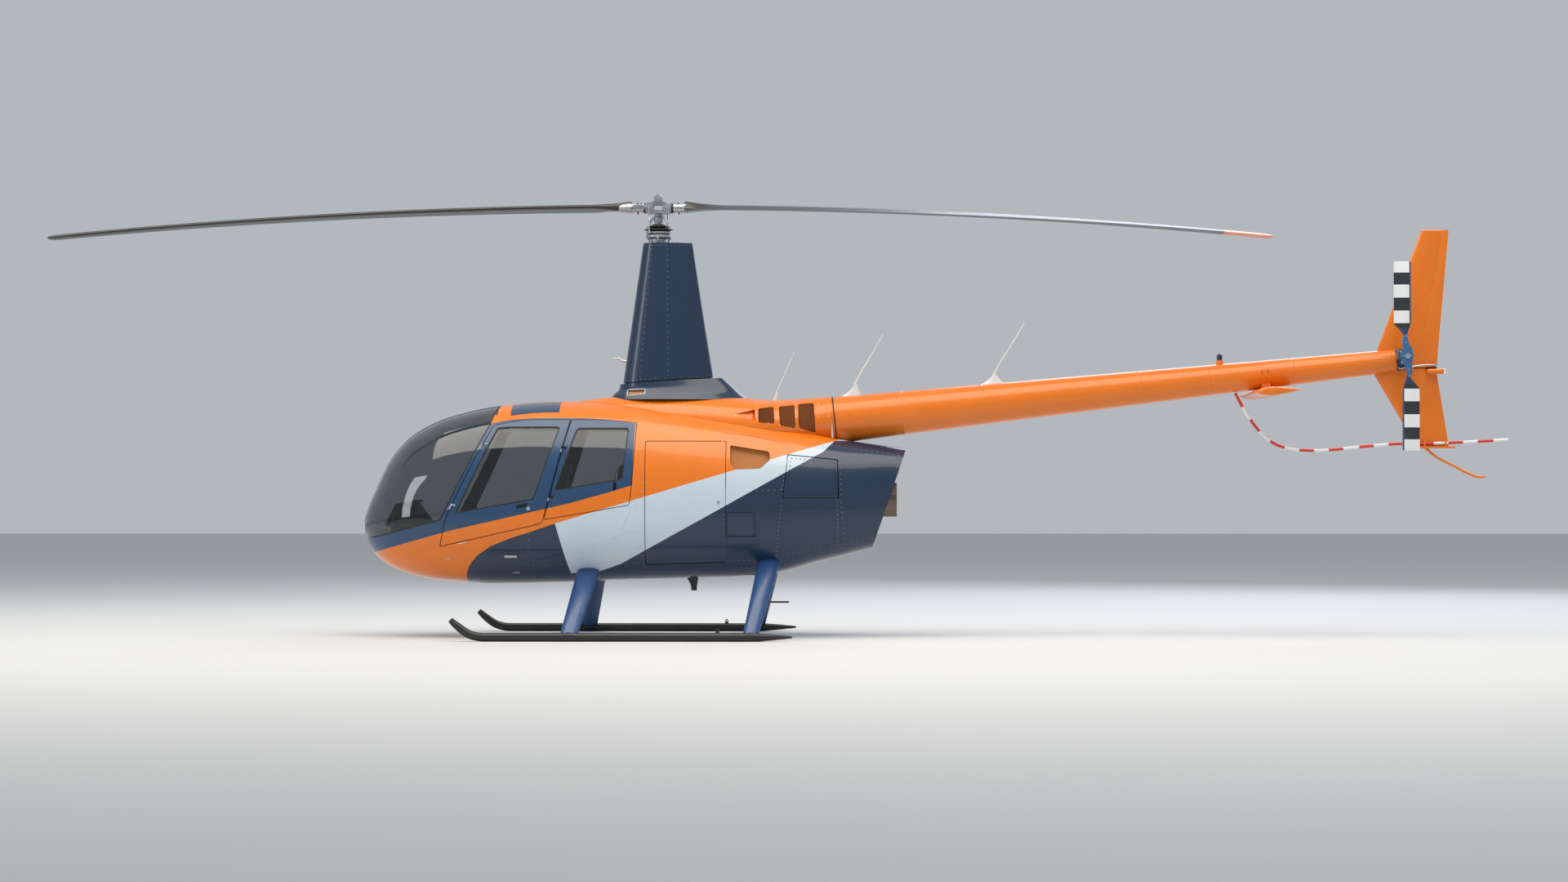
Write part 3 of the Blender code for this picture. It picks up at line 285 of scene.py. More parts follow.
def side_masks(tree):
    place = node(tree, "ShaderNodeTexCoord")
    parts = node(tree, "ShaderNodeSeparateXYZ", None, {"Vector": place.outputs["Object"]})
    x, z = parts.outputs["X"], parts.outputs["Z"]

    def beyond(a, b):
        """1 to the left of the line from a to b, seen with x to the right and z up."""
        normal = Vector((a[1] - b[1], b[0] - a[0])).normalized()
        dot = node(tree, "ShaderNodeVectorMath", {1: (normal.x, 0, normal.y)}, {0: place.outputs["Object"]},
            operation="DOT_PRODUCT")
        return node(tree, "ShaderNodeMath", {1: normal.x * a[0] + normal.y * a[1]}, {0: dot.outputs["Value"]},
            operation="GREATER_THAN").outputs[0]

    def above(line, straight=True):
        first, last = line[0][0], line[-1][0]
        low, high = 0.4, 1.9
        along = node(tree, "ShaderNodeMapRange", {"From Min": first, "From Max": last}, {"Value": x})
        curve = node(tree, "ShaderNodeFloatCurve", None, {"Value": along.outputs[0]})
        points = curve.mapping.curves[0].points
        spots = [((p[0] - first) / (last - first), (p[1] - low) / (high - low)) for p in line]
        points[0].location, points[1].location = spots[0], spots[-1]
        for spot in spots[1:-1]:
            points.new(*spot)
        for point in points:
            point.handle_type = "VECTOR" if straight else "AUTO"
        curve.mapping.update()
        height = node(tree, "ShaderNodeMapRange", {"To Min": low, "To Max": high}, {"Value": curve.outputs[0]})
        return node(tree, "ShaderNodeMath", None, {0: z, 1: height.outputs[0]}, operation="GREATER_THAN").outputs[0]

    def join(kind, *values):
        total = values[0]
        for value in values[1:]:
            total = node(tree, "ShaderNodeMath", None, {0: total, 1: value}, operation=kind).outputs[0]
        return total

    def less(value, limit):
        return node(tree, "ShaderNodeMath", {1: limit}, {0: value}, operation="LESS_THAN").outputs[0]

    ahead = less(x, -1.763)
    nose = join("MULTIPLY", ahead, join("MAXIMUM", less(x, -2.517), above(NOSE_CURVE)))
    rest = join("MULTIPLY", node(tree, "ShaderNodeMath", {1: -1.763}, {0: x}, operation="GREATER_THAN").outputs[0],
        beyond((-1.763, 0.931), (0.479, 1.600)))
    orange = join("MAXIMUM", nose, rest)
    pale = join("MULTIPLY", beyond((-1.763, 0.931), (-1.653, 0.527)), above(PATCH_LOW))
    blue = join("MULTIPLY", above(BAND_LOW), beyond((-1.147, 1.242), (-1.130, 1.733)),
        join("MAXIMUM", beyond((-2.314, 1.734), (-2.252, 1.876)), node(tree, "ShaderNodeMath", {0: 1.0},
        {1: above(FRAME_TOP, False)}, operation="SUBTRACT").outputs[0]))
    return orange, pale, blue


def body_paint():
    mat, tree, shader, tone = gloss_paint("polyurethane_gloss_body_scheme", NAVY)
    orange, pale, blue = side_masks(tree)
    colour = None
    for code, mask in ((PALE, pale), (ORANGE, orange), (BLUE, blue)):
        mix = node(tree, "ShaderNodeMix", {"A": linear(NAVY), "B": linear(code)}
            if colour is None else {"B": linear(code)}, {"Factor": mask}, data_type="RGBA")
        if colour is not None:
            tree.links.new(colour, mix.inputs["A"])
        colour = mix.outputs["Result"]
    tree.links.new(colour, tone.inputs["Color"])
    return mat

# %% [markdown]
# ## The body's shape
#
# The body is lofted through a table of stations, as its formers would be drawn: for each x its top, bottom, half
# width, widest height and how square its shoulders are. Between the stations a monotone curve runs over the root of
# the distance from the nose, so the nose comes out round and nothing overshoots.

# %% Body stations
NOSE_X = -3.385
BODY = np.array([(-3.385, 0.930, 0.930, 0.000, 0.930, 2.10, 2.10), (-3.358, 1.046, 0.771, 0.170, 0.930, 2.10, 2.10),
    (-3.291, 1.207, 0.671, 0.290, 0.945, 2.10, 2.10), (-3.157, 1.470, 0.570, 0.420, 0.965, 2.15, 2.15),
    (-3.023, 1.620, 0.517, 0.505, 0.985, 2.20, 2.20), (-2.889, 1.710, 0.483, 0.565, 1.000, 2.20, 2.30),
    (-2.755, 1.773, 0.463, 0.610, 1.015, 2.25, 2.40), (-2.487, 1.850, 0.443, 0.672, 1.040, 2.30, 2.60),
    (-2.353, 1.877, 0.436, 0.695, 1.050, 2.30, 2.60), (-1.817, 1.928, 0.443, 0.735, 1.070, 2.30, 2.60),
    (-1.280, 1.925, 0.463, 0.735, 1.080, 2.30, 2.60), (-0.744, 1.865, 0.477, 0.712, 1.080, 2.30, 2.60),
    (-0.208, 1.785, 0.497, 0.655, 1.080, 2.35, 2.60), (0.060, 1.730, 0.530, 0.610, 1.080, 2.40, 2.60),
    (0.328, 1.665, 0.604, 0.550, 1.080, 2.60, 2.60), (0.596, 1.605, 0.671, 0.475, 1.090, 2.80, 2.60),
    (0.850, 1.570, 0.738, 0.400, 1.110, 3.00, 2.60), (1.140, 1.530, 0.812, 0.320, 1.130, 3.00, 2.60),])


def tangents(xs, table):
    """Slopes for a cubic curve through each column of the table that never overshoots."""
    step = np.diff(xs)[:, None]
    slope = np.diff(table, axis=0) / step
    result = np.vstack([slope[:1], (slope[:-1] + slope[1:]) / 2, slope[-1:]])
    for i in range(len(slope)):
        for k in range(table.shape[1]):
            s = slope[i, k]
            if abs(s) < 1e-12:
                result[i:i + 2, k] = 0.0
                continue
            a, b = max(0.0, result[i, k] / s), max(0.0, result[i + 1, k] / s)
            scale = 3 / max(3.0, math.hypot(a, b))
            result[i, k], result[i + 1, k] = a * scale * s, b * scale * s
    return result


def between(xs, table, slope, at):
    """The table's row at a place between its lines."""
    at = min(max(at, xs[0]), xs[-1])
    i = int(np.clip(np.searchsorted(xs, at) - 1, 0, len(xs) - 2))
    step = xs[i + 1] - xs[i]
    t = (at - xs[i]) / step
    return ((2 * t ** 3 - 3 * t ** 2 + 1) * table[i] + (t ** 3 - 2 * t ** 2 + t) * step * slope[i]
        + (3 * t ** 2 - 2 * t ** 3) * table[i + 1] + (t ** 3 - t ** 2) * step * slope[i + 1])


ROOTS = np.sqrt(BODY[:, 0] - NOSE_X)
BODY_SLOPES = tangents(ROOTS, BODY[:, 1:])


def former(x):
    return between(ROOTS, BODY[:, 1:], BODY_SLOPES, math.sqrt(max(x, NOSE_X) - NOSE_X))


def section_at(x, count=112):
    """Ring of points round the body at x, evenly by angle."""
    top, low, half, wide, up, down = former(x)
    angle = 2 * np.pi * (np.arange(count) + 0.5) / count
    c, s = np.cos(angle), np.sin(angle)
    power = np.where(s > 0, up, down)
    reach = (np.abs(c) ** power + np.abs(s) ** power) ** (-1 / power)
    rise = np.where(s > 0, top - wide, wide - low)
    return np.stack([np.full(count, x), half * reach * c, wide + rise * reach * s], axis=1)


def skin_y(x, z):
    """Half width of the body at a place in the side view."""
    top, low, half, wide, up, down = former(x)
    t, power = ((z - wide) / (top - wide), up) if z >= wide else ((wide - z) / (wide - low), down)
    return half * max(0.0, 1 - min(1.0, abs(t)) ** power) ** (1 / power)


def on_skin(x, z, side=-1, lift=0.0):
    """Point on the body at a place in the side view, and the outward direction there."""
    step = 0.004
    point = Vector((x, side * skin_y(x, z), z))
    by_x = Vector((2 * step, side * (skin_y(x + step, z) - skin_y(x - step, z)), 0))
    by_z = Vector((0, side * (skin_y(x, z + step) - skin_y(x, z - step)), 2 * step))
    normal = by_x.cross(by_z).normalized()
    if normal.y * side < 0:
        normal = -normal
    return point + normal * lift, normal


print("half width at the front doors", round(skin_y(-2.3, 1.1), 3))

# %% [markdown]
# ## Rolling a grid into a shell
#
# A grid is added, its points are set along the rings of a table, its two long edges are merged, and its ends are
# filled. Every smooth body here is made this way: the hull, the cowling, the fairings, the boom and the blades.

# %% Shell from rings
def shell(name, rings, cap_first=True, cap_last=True):
    count, rows = len(rings[0]), len(rings)
    pick()
    bpy.ops.mesh.primitive_grid_add(x_subdivisions=count, y_subdivisions=rows - 1, size=1)
    obj = bpy.context.object
    obj.name = name
    coords = np.array([tuple(ring[k % count]) for ring in rings for k in range(count + 1)], dtype=np.float32)
    assert len(obj.data.vertices) == len(coords), (len(obj.data.vertices), len(coords))
    obj.data.vertices.foreach_set("co", coords.ravel())
    obj.data.update()
    edit(obj)
    bpy.ops.mesh.remove_doubles(threshold=1e-6)
    leave()
    for wanted, ring in ((cap_first, rings[0]), (cap_last, rings[-1])):
        if not wanted:
            continue
        middle = sum((Vector(p) for p in ring), Vector()) / count
        reach = max((Vector(p) - middle).length for p in ring) + 1e-4
        normal = (Vector(ring[0]) - middle).cross(Vector(ring[count // 3]) - middle)
        if normal.length < 1e-10:
            continue
        normal.normalize()
        edit_edges(obj, lambda e: e.is_boundary and all((v.co - middle).length < reach
            and abs((v.co - middle).dot(normal)) < 0.02 for v in e.verts))
        bpy.ops.mesh.edge_face_add()
        leave()
    edit(obj)
    bpy.ops.mesh.normals_make_consistent(inside=False)
    leave()
    return obj


def hull(name, inset, rows=96, last=1.139):
    """The body's surface moved inwards along its own normal."""
    rings = []
    for s in np.linspace(0.035, math.sqrt(last - NOSE_X), rows):
        here, before, after = (section_at(NOSE_X + (s + step) ** 2) for step in (0.0, -0.004, 0.004))
        normal = np.cross(np.roll(here, -1, 0) - np.roll(here, 1, 0), after - before)
        normal /= np.linalg.norm(normal, axis=1)[:, None]
        if normal[0, 1] < 0:
            normal = -normal
        rings.append(here - normal * inset)
    return shell(name, rings)


outer_skin = hull("outer_skin", 0.0)
inner_skin = hull("inner_skin", 0.034)
print("outer skin", len(outer_skin.data.polygons), "faces")

# %% [markdown]
# ## Cutting along the panel lines
#
# Doors and windows are drawn in the side view, so each cutter is an outline extruded along Y: a filled circle with
# one point for each corner, moved to the corners, extruded, and its long edges bevelled for round corners. The cabin
# doors' upper edges rise outwards along the eave.

# %% Outlines and cutters
WINDSCREEN = [(-3.60, 0.780), (-3.270, 0.818), (-3.119, 0.851), (-2.697, 0.957), (-2.309, 1.730), (-2.272, 1.890),
    (-2.260, 2.10), (-3.60, 2.10)]
FRONT_DOOR = [(-2.270, 1.730), (-2.648, 0.976), (-2.700, 0.748), (-1.870, 0.933), (-1.828, 1.098), (-1.658, 1.772),
    (-1.90, 1.776), (-2.05, 1.770)]
REAR_DOOR = [(-1.644, 1.772), (-1.814, 1.098), (-1.848, 0.965), (-1.172, 1.080), (-1.150, 1.250), (-1.121, 1.737),
    (-1.36, 1.765)]
FRONT_WINDOW = [(-2.248, 1.705), (-2.578, 1.008), (-1.935, 1.121), (-1.735, 1.700), (-1.757, 1.713), (-2.161, 1.713)]
REAR_WINDOW = [(-1.600, 1.703), (-1.770, 1.190), (-1.220, 1.281), (-1.176, 1.703)]
BAGGAGE_DOOR = [(-1.040, 1.590), (-1.040, 0.600), (-0.400, 0.620), (-0.400, 1.590)]
COWL_DOOR = [(0.104, 1.480), (0.064, 1.140), (0.504, 1.140), (0.497, 1.440)]
ACCESS_DOOR = [(-0.386, 1.016), (-0.170, 1.016), (-0.160, 0.830), (-0.386, 0.830)]
EAVE_Y, EAVE_Z, EAVE_SLOPE = 0.490, 1.60, 0.40


def grown(outline, distance):
    """Outline moved outwards, or inwards for a negative distance."""
    area = sum(a[0] * b[1] - b[0] * a[1] for a, b in zip(outline, outline[1:] + outline[:1]))
    sign = 1.0 if area > 0 else -1.0
    result = []
    for i, here in enumerate(outline):
        before, after = Vector(outline[i - 1]), Vector(outline[(i + 1) % len(outline)])
        d1, d2 = (Vector(here) - before).normalized(), (after - Vector(here)).normalized()
        n1, n2 = Vector((d1.y, -d1.x)) * sign, Vector((d2.y, -d2.x)) * sign
        n = (n1 + n2).normalized()
        result.append(tuple(Vector(here) + n * (distance / max(0.35, n.dot(n1)))))
    return result


def cutter(name, outline, low, high, corner=0.0, eave=False):
    pick()
    bpy.ops.mesh.primitive_circle_add(vertices=len(outline), fill_type="NGON", radius=1)
    obj = bpy.context.object
    obj.name = name
    for vert, (x, z) in zip(obj.data.vertices, outline):
        vert.co = (x, low, z)
    edit(obj)
    bpy.ops.mesh.extrude_region_move(TRANSFORM_OT_translate={"value": (0, high - low, 0)})
    leave()
    if eave:
        front = min(p[0] for p in outline if p[1] > EAVE_Z)
        rear = max(p[0] for p in outline if p[1] > EAVE_Z)
        lean_front, lean_rear = (0.433, 0.251) if front < -2.0 else (0.251, 0.060)
        for vert in obj.data.vertices:
            x, y, z = vert.co
            if z > EAVE_Z:
                rise = EAVE_SLOPE * (abs(y) - EAVE_Y)
                lean = lean_front + (lean_rear - lean_front) * (x - front) / (rear - front)
                vert.co = (x + lean * rise, y, z + rise)
    if corner:
        edit_edges(obj, lambda e: abs(e.verts[0].co.y - e.verts[1].co.y) > 0.1)
        bpy.ops.mesh.bevel(offset=corner, segments=5, clamp_overlap=True)
        leave()
    edit(obj)
    bpy.ops.mesh.normals_make_consistent(inside=False)
    leave()
    return obj


def block(name, low, high):
    outline = [(low[0], low[2]), (high[0], low[2]), (high[0], high[2]), (low[0], high[2])]
    return cutter(name, outline, low[1], high[1])


def round_bar(name, start, end, radius, radius_end=None, sides=24):
    """Cylinder or cone between two points."""
    start, end = Vector(start), Vector(end)
    along = end - start
    pick()
    bpy.ops.mesh.primitive_cone_add(vertices=sides, radius1=radius, radius2=radius
        if radius_end is None else radius_end, depth=along.length)
    obj = bpy.context.object
    obj.name = name
    turn = along.to_track_quat("Z", "Y").to_matrix().to_4x4()
    obj.data.transform(Matrix.Translation((start + end) / 2) @ turn)
    return obj

# %% [markdown]
# ## The riveted body
#
# On the real machine the nose, belly, roof and aft body are aluminium sheet on frames, and the door openings are cut
# through them. Here they are one shell: the outer loft less the inner loft, less one cutter for each opening.

# %% Body shell with its openings
GAP = 0.006
body_scheme = body_paint()
body_shell = copy_of(outer_skin, "body_shell")
boolean(body_shell, inner_skin, keep=True)
openings = [cutter("windscreen_room", WINDSCREEN, -1.0, 1.0)]
for side, low, high in ((-1, -1.0, -0.2), (1, 0.2, 1.0)):
    for outline in (FRONT_DOOR, REAR_DOOR):
        openings.append(cutter("door_room", grown(outline, GAP), low, high, 0.020, eave=True))
    openings.append(cutter("cowl_room", grown(COWL_DOOR, GAP + 0.002), low, high, 0.010))
openings.append(cutter("baggage_room", grown(BAGGAGE_DOOR, GAP), -1.0, -0.3, 0.020))
openings.append(cutter("access_room", grown(ACCESS_DOOR, GAP), -1.0, -0.3, 0.015))
AFT_SLANT = (1.057 - 0.777) / (1.530 - 0.715)
aft_edge = [(0.777 + AFT_SLANT * (z - 0.715), z) for z in (0.3, 2.0)]
openings.append(cutter("beyond_aft_end", [aft_edge[0], (1.6, 0.3), (1.6, 2.0), aft_edge[1]], -1.0, 1.0))
openings.append(round_bar("boom_room", (0.20, 0, 1.7437), (2.0, 0, 1.934), 0.1935, 0.160, 48))
for item in openings:
    boolean(body_shell, item)
dress(body_shell, body_scheme, replaces=["nose_and_belly_shell", "cabin_roof", "windscreen_post_left",
    "windscreen_post_right", "aft_fuselage"], angle=30)
print("body shell", len(body_shell.data.polygons), "faces")

# %% [markdown]
# ## Doors
#
# Each door is cut from the same loft, so it lies flush. Its edge is a thin flange and its middle a full-thickness
# ring, as on the real door, where the ring is a foam-filled moulding behind the sheet.

# %% Door panels
flange_skin = hull("flange_skin", 0.008)


def door_panel(name, outline, window, low, high, node_name, body, eave=True, corner=0.012, wall=inner_skin,
        thin=True):
    panel = copy_of(outer_skin, name)
    boolean(panel, cutter("door_zone", outline, low, high, corner, eave), "INTERSECT")
    boolean(panel, wall, keep=True)
    if thin:
        ring = copy_of(flange_skin, "ring_room")
        boolean(ring, cutter("core_zone", grown(outline, -0.018), low, high, corner, eave))
        boolean(panel, ring)
    if window:
        boolean(panel, cutter("window_room", window, low, high, 0.030))
    return dress(panel, body_scheme, body, [node_name], 30)


front_door = door_panel("front_door_panel_left", FRONT_DOOR, FRONT_WINDOW, -1.0, -0.2, "door_front_left",
    "front_door_left")
rear_door = door_panel("rear_door_panel_left", REAR_DOOR, REAR_WINDOW, -1.0, -0.2, "door_rear_left", "rear_door_left")
for source, name, node_name, body in ((front_door, "front_door_panel_right", "door_front_right", "front_door_right"),
        (rear_door, "rear_door_panel_right", "door_rear_right", "rear_door_right")):
    pair = mirrored(source, name)
    pair.parent = None
    dress(pair, body_scheme, body, [node_name], 30)
door_panel("baggage_door_panel", BAGGAGE_DOOR, None, -1.0, -0.3, "door_baggage_left", "baggage_door", False, 0.012,
    thin=False)
cowl_inner = hull("cowl_inner", 0.014)
cowl = door_panel("cowl_door_panel_left", COWL_DOOR, None, -1.0, -0.2, "engine_cowl_door_left", "cowl_door_left",
    False, 0.008, cowl_inner, False)
pair = mirrored(cowl, "cowl_door_panel_right")
pair.parent = None
dress(pair, body_scheme, "cowl_door_right", ["engine_cowl_door_right"], 30)
door_panel("access_door_panel", ACCESS_DOOR, None, -1.0, -0.3, "access_door_left", "access_door", False, 0.010,
    cowl_inner, False)
for spare in (flange_skin, cowl_inner):
    bpy.data.objects.remove(spare, do_unlink=True)

# %% [markdown]
# Behind each gap the body has a landing: a narrow painted strip round the opening. On the real machine the closed
# door's seal rests on it, and no seal is made here. It lies inside the door's inner face, so the door swings clear
# of it, and it closes the gap to the light.

# %% Door landings
landings = []
for outer, inner, doors in ((0.0385, 0.0410, ((FRONT_DOOR, 0.2, True), (REAR_DOOR, 0.2, True),
        (BAGGAGE_DOOR, 0.3, False))), (0.0190, 0.0215, ((COWL_DOOR, 0.2, False), (ACCESS_DOOR, 0.3, False)))):
    strip_skin = hull("strip_skin", outer)
    boolean(strip_skin, hull("strip_core", inner))
    for outline, near, eave in doors:
        for side in (-1, 1) if outline not in (BAGGAGE_DOOR, ACCESS_DOOR) else (-1,):
            low, high = min(side * near, side), max(side * near, side)
            strip = copy_of(strip_skin, "landing")
            boolean(strip, cutter("zone", grown(outline, 0.016), low, high, 0.020, eave), "INTERSECT")
            boolean(strip, cutter("hole", grown(outline, -0.012), low, high, 0.010, eave))
            landings.append(strip)
    bpy.data.objects.remove(strip_skin, do_unlink=True)
dress(joined("door_landings", landings), body_scheme, angle=30)

# %% [markdown]
# ## Glass
#
# The panes are cast acrylic with a smoke tint, 6 mm thick here, set 6 mm under the skin. Acrylic has an index of
# 1.49. The tint is the transmission colour. It is dark enough for the cabin to stay in shade from outside.

# %% Acrylic panes
acrylic = finish("cast_acrylic_smoke_tint", "#A2A7AB", 0.0, (6.0, 0.0, 0.008), Transmission_Weight=1.0, IOR=1.49)
pane_outer = hull("pane_outer", 0.006)
pane_inner = hull("pane_inner", 0.012)
glass = copy_of(pane_outer, "glass_shell")
boolean(glass, pane_inner)
for name, outline, low, high, node_name, body, corner in (("windscreen_pane_left", grown(WINDSCREEN, -0.0005), -1.0,
        -0.0153, "windscreen_left", "airframe", 0.0), ("front_door_pane_left", grown(FRONT_WINDOW, -0.0005), -1.0,
        -0.2, "door_glass_front_left", "front_door_left", 0.030), ("rear_door_pane_left", grown(REAR_WINDOW, -0.0005),
        -1.0, -0.2, "door_glass_rear_left", "rear_door_left", 0.030)):
    pane = copy_of(glass, name)
    boolean(pane, cutter("pane_zone", outline, low, high, corner), "INTERSECT")
    pair = mirrored(pane, name.replace("left", "right"))
    dress(pane, acrylic, body, [node_name], 30)
    dress(pair, acrylic, body.replace("left", "right"), [node_name.replace("left", "right")], 30)
for spare in (glass, pane_outer):
    bpy.data.objects.remove(spare, do_unlink=True)

# %% [markdown]
# ## Top cowling
#
# A raised cowling runs from the cabin roof to the boom. It is a glass-fibre moulding, so it is smooth with no rivets
# but along its lower edge. It is lofted from its own table and the body is cut out of it. Its rear part is hollow,
# with three screened openings on each side that let the cooling air out, and a pressed scoop ahead of them.

# %% Cowling loft
TOP_COWL = np.array([(-1.620, 1.9345, 0.200, 1.800, 2.0), (-1.500, 1.948, 0.260, 1.780, 2.1),
    (-1.367, 1.963, 0.300, 1.765, 2.2), (-1.200, 1.972, 0.325, 1.750, 2.3), (-0.900, 1.976, 0.345, 1.730, 2.3),
    (-0.500, 1.972, 0.360, 1.700, 2.2), (-0.208, 1.952, 0.355, 1.700, 2.1), (-0.027, 1.938, 0.335, 1.710, 2.0),
    (0.150, 1.945, 0.290, 1.735, 2.0), (0.300, 1.956, 0.235, 1.755, 2.0), (0.449, 1.964, 0.196, 1.770, 2.0),])
COWL_SLOPES = tangents(TOP_COWL[:, 0], TOP_COWL[:, 1:])


def cowl_ring(x, grow=0.0, count=72):
    top, half, middle, power = between(TOP_COWL[:, 0], TOP_COWL[:, 1:], COWL_SLOPES, x)
    angle = 2 * np.pi * (np.arange(count) + 0.5) / count
    c, s = np.cos(angle), np.sin(angle)
    reach = (np.abs(c) ** power + np.abs(s) ** power) ** (-1 / power)
    return np.stack([np.full(count, x), (half + grow) * reach * c, middle + (top - middle + grow) * reach * s],
        axis=1)


def cowl_y(x, z):
    top, half, middle, power = between(TOP_COWL[:, 0], TOP_COWL[:, 1:], COWL_SLOPES, x)
    return half * max(0.0, 1 - min(1.0, abs((z - middle) / (top - middle))) ** power) ** (1 / power)


body_room = hull("body_room", -0.0006)
top_cowl = shell("top_cowling_moulding", [cowl_ring(x) for x in np.linspace(-1.620, 0.449, 60)])
boolean(top_cowl, body_room, keep=True)
boolean(top_cowl, round_bar("boom_end_room", (0.400, 0, 1.7648), (0.60, 0, 1.7860), 0.1914, sides=48))
boolean(top_cowl, shell("air_room", [cowl_ring(x, -0.012) for x in np.linspace(-0.152, 0.385, 20)]))
SCREENS = [[(-0.140, 1.744), (-0.147, 1.862), (-0.020, 1.880), (-0.010, 1.738)], [(0.034, 1.722), (0.020, 1.880),
    (0.150, 1.893), (0.158, 1.700)], [(0.186, 1.706), (0.176, 1.900), (0.306, 1.912), (0.322, 1.664)]]
SCOOP = [(-0.330, 1.818), (-0.172, 1.857), (-0.165, 1.760)]
for side in (-1, 1):
    for outline in SCREENS:
        boolean(top_cowl, cutter("screen_hole", outline, side * 0.02, side * 0.6, 0.018))
    scoop = shell("scoop_room", [[(x, side * (cowl_y(x, z) + lift), z) for x, z, lift in ring]
        for ring in ([(SCOOP[0][0], SCOOP[0][1], 0.01), (SCOOP[1][0], SCOOP[1][1], 0.01),
        (SCOOP[2][0], SCOOP[2][1], 0.01)], [(SCOOP[0][0], SCOOP[0][1], -0.0005), (SCOOP[1][0], SCOOP[1][1] - 0.01,
        -0.045), (SCOOP[2][0], SCOOP[2][1] + 0.01, -0.045)])])
    boolean(top_cowl, scoop)
dress(top_cowl, orange_paint, replaces=["top_cowling"], angle=30)
# The divider is a tan sheet down the cowling's middle that shows through the screens. Its tan is made lighter than
# the primer's own: painted light for the light that reaches in through them.
backing_tan_with_painted_light = finish("chromate_primer_tan", "#BF7838", 0.60, (25.0, 0.52, 0.70))
divider = cutter("cowling_divider", [(-0.150, 1.700), (-0.150, 1.925), (0.150, 1.925), (0.382, 1.940),
    (0.382, 1.640)], -0.003, 0.003)
dress(divider, backing_tan_with_painted_light, angle=30)

# %% [markdown]
# Behind each opening lies woven wire cloth in primer tan, its colour made lighter as painted light for the light that
# comes in through the openings. It is a grid shaped to the cowling and turned into wires by the wireframe modifier.
# The flank's air outlet gets the same cloth later.

# %% Wire cloth
wire_tan_with_painted_light = finish("painted_steel_wire_cloth", "#B07A48", 0.55, (60.0, 0.45, 0.70))


def wire_cloth(name, outline, depth_y, side, pitch=0.009, wire=0.0011):
    xs, zs = [p[0] for p in outline], [p[1] for p in outline]
    across, up = max(2, round((max(xs) - min(xs)) / pitch)), max(2, round((max(zs) - min(zs)) / pitch))
    pick()
    bpy.ops.mesh.primitive_grid_add(x_subdivisions=across, y_subdivisions=up, size=1)
    obj = bpy.context.object
    obj.name = name
    for vert in obj.data.vertices:
        x = min(xs) - 0.006 + (vert.co.x + 0.5) * (max(xs) - min(xs) + 0.012)
        z = min(zs) - 0.006 + (vert.co.y + 0.5) * (max(zs) - min(zs) + 0.012)
        vert.co = (x, side * depth_y(x, z), z)
    apply(obj, "WIREFRAME", thickness=wire, use_replace=True, use_boundary=True)
    return obj


cloths = []
for side in (-1, 1):
    for outline in SCREENS:
        cloths.append(wire_cloth("cloth", outline, lambda x, z: cowl_y(x, z) - 0.007, side))
dress(joined("cowling_wire_cloth", cloths), wire_tan_with_painted_light, angle=0)

# %% [markdown]
# ## Mast fairings
#
# The mast stands in a tall streamlined fairing of sheet, on a moulded base. A dark gap parts them. Two lines of
# rivets hold the fairing to its frames, and a slot in the base takes in cooling air.

# %% Teardrop rings
def teardrop(z, front, rear, half, lean=0.0, count=56):
    widest = front + 0.36 * (rear - front)
    ring = []
    for k in range(count):
        c, s = math.cos(2 * math.pi * k / count), math.sin(2 * math.pi * k / count)
        x = widest + ((widest - front) if c < 0 else (rear - widest)) * c
        y = half * s * (1.0 if c < 0 else 1 - 0.25 * c * c)
        ring.append((x, y, z + lean * (x - front)))
    return ring


TOWER = np.array([(2.0698, -1.262, -0.520, 0.150, 0.062), (2.640, -1.180, -0.606, 0.130, 0.030),
    (3.2275, -1.097, -0.690, 0.110, 0.0)])
BASE = np.array([(1.940, -1.365, -0.225, 0.270, 0.0), (1.985, -1.340, -0.290, 0.235, 0.0),
    (2.020, -1.300, -0.350, 0.205, 0.020), (2.068, -1.285, -0.440, 0.185, 0.062)])


def fairing_rings(table, rows, shrink=0.0, foot=0.0):
    slope = tangents(table[:, 0], table[:, 1:])
    rings = []
    for z in np.linspace(table[0, 0] + foot, table[-1, 0], rows):
        front, rear, half, lean = between(table[:, 0], table[:, 1:], slope, z)
        rings.append(teardrop(z, front + shrink, rear - shrink, half - shrink, lean))
    return rings


tower = shell("mast_fairing_skin", fairing_rings(TOWER, 24, foot=0.009))
boolean(tower, round_bar("mast_room", (-0.972, 0, 3.12), (-0.972, 0, 3.40), 0.036))
well = teardrop(3.225, -1.090, -0.698, 0.103)
boolean(tower, shell("top_well", [[(x, y, 3.205) for x, y, z in well], [(x, y, 3.3) for x, y, z in well]]))
dress(tower, navy_paint, replaces=["mast_fairing"], angle=30)
base = shell("mast_base_moulding", fairing_rings(BASE, 14))
boolean(base, body_room, keep=True)
cowl_room = shell("cowl_room", [cowl_ring(x, 0.0003) for x in np.linspace(-1.62, 0.449, 60)])
boolean(base, cowl_room)
dress(base, navy_paint, replaces=["mast_base_fairing"], angle=30)

# %% [markdown]
# The intake is a slot in the base's left side: a rounded opening with a pale rolled lip and an orange-brown filter
# screen a little way in.

# %% Intake slot
SLOT = [(-1.216, 1.972), (-1.212, 2.018), (-1.070, 2.022), (-1.072, 1.985)]
boolean(base, cutter("slot_room", SLOT, -0.300, -0.110, 0.010))
smooth(base, 30)
print("base fairing", len(base.data.polygons), "faces")

# %% [markdown]
# ## Rotor head
#
# The head teeters on one bolt and each blade cones on its own. Its hub plate is forged steel, bead blasted and
# varnished. The swashplate below tilts on a ball under two rubber dust boots, and two links carry its tilt to the
# grips.

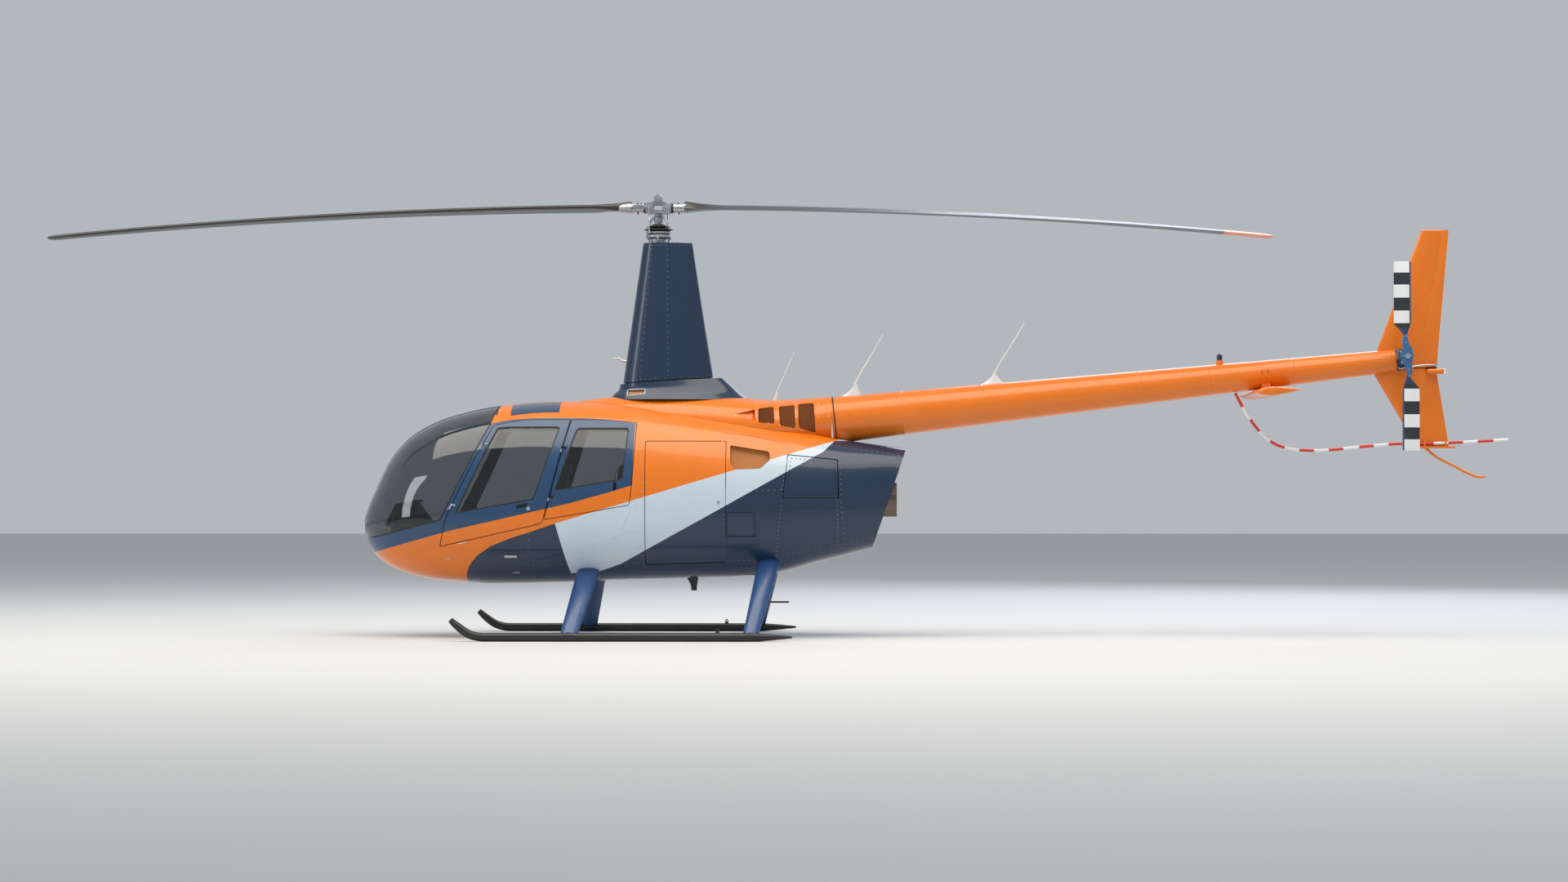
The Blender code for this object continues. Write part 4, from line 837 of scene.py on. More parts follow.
# %% Head materials
steel = finish("alloy_steel_bead_blasted", "#98A0A8", 0.42, (60.0, 0.32, 0.50, 0.10, 0.3), 1.0)
bright_steel = finish("stainless_steel_machined", "#C4C8CC", 0.22, (90.0, 0.16, 0.30, 0.0, 1.0, (1, 1, 6)), 1.0)
alloy = finish("aluminium_casting_shot_blasted", "#AEB4B8", 0.48, (140.0, 0.40, 0.58, 0.25, 0.4), 1.0)
rubber = finish("moulded_neoprene_rubber", "#1A1A1B", 0.62, (80.0, 0.52, 0.72, 0.08, 0.3))
blade_black, tree, shader = material("blade_polyurethane_satin_black", "#1B1C1E", 0.40, Coat_Weight=0.3,
    Coat_Roughness=0.25)
place, noise = uneven(tree, shader, 14.0, 0.34, 0.48)
parts = node(tree, "ShaderNodeSeparateXYZ", None, {"Vector": place.outputs["Object"]})
reach = node(tree, "ShaderNodeMath", {1: 3.66}, {0: parts.outputs["X"]}, operation="GREATER_THAN")
tint = node(tree, "ShaderNodeMix", {"A": linear("#1B1C1E"), "B": linear(ORANGE)}, {"Factor": reach.outputs[0]},
    data_type="RGBA")
tree.links.new(tint.outputs["Result"], shader.inputs["Base Color"])

# %% [markdown]
# Turned parts are a profile spun round the mast's line. A screw with its washer and nut is one small turned piece
# with six flats, built anew at each place.

# %% Turned pieces and bolts
MAST_X = -0.972


def turned(name, profile, centre=(MAST_X, 0), sides=48, axis="Z"):
    """Profile of (radius, height) rows as a closed body of revolution."""
    rings = [[(r * math.cos(a), r * math.sin(a), z) for a in np.linspace(0, 2 * math.pi, sides + 1)[:-1]] for r,
        z in profile]
    obj = shell(name, rings)
    if axis == "Y":
        obj.data.transform(Matrix.Rotation(math.radians(90), 4, "X"))
    elif axis == "X":
        obj.data.transform(Matrix.Rotation(math.radians(90), 4, "Y"))
    if axis == "Z":
        obj.data.transform(Matrix.Translation((centre[0], centre[1], 0)))
    else:
        obj.data.transform(Matrix.Translation(centre))
    return obj


def bolt(name, place, along, radius, sides=6):
    """Hexagon head on a washer, standing on a place and pointing along a direction."""
    washer = turned("washer", [(radius * 1.25, 0.0), (radius * 1.30, radius * 0.06), (radius * 1.25, radius * 0.22)],
        (0, 0), 24)
    head = turned("head", [(radius * 1.06, radius * 0.22), (radius * 1.06, radius * 0.80),
        (radius * 0.92, radius * 0.98)], (0, 0), sides)
    stub = turned("stub", [(radius * 0.52, radius * 0.9), (radius * 0.52, radius * 1.35),
        (radius * 0.44, radius * 1.45)], (0, 0), 16)
    obj = joined(name, [washer, head, stub])
    turn = Vector(along).to_track_quat("Z", "Y").to_matrix().to_4x4()
    obj.data.transform(Matrix.Translation(place) @ turn)
    return obj


def plate(name, outline, low, high, bevel=0.003, corner=0.0, holes=()):
    """Side outline drawn out along y, its corners rounded, holes cut, and every sharp edge broken."""
    obj = cutter(name, outline, low, high, corner)
    for hole in holes:
        boolean(obj, hole)
    if bevel:
        soften(obj, bevel)
    return obj

# %% [markdown]
# The hub plate is two cheeks with the coning hinges between them. Its outline comes from the photograph: a hexagon
# boss round the teeter bolt, a window in the middle, and round shoulders at the coning bolts.

# %% Hub
HUB_Z = 3.517
HUB_SIDE = [(-1.080, 3.492), (-1.062, 3.471), (-0.882, 3.471), (-0.864, 3.492), (-0.864, 3.542), (-0.885, 3.568),
    (-0.932, 3.572), (-0.938, 3.606), (-0.952, 3.6215), (-0.992, 3.6215), (-1.006, 3.606), (-1.012, 3.572),
    (-1.059, 3.568), (-1.080, 3.542)]
window = [(-1.008, 3.503), (-1.008, 3.543), (-0.936, 3.543), (-0.936, 3.503)]
cheeks = []
for low, high in ((-0.062, -0.040), (0.040, 0.062)):
    holes = [cutter("window", window, low - 0.01, high + 0.01, 0.010)]
    cheeks.append(plate("cheek", HUB_SIDE, low, high, 0.0035, 0.010, holes))
hub_parts = cheeks
hub_parts.append(plate("hub_core", [(-1.012, 3.474), (-0.932, 3.474), (-0.932, 3.500), (-1.012, 3.500)], -0.042,
    0.042, 0.002))
hub_parts.append(plate("hub_top", [(-0.998, 3.552), (-0.946, 3.552), (-0.948, 3.616), (-0.996, 3.616)], -0.042, 0.042,
    0.003))
hub_parts.append(turned("mast_shaft", [(0.0275, 3.16), (0.0275, 3.40), (0.0275, 3.472)]))
hub_parts.append(turned("mast_collar", [(0.034, 3.400), (0.036, 3.404), (0.036, 3.440), (0.030, 3.446)]))
hub_plate = joined("hub_plate_forging", hub_parts)
dress(hub_plate, steel, "main_rotor", ["rotor_hub"])
fasteners = []
for x, z, size in ((MAST_X, 3.596, 0.022), (-0.905, HUB_Z, 0.024), (-1.039, HUB_Z, 0.024)):
    for side in (-1, 1):
        boss = turned("boss", [(size * 1.30, 0.0), (size * 1.36, 0.002), (size * 1.30, 0.007)],
            (x, side * 0.0620 if side > 0 else -0.0620, z), 32, "Y")
        if side > 0:
            boss.data.transform(Matrix.Translation((0, 0.007, 0)))
        fasteners.append(boss)
        fasteners.append(bolt("nut", (x, side * 0.0690, z), (0, side, 0), size * 0.72))
dress(joined("hub_bolts", fasteners), bright_steel, "main_rotor")

# %% [markdown]
# Each blade grip is a forked root with its spindle housing: a ribbed barrel with rubber ends, bolts above and below,
# and a fairing where the blade's skin begins. A pitch horn reaches forward to its link.

# %% Grips, horns and links
grips, barrels, boots, links = [], [], [], []
for s in (-1, 1):
    def along(*radii):
        return [(MAST_X + s * r, 0.0, HUB_Z) for r in radii]

    a, b = along(0.100, 0.128)
    barrels.append(round_bar("spindle", a, b, 0.030, sides=32))
    profile = [(0.036, 0.0), (0.041, 0.004), (0.041, 0.018), (0.034, 0.024), (0.034, 0.032), (0.041, 0.038),
        (0.041, 0.054), (0.034, 0.060), (0.034, 0.066), (0.041, 0.072), (0.041, 0.086), (0.036, 0.092)]
    barrel = turned("barrel", profile, (MAST_X + s * 0.122 if s > 0 else MAST_X - 0.122 - 0.092, 0, HUB_Z), 40, "X")
    barrels.append(barrel)
    for y in (-0.030, 0.030):
        grips.append(bolt("root_bolt", (MAST_X + s * 0.170, y * 0.6, 3.556), (0, 0, 1), 0.0085))
        grips.append(bolt("root_nut", (MAST_X + s * 0.170, y * 0.6, 3.478), (0, 0, -1), 0.0085))
        grips.append(bolt("root_bolt", (MAST_X + s * 0.144, y * 0.6, 3.556), (0, 0, 1), 0.0075))
    boot = turned("boot", [(0.026, 0.0), (0.039, 0.002), (0.044, 0.008), (0.044, 0.014), (0.037, 0.020)],
        (MAST_X + s * 0.100 if s > 0 else MAST_X - 0.120, 0, HUB_Z), 36, "X")
    boots.append(boot)
    x = MAST_X + s * 0.070
    y = s * 0.104
    links.append(turned("link_rod", [(0.0045, 3.330), (0.0055, 3.345), (0.0055, 3.400), (0.0085, 3.404),
        (0.0085, 3.418), (0.0055, 3.422), (0.0055, 3.490), (0.0045, 3.510)], (x, y), 20))
    for z in (3.318, 3.522):
        ball = turned("rod_end", [(0.004, -0.008), (0.012, -0.006), (0.0145, 0.0), (0.012, 0.006), (0.004, 0.008)],
            (x, y, z), 24, "Y")
        links.append(ball)
        links.append(bolt("end_bolt", (x, y + (-0.008 if s < 0 else 0.008), z), (0, s, 0), 0.0055))
    horn = plate("pitch_horn", [(MAST_X + s * 0.058, 3.512), (MAST_X + s * 0.084, 3.508), (MAST_X + s * 0.205, 3.496),
        (MAST_X + s * 0.205, 3.540), (MAST_X + s * 0.150, 3.545), (MAST_X + s * 0.084, 3.534),
        (MAST_X + s * 0.058, 3.532)][::s], min(s * 0.040, s * 0.094), max(s * 0.040, s * 0.094), 0.004, 0.006)
    for vert in horn.data.vertices:
        if abs(vert.co.x - MAST_X) < 0.11 and abs(vert.co.y) < 0.06:
            vert.co.y = s * 0.078
    grips.append(horn)
dress(joined("spindle_housings", barrels), bright_steel, "main_rotor")
dress(joined("grip_fittings", grips), steel, "main_rotor")
dress(joined("spindle_boots", boots), rubber, "main_rotor", angle=40)
dress(joined("pitch_links", links), bright_steel, "main_rotor", angle=40)

# %% [markdown]
# The swashplate's lower ring stands still and its upper ring turns. Two black rubber discs above it keep dust from
# its ball.

# %% Swashplate and boots
turning = [turned("upper_ring", [(0.052, 3.302), (0.098, 3.304), (0.104, 3.308), (0.104, 3.320), (0.096, 3.326),
    (0.052, 3.327)], sides=64)]
for s in (-1, 1):
    arm = plate("ring_arm", [(MAST_X + s * 0.070 - 0.016, 3.305), (MAST_X + s * 0.070 + 0.016, 3.305),
        (MAST_X + s * 0.070 + 0.012, 3.324), (MAST_X + s * 0.070 - 0.012, 3.324)], min(s * 0.070, s * 0.096),
        max(s * 0.070, s * 0.096), 0.003)
    turning.append(arm)
    turning.append(round_bar("scissor_a", (MAST_X - s * 0.060, s * 0.050, 3.330), (MAST_X - s * 0.078, s * 0.052,
        3.400), 0.0075, sides=16))
    turning.append(round_bar("scissor_b", (MAST_X - s * 0.078, s * 0.052, 3.400), (MAST_X - s * 0.021, s * 0.016,
        3.464), 0.0075, sides=16))
dress(joined("swashplate_turning_ring", turning), alloy, "main_rotor")
discs = [turned("boot_low", [(0.034, 3.329), (0.090, 3.331), (0.117, 3.337), (0.118, 3.3395), (0.117, 3.342),
    (0.090, 3.349), (0.034, 3.352)], sides=64), turned("boot_high", [(0.034, 3.353), (0.070, 3.355), (0.094, 3.360),
    (0.096, 3.362), (0.094, 3.364), (0.065, 3.372), (0.045, 3.384), (0.034, 3.386)], sides=64)]
dress(joined("swashplate_dust_boots", discs), rubber, "main_rotor", angle=40)
fixed = [turned("fixed_ring", [(0.062, 3.2280), (0.064, 3.262), (0.098, 3.270), (0.104, 3.275), (0.104, 3.292),
    (0.098, 3.297), (0.060, 3.298)], sides=64)]
boolean(fixed[0], round_bar("bore", (MAST_X, 0, 3.1), (MAST_X, 0, 3.5), 0.0300, sides=32))
for angle in (25, 150, 270):
    a = math.radians(angle)
    x, y = MAST_X + 0.098 * math.cos(a), 0.098 * math.sin(a)
    fixed.append(round_bar("push_rod", (MAST_X + 0.075 * math.cos(a), 0.075 * math.sin(a), 3.208), (x, y, 3.272),
        0.0065, sides=16))
    fixed.append(turned("fork", [(0.006, 3.262), (0.013, 3.266), (0.015, 3.276), (0.012, 3.288), (0.006, 3.291)],
        (x, y), 20))
dress(joined("swashplate_fixed_ring", fixed), alloy, replaces=["swashplate_lower"])

# %% [markdown]
# ## Main blades
#
# Each blade is a bonded sheet skin on a steel spar, a cambered section 0.26 m in chord with a little twist. It droops
# under its weight when still. The root is thicker, where bonded doublers lie round the grip.

# %% Blades
FOIL = np.array([(1.0, 0.0), (0.88, 0.155), (0.75, 0.30), (0.60, 0.46), (0.45, 0.60), (0.30, 0.675), (0.18, 0.66),
    (0.10, 0.57), (0.05, 0.44), (0.02, 0.29), (0.005, 0.14), (0.0, 0.0), (0.005, -0.12), (0.02, -0.24), (0.05, -0.34),
    (0.10, -0.42), (0.18, -0.47), (0.30, -0.48), (0.45, -0.43), (0.60, -0.34), (0.75, -0.22), (0.88, -0.11)])
BLADE = np.array([(0.214, 0.085, 0.075), (0.226, 0.098, 0.078), (0.260, 0.110, 0.074), (0.300, 0.125, 0.064),
    (0.420, 0.200, 0.046), (0.560, 0.260, 0.034), (1.500, 0.260, 0.034), (4.850, 0.260, 0.032), (4.990, 0.256, 0.028),
    (5.030, 0.228, 0.016)])
BLADE_SLOPES = tangents(BLADE[:, 0], BLADE[:, 1:])


def main_blade(name, direction):
    radii = np.concatenate([np.linspace(0.214, 0.62, 22), np.linspace(0.75, 4.80, 36), np.linspace(4.86, 5.03, 8)])
    rings = []
    for radius in radii:
        chord, thick = between(BLADE[:, 0], BLADE[:, 1:], BLADE_SLOPES, radius)
        z = 3.52 - 0.245 * (radius / 5.03) ** 2
        pitch = math.radians(8.0 - 7.0 * radius / 5.03)
        across, rise = (0.30 - FOIL[:, 0]) * chord, FOIL[:, 1] * thick
        y = across * math.cos(pitch) - rise * math.sin(pitch)
        up = across * math.sin(pitch) + rise * math.cos(pitch)
        rings.append(np.stack([np.full(len(y), MAST_X + direction * radius), direction * y, z + up], axis=1))
    return shell(name, rings)


for name, node_name, direction in (("blade_front_skin", "main_blade_front", -1), ("blade_rear_skin",
        "main_blade_rear", 1)):
    blade = main_blade(name, direction)
    dress(blade, blade_black, "main_rotor", [node_name])
    doubler = shell("root_doubler", [[(MAST_X + direction * r, direction * w * math.cos(a), 3.519
        - 0.245 * (r / 5.03) ** 2 + h * math.sin(a)) for a in np.linspace(0, 2 * math.pi, 33)[:-1]] for r, w,
        h in ((0.208, 0.040, 0.034), (0.216, 0.048, 0.041), (0.236, 0.051, 0.042), (0.290, 0.049, 0.036),
        (0.330, 0.040, 0.029), (0.352, 0.024, 0.022))])
    doubler.name = "blade_root_cuff_front" if direction < 0 else "blade_root_cuff_rear"
    dress(doubler, alloy, "main_rotor", angle=40)

# %% [markdown]
# ## Tail boom
#
# The boom is a rolled and riveted aluminium cone. Its bays meet at ring frames, where one skin laps the next and a
# ring of rivets shows. Each boom piece sits on the same line from the cowling to the tail gearbox.

# %% Boom
BOOM_A, BOOM_B = Vector((0.4525, 0.0, 1.7704)), Vector((5.0635, 0.0, 2.2584))
BOOM_DIR = (BOOM_B - BOOM_A).normalized()
BOOM_UP = Vector((-BOOM_DIR.z, 0, BOOM_DIR.x))


def boom_centre(x):
    t = (x - BOOM_A.x) / (BOOM_B.x - BOOM_A.x)
    return BOOM_A + (BOOM_B - BOOM_A) * t, 0.191 - 0.099 * t


def boom_point(x, degrees, lift=0.0):
    """Point and outward direction on the boom, at an angle up from the left side."""
    centre, radius = boom_centre(x)
    a = math.radians(degrees)
    out = Vector((0, -math.cos(a), 0)) + BOOM_UP * math.sin(a)
    return centre + out * (radius + lift), out


def boom_ring(x, lift, count=64):
    return [tuple(boom_point(x, 360 * k / count, lift)[0]) for k in range(count)]


stations = list(np.linspace(BOOM_A.x, BOOM_B.x, 24))
boom = shell("boom_skin", [boom_ring(x, 0.0) for x in stations] + [boom_ring(x, -0.005) for x in stations[::-1]]
    + [boom_ring(stations[0], 0.0)], False, False)
dress(boom, orange_paint, replaces=["tail_boom"])

# %% [markdown]
# ## Rivets and lapped seams
#
# Rivets are driven flush or with a low dome. A dome of 3 mm radius catches one speck of light, which is what the
# photograph shows along each frame. The heads on the boom, the body, its baggage door and the mast fairing are given
# bright bare alloy instead of the paint that covers them: a painted highlight that makes them show as pale specks.
# One rivet is turned and its mesh repeated at every place. A seam is a thin strip that stands 0.4 mm proud, as the
# edge of a lapped sheet does.

# %% Rivet rows and seam strips
def rivets(name, places, radius=0.0028, height=0.0012, sides=8):
    """One mesh with a low dome at every (point, outward direction)."""
    rings = [(radius, -0.0008), (radius * 0.96, height * 0.45), (radius * 0.55, height)]
    shape = [(r * math.cos(2 * math.pi * k / sides), r * math.sin(2 * math.pi * k / sides), h) for r, h in rings
        for k in range(sides)]
    shape = np.array(shape)
    faces = [[i * sides + k, i * sides + (k + 1) % sides, (i + 1) * sides + (k + 1) % sides, (i + 1) * sides + k]
        for i in range(2) for k in range(sides)]
    faces += [list(range(sides))[::-1], [2 * sides + k for k in range(sides)]]
    verts, polys = [], []
    for n, (point, normal) in enumerate(places):
        turn = np.array(Vector(normal).to_track_quat("Z", "Y").to_matrix())
        verts.append(shape @ turn.T + np.array(point))
        polys += [[v + n * len(shape) for v in face] for face in faces]
    mesh = bpy.data.meshes.new(name)
    mesh.from_pydata(np.vstack(verts).tolist(), [], polys)
    obj = bpy.data.objects.new(name, mesh)
    bpy.context.scene.collection.objects.link(obj)
    return obj


def ribbon(name, path, width, high, low=-0.0015, closed=False):
    """Thin strip along (point, outward direction) places."""
    rings = []
    count = len(path)
    for i, (point, normal) in enumerate(path):
        ahead = path[(i + 1) % count if closed else min(i + 1, count - 1)][0]
        behind = path[i - 1 if closed else max(i - 1, 0)][0]
        side = (Vector(ahead) - Vector(behind)).cross(normal).normalized() * (width / 2)
        rings.append([tuple(point + side + normal * low), tuple(point + side * 0.8 + normal * high),
            tuple(point - side * 0.8 + normal * high), tuple(point - side + normal * low)])
    if closed:
        rings.append(rings[0])
    return shell(name, rings, not closed, not closed)


def spaced(points, pitch):
    """Points along a broken line in the side view at about even spacing, ends included."""
    points = [Vector(p) for p in points]
    lengths = [0.0]
    for a, b in zip(points, points[1:]):
        lengths.append(lengths[-1] + (b - a).length)
    count = max(1, round(lengths[-1] / pitch))
    made = []
    for i in range(count + 1):
        s = lengths[-1] * i / count
        k = max(j for j in range(len(points) - 1) if lengths[j] <= s + 1e-9)
        t = (s - lengths[k]) / max(1e-9, lengths[k + 1] - lengths[k])
        made.append(points[k].lerp(points[k + 1], t))
    return made


seam_grey = finish("seam_sealant_dark", "#1C1D20", 0.6, (80.0, 0.5, 0.7))
laps, ring_rivets = [], []
for x in (1.032, 1.689, 2.976, 3.532, 4.222):
    laps.append(ribbon("boom_lap", [boom_point(x, a, 0.0) for a in range(0, 360, 6)], 0.030, 0.0006, closed=True))
    for a in np.arange(0, 360, 360 / round(2 * math.pi * boom_centre(x)[1] / 0.028)):
        ring_rivets.append(boom_point(x - 0.006, a, 0.0004))
for a in (-38, 142, 218):
    for x in np.arange(0.56, 4.98, 0.045):
        ring_rivets.append(boom_point(x, a, 0.0))
for x in (4.985, 5.010):
    for a in np.arange(0, 360, 15):
        ring_rivets.append(boom_point(x, a, 0.0))
dress(joined("boom_lap_joints", laps), orange_paint)
# Bright bare alloy on the heads, not the orange paint over them: painted highlight.
dress(rivets("boom_rivets", ring_rivets), alloy, angle=50)
collar = shell("boom_collar", [boom_ring(0.472, 0.0003), boom_ring(0.472, 0.0060), boom_ring(0.481, 0.0060),
    boom_ring(0.481, 0.0003), boom_ring(0.472, 0.0003)], False, False)
dress(collar, seam_grey)

# %% [markdown]
# ## Tubes
#
# The guard, the tail skid, the skids, the rods and the whips are bent tubes: a ring carried along a smooth path.

# %% Bent tube
def smooth_path(points, step):
    """Points and radii of a table, taken evenly along a curve through them."""
    table = np.array(points, dtype=float)
    run = np.concatenate([[0], np.cumsum(np.linalg.norm(np.diff(table[:, :3], axis=0), axis=1))])
    slope = tangents(run, table)
    return [between(run, table, slope, s) for s in np.linspace(0, run[-1], max(2, round(run[-1] / step))
        + 1)], run[-1]


def tube(name, points, sides=20, step=0.012):
    path, length = smooth_path(points, step)
    rings, side = [], None
    for i, row in enumerate(path):
        ahead, behind = path[min(i + 1, len(path) - 1)], path[max(i - 1, 0)]
        along = Vector(ahead[:3] - behind[:3]).normalized()
        if side is None:
            side = along.cross(Vector((0, 0, 1)) if abs(along.z) < 0.9 else Vector((1, 0, 0)))
        side = (side - along * side.dot(along)).normalized()
        up = along.cross(side)
        rings.append([tuple(Vector(row[:3]) + (side * math.cos(a) + up * math.sin(a)) * row[3])
            for a in np.linspace(0, 2 * math.pi, sides + 1)[:-1]])
    return shell(name, rings)

# %% [markdown]
# ## Fins
#
# Both fins are thin riveted aerofoils, painted like the boom. Two lines of rivets run up the upper fin at its ribs'
# caps and one down the lower. The lower fin stands on a flat end plate.

# %% Fins
FIN_SECTION = [(0.0, 0.0), (0.012, 0.26), (0.04, 0.46), (0.08, 0.62), (0.16, 0.82), (0.30, 0.98), (0.45, 0.98),
    (0.70, 0.72), (0.88, 0.40), (1.0, 0.12)]


def fin_ring(z, front, rear, half):
    ring = [(front + (rear - front) * u, -half * v, z) for u, v in FIN_SECTION]
    return ring + [(front + (rear - front) * u, half * v, z) for u, v in FIN_SECTION[:0:-1]]


boom_gap = shell("boom_gap", [boom_ring(x, 0.0006) for x in np.linspace(4.2, 5.075, 12)]
    + [[(x, -r * math.cos(a), 2.2605 + 0.106 * (x - 5.085) + r * math.sin(a)) for a in np.linspace(0, 2 * math.pi,
    65)[:-1]] for x, r in ((5.085, 0.0905), (5.2035, 0.0820))])
upper = shell("upper_fin_skin", [fin_ring(2.203, 4.8675, 5.4066, 0.022), fin_ring(2.352, 4.922, 5.417, 0.022),
    fin_ring(3.322, 5.281, 5.505, 0.022), fin_ring(3.330, 5.286, 5.503, 0.015)])
boolean(upper, boom_gap, keep=True)
dress(upper, orange_paint, replaces=["fin_upper"], angle=25)
lower = shell("lower_fin_skin", [fin_ring(1.5585, 5.2375, 5.5018, 0.022), fin_ring(2.149, 4.891, 5.4065, 0.022),
    fin_ring(2.194, 4.865, 5.403, 0.022)])
boolean(lower, boom_gap)
end_plate = plate("end_plate", [(5.250, 1.540), (5.545, 1.540), (5.545, 1.5584), (5.250, 1.5584)], -0.055, 0.055,
    0.003)
dress(joined("lower_fin_skin", [lower, end_plate]), orange_paint, replaces=["fin_lower"],
    angle=25)


root = plate("fin_root", [(5.075, 2.172), (5.215, 2.187), (5.215, 2.362), (5.075, 2.347)], -0.012, 0.012, 0.002)
dress(root, orange_paint, angle=25)
seal = plate("fin_joint_seal", [(5.210, 2.186), (5.404, 2.189), (5.405, 2.209), (5.210, 2.206)], -0.011, 0.011, 0.002)
dress(seal, rubber, angle=25)


def fin_y(share, half=0.022):
    us, vs = [p[0] for p in FIN_SECTION], [p[1] for p in FIN_SECTION]
    return half * float(np.interp(share, us, vs))


fin_rivets = []
for side in (-1, 1):
    for share in (0.42, 0.72):
        for z in np.arange(2.24, 3.30, 0.060):
            front, rear = np.interp(z, (2.203, 3.33), (4.8675, 5.284)), np.interp(z, (2.203, 3.33), (5.4066, 5.506))
            fin_rivets.append((Vector((front + (rear - front) * share, side * fin_y(share), z)),
                Vector((0, side, 0))))
    for z in np.arange(1.60, 2.17, 0.055):
        front, rear = np.interp(z, (1.556, 2.194), (5.239, 4.865)), np.interp(z, (1.556, 2.194), (5.502, 5.403))
        fin_rivets.append((Vector((front + (rear - front) * 0.60, side * fin_y(0.60), z)), Vector((0, side, 0))))
dress(rivets("fin_rivets", fin_rivets), seam_grey, angle=50)

# %% [markdown]
# ## Tail gearbox
#
# The gearbox is a cast case bolted to the boom's last frame, with a long neck out to the rotor. A pitch slider rides
# on the shaft, worked by a bell crank, and a bracing rod runs back to the fin.

# %% Gearbox
blue_metal = finish("aluminium_anodised_blue", "#2C6194", 0.36, (60.0, 0.28, 0.44), Coat_Weight=0.5,
    Coat_Roughness=0.2)
dark_blue_metal = finish("cast_magnesium_painted_navy", "#1C3E60", 0.42, (120.0, 0.34, 0.54, 0.2, 0.5),
    Coat_Weight=0.4, Coat_Roughness=0.2)
case = [shell("case", [[tuple(boom_centre(x)[0] + (BOOM_UP * math.sin(a) + Vector((0, -math.cos(a), 0))) * r)
    for a in np.linspace(0, 2 * math.pi, 49)[:-1]] for x, r in ((5.0642, 0.080), (5.070, 0.085), (5.080, 0.085),
    (5.084, 0.066), (5.095, 0.062), (5.150, 0.064), (5.165, 0.058), (5.185, 0.036), (5.190, 0.020))])]
neck = turned("neck", [(0.052, 0.020), (0.052, 0.060), (0.060, 0.064), (0.060, 0.076), (0.044, 0.082), (0.040, 0.120),
    (0.036, 0.180), (0.040, 0.184), (0.040, 0.196), (0.030, 0.204), (0.026, 0.2845)], (5.113, 0, 2.285), 48, "Y")
case.append(neck)
for k in range(8):
    a = math.radians(45 * k)
    centre = boom_centre(5.084)[0]
    out = Vector((0, -math.cos(a), 0)) + BOOM_UP * math.sin(a)
    case.append(bolt("case_bolt", tuple(centre + out * 0.075), BOOM_DIR, 0.006))
for x, y, z, r in ((5.140, -0.030, 2.335, 0.014), (5.110, -0.030, 2.222, 0.016)):
    case.append(turned("plug", [(r, 0.0), (r, 0.012), (r * 0.7, 0.014), (r * 0.7, 0.024), (r * 0.5, 0.026)],
        (x, y, z), 20, "Y"))
gear_case = joined("tail_gearbox_case", case)
dress(gear_case, dark_blue_metal, replaces=["tail_gearbox"])
crank = [plate("bell_crank", [(5.052, 2.330), (5.068, 2.352), (5.083, 2.330), (5.079, 2.262), (5.060, 2.262)], -0.160,
    -0.148, 0.002, 0.004), round_bar("crank_pivot", (5.066, -0.060, 2.275), (5.066, -0.170, 2.275), 0.008, sides=20),
    tube("crank_link", [(5.068, -0.154, 2.335, 0.0045), (5.075, -0.190, 2.330, 0.0045),
    (5.090, -0.215, 2.315, 0.0045)], 12)]
dress(joined("pitch_bell_crank", crank), steel)
brace = [tube("brace_rod", [(5.075, -0.052, 2.222, 0.0065), (5.095, -0.055, 2.195, 0.0065),
    (5.160, -0.045, 2.203, 0.0065), (5.300, -0.034, 2.222, 0.0065), (5.392, -0.030, 2.224, 0.0055)], 16)]
for x, z, y in ((5.075, 2.222, -0.060), (5.392, 2.224, -0.038)):
    brace.append(turned("rod_end", [(0.005, 0.0), (0.013, 0.002), (0.014, 0.008), (0.013, 0.014), (0.005, 0.016)],
        (x, y + 0.016, z), 20, "Y"))
dress(joined("tail_brace_rod", brace), bright_steel, angle=40)

# %% [markdown]
# ## Tail rotor
#
# Two blades on a teetering hub plate, on the left side. White and black bars across each blade make the spinning disc
# easy to see. The bars are masked across the chord and stop short of the leading edge, which stays bare.

# %% Tail rotor
TAIL_X, TAIL_Z = 5.113, 2.285


def barred_paint(name, centre, sign):
    mat, tree, shader = material(name, "#20242A", 0.34, Coat_Weight=0.5, Coat_Roughness=0.12)
    place, noise = uneven(tree, shader, 25.0, 0.28, 0.40)
    parts = node(tree, "ShaderNodeSeparateXYZ", None, {"Vector": place.outputs["Object"]})
    far = node(tree, "ShaderNodeMath", {1: TAIL_Z}, {0: parts.outputs["Z"]}, operation="SUBTRACT")
    radius = node(tree, "ShaderNodeMath", None, {0: far.outputs[0]}, operation="ABSOLUTE")
    ramp = node(tree, "ShaderNodeValToRGB", None, {"Fac": radius.outputs[0]})
    ramp.color_ramp.interpolation = "CONSTANT"
    stops = [(0.0, "#1D3B5C"), (0.225, "#20242A"), (0.265, "#E4E8EA"), (0.366, "#20242A"), (0.470, "#E4E8EA"),
        (0.577, "#20242A"), (0.672, "#E4E8EA")]
    ramp.color_ramp.elements[0].color = linear(stops[0][1])
    ramp.color_ramp.elements[1].position, ramp.color_ramp.elements[1].color = stops[1][0], linear(stops[1][1])
    for position, code in stops[2:]:
        ramp.color_ramp.elements.new(position).color = linear(code)
    edge = node(tree, "ShaderNodeMath", {1: centre}, {0: parts.outputs["X"]}, operation="SUBTRACT")
    lead = node(tree, "ShaderNodeMath", {1: sign}, {0: edge.outputs[0]}, operation="MULTIPLY")
    bare = node(tree, "ShaderNodeMath", {1: 0.0555}, {0: lead.outputs[0]}, operation="GREATER_THAN")
    mix = node(tree, "ShaderNodeMix", {"B": linear("#274A70")}, {"Factor": bare.outputs[0],
        "A": ramp.outputs["Color"]}, data_type="RGBA")
    tree.links.new(mix.outputs["Result"], shader.inputs["Base Color"])
    return mat


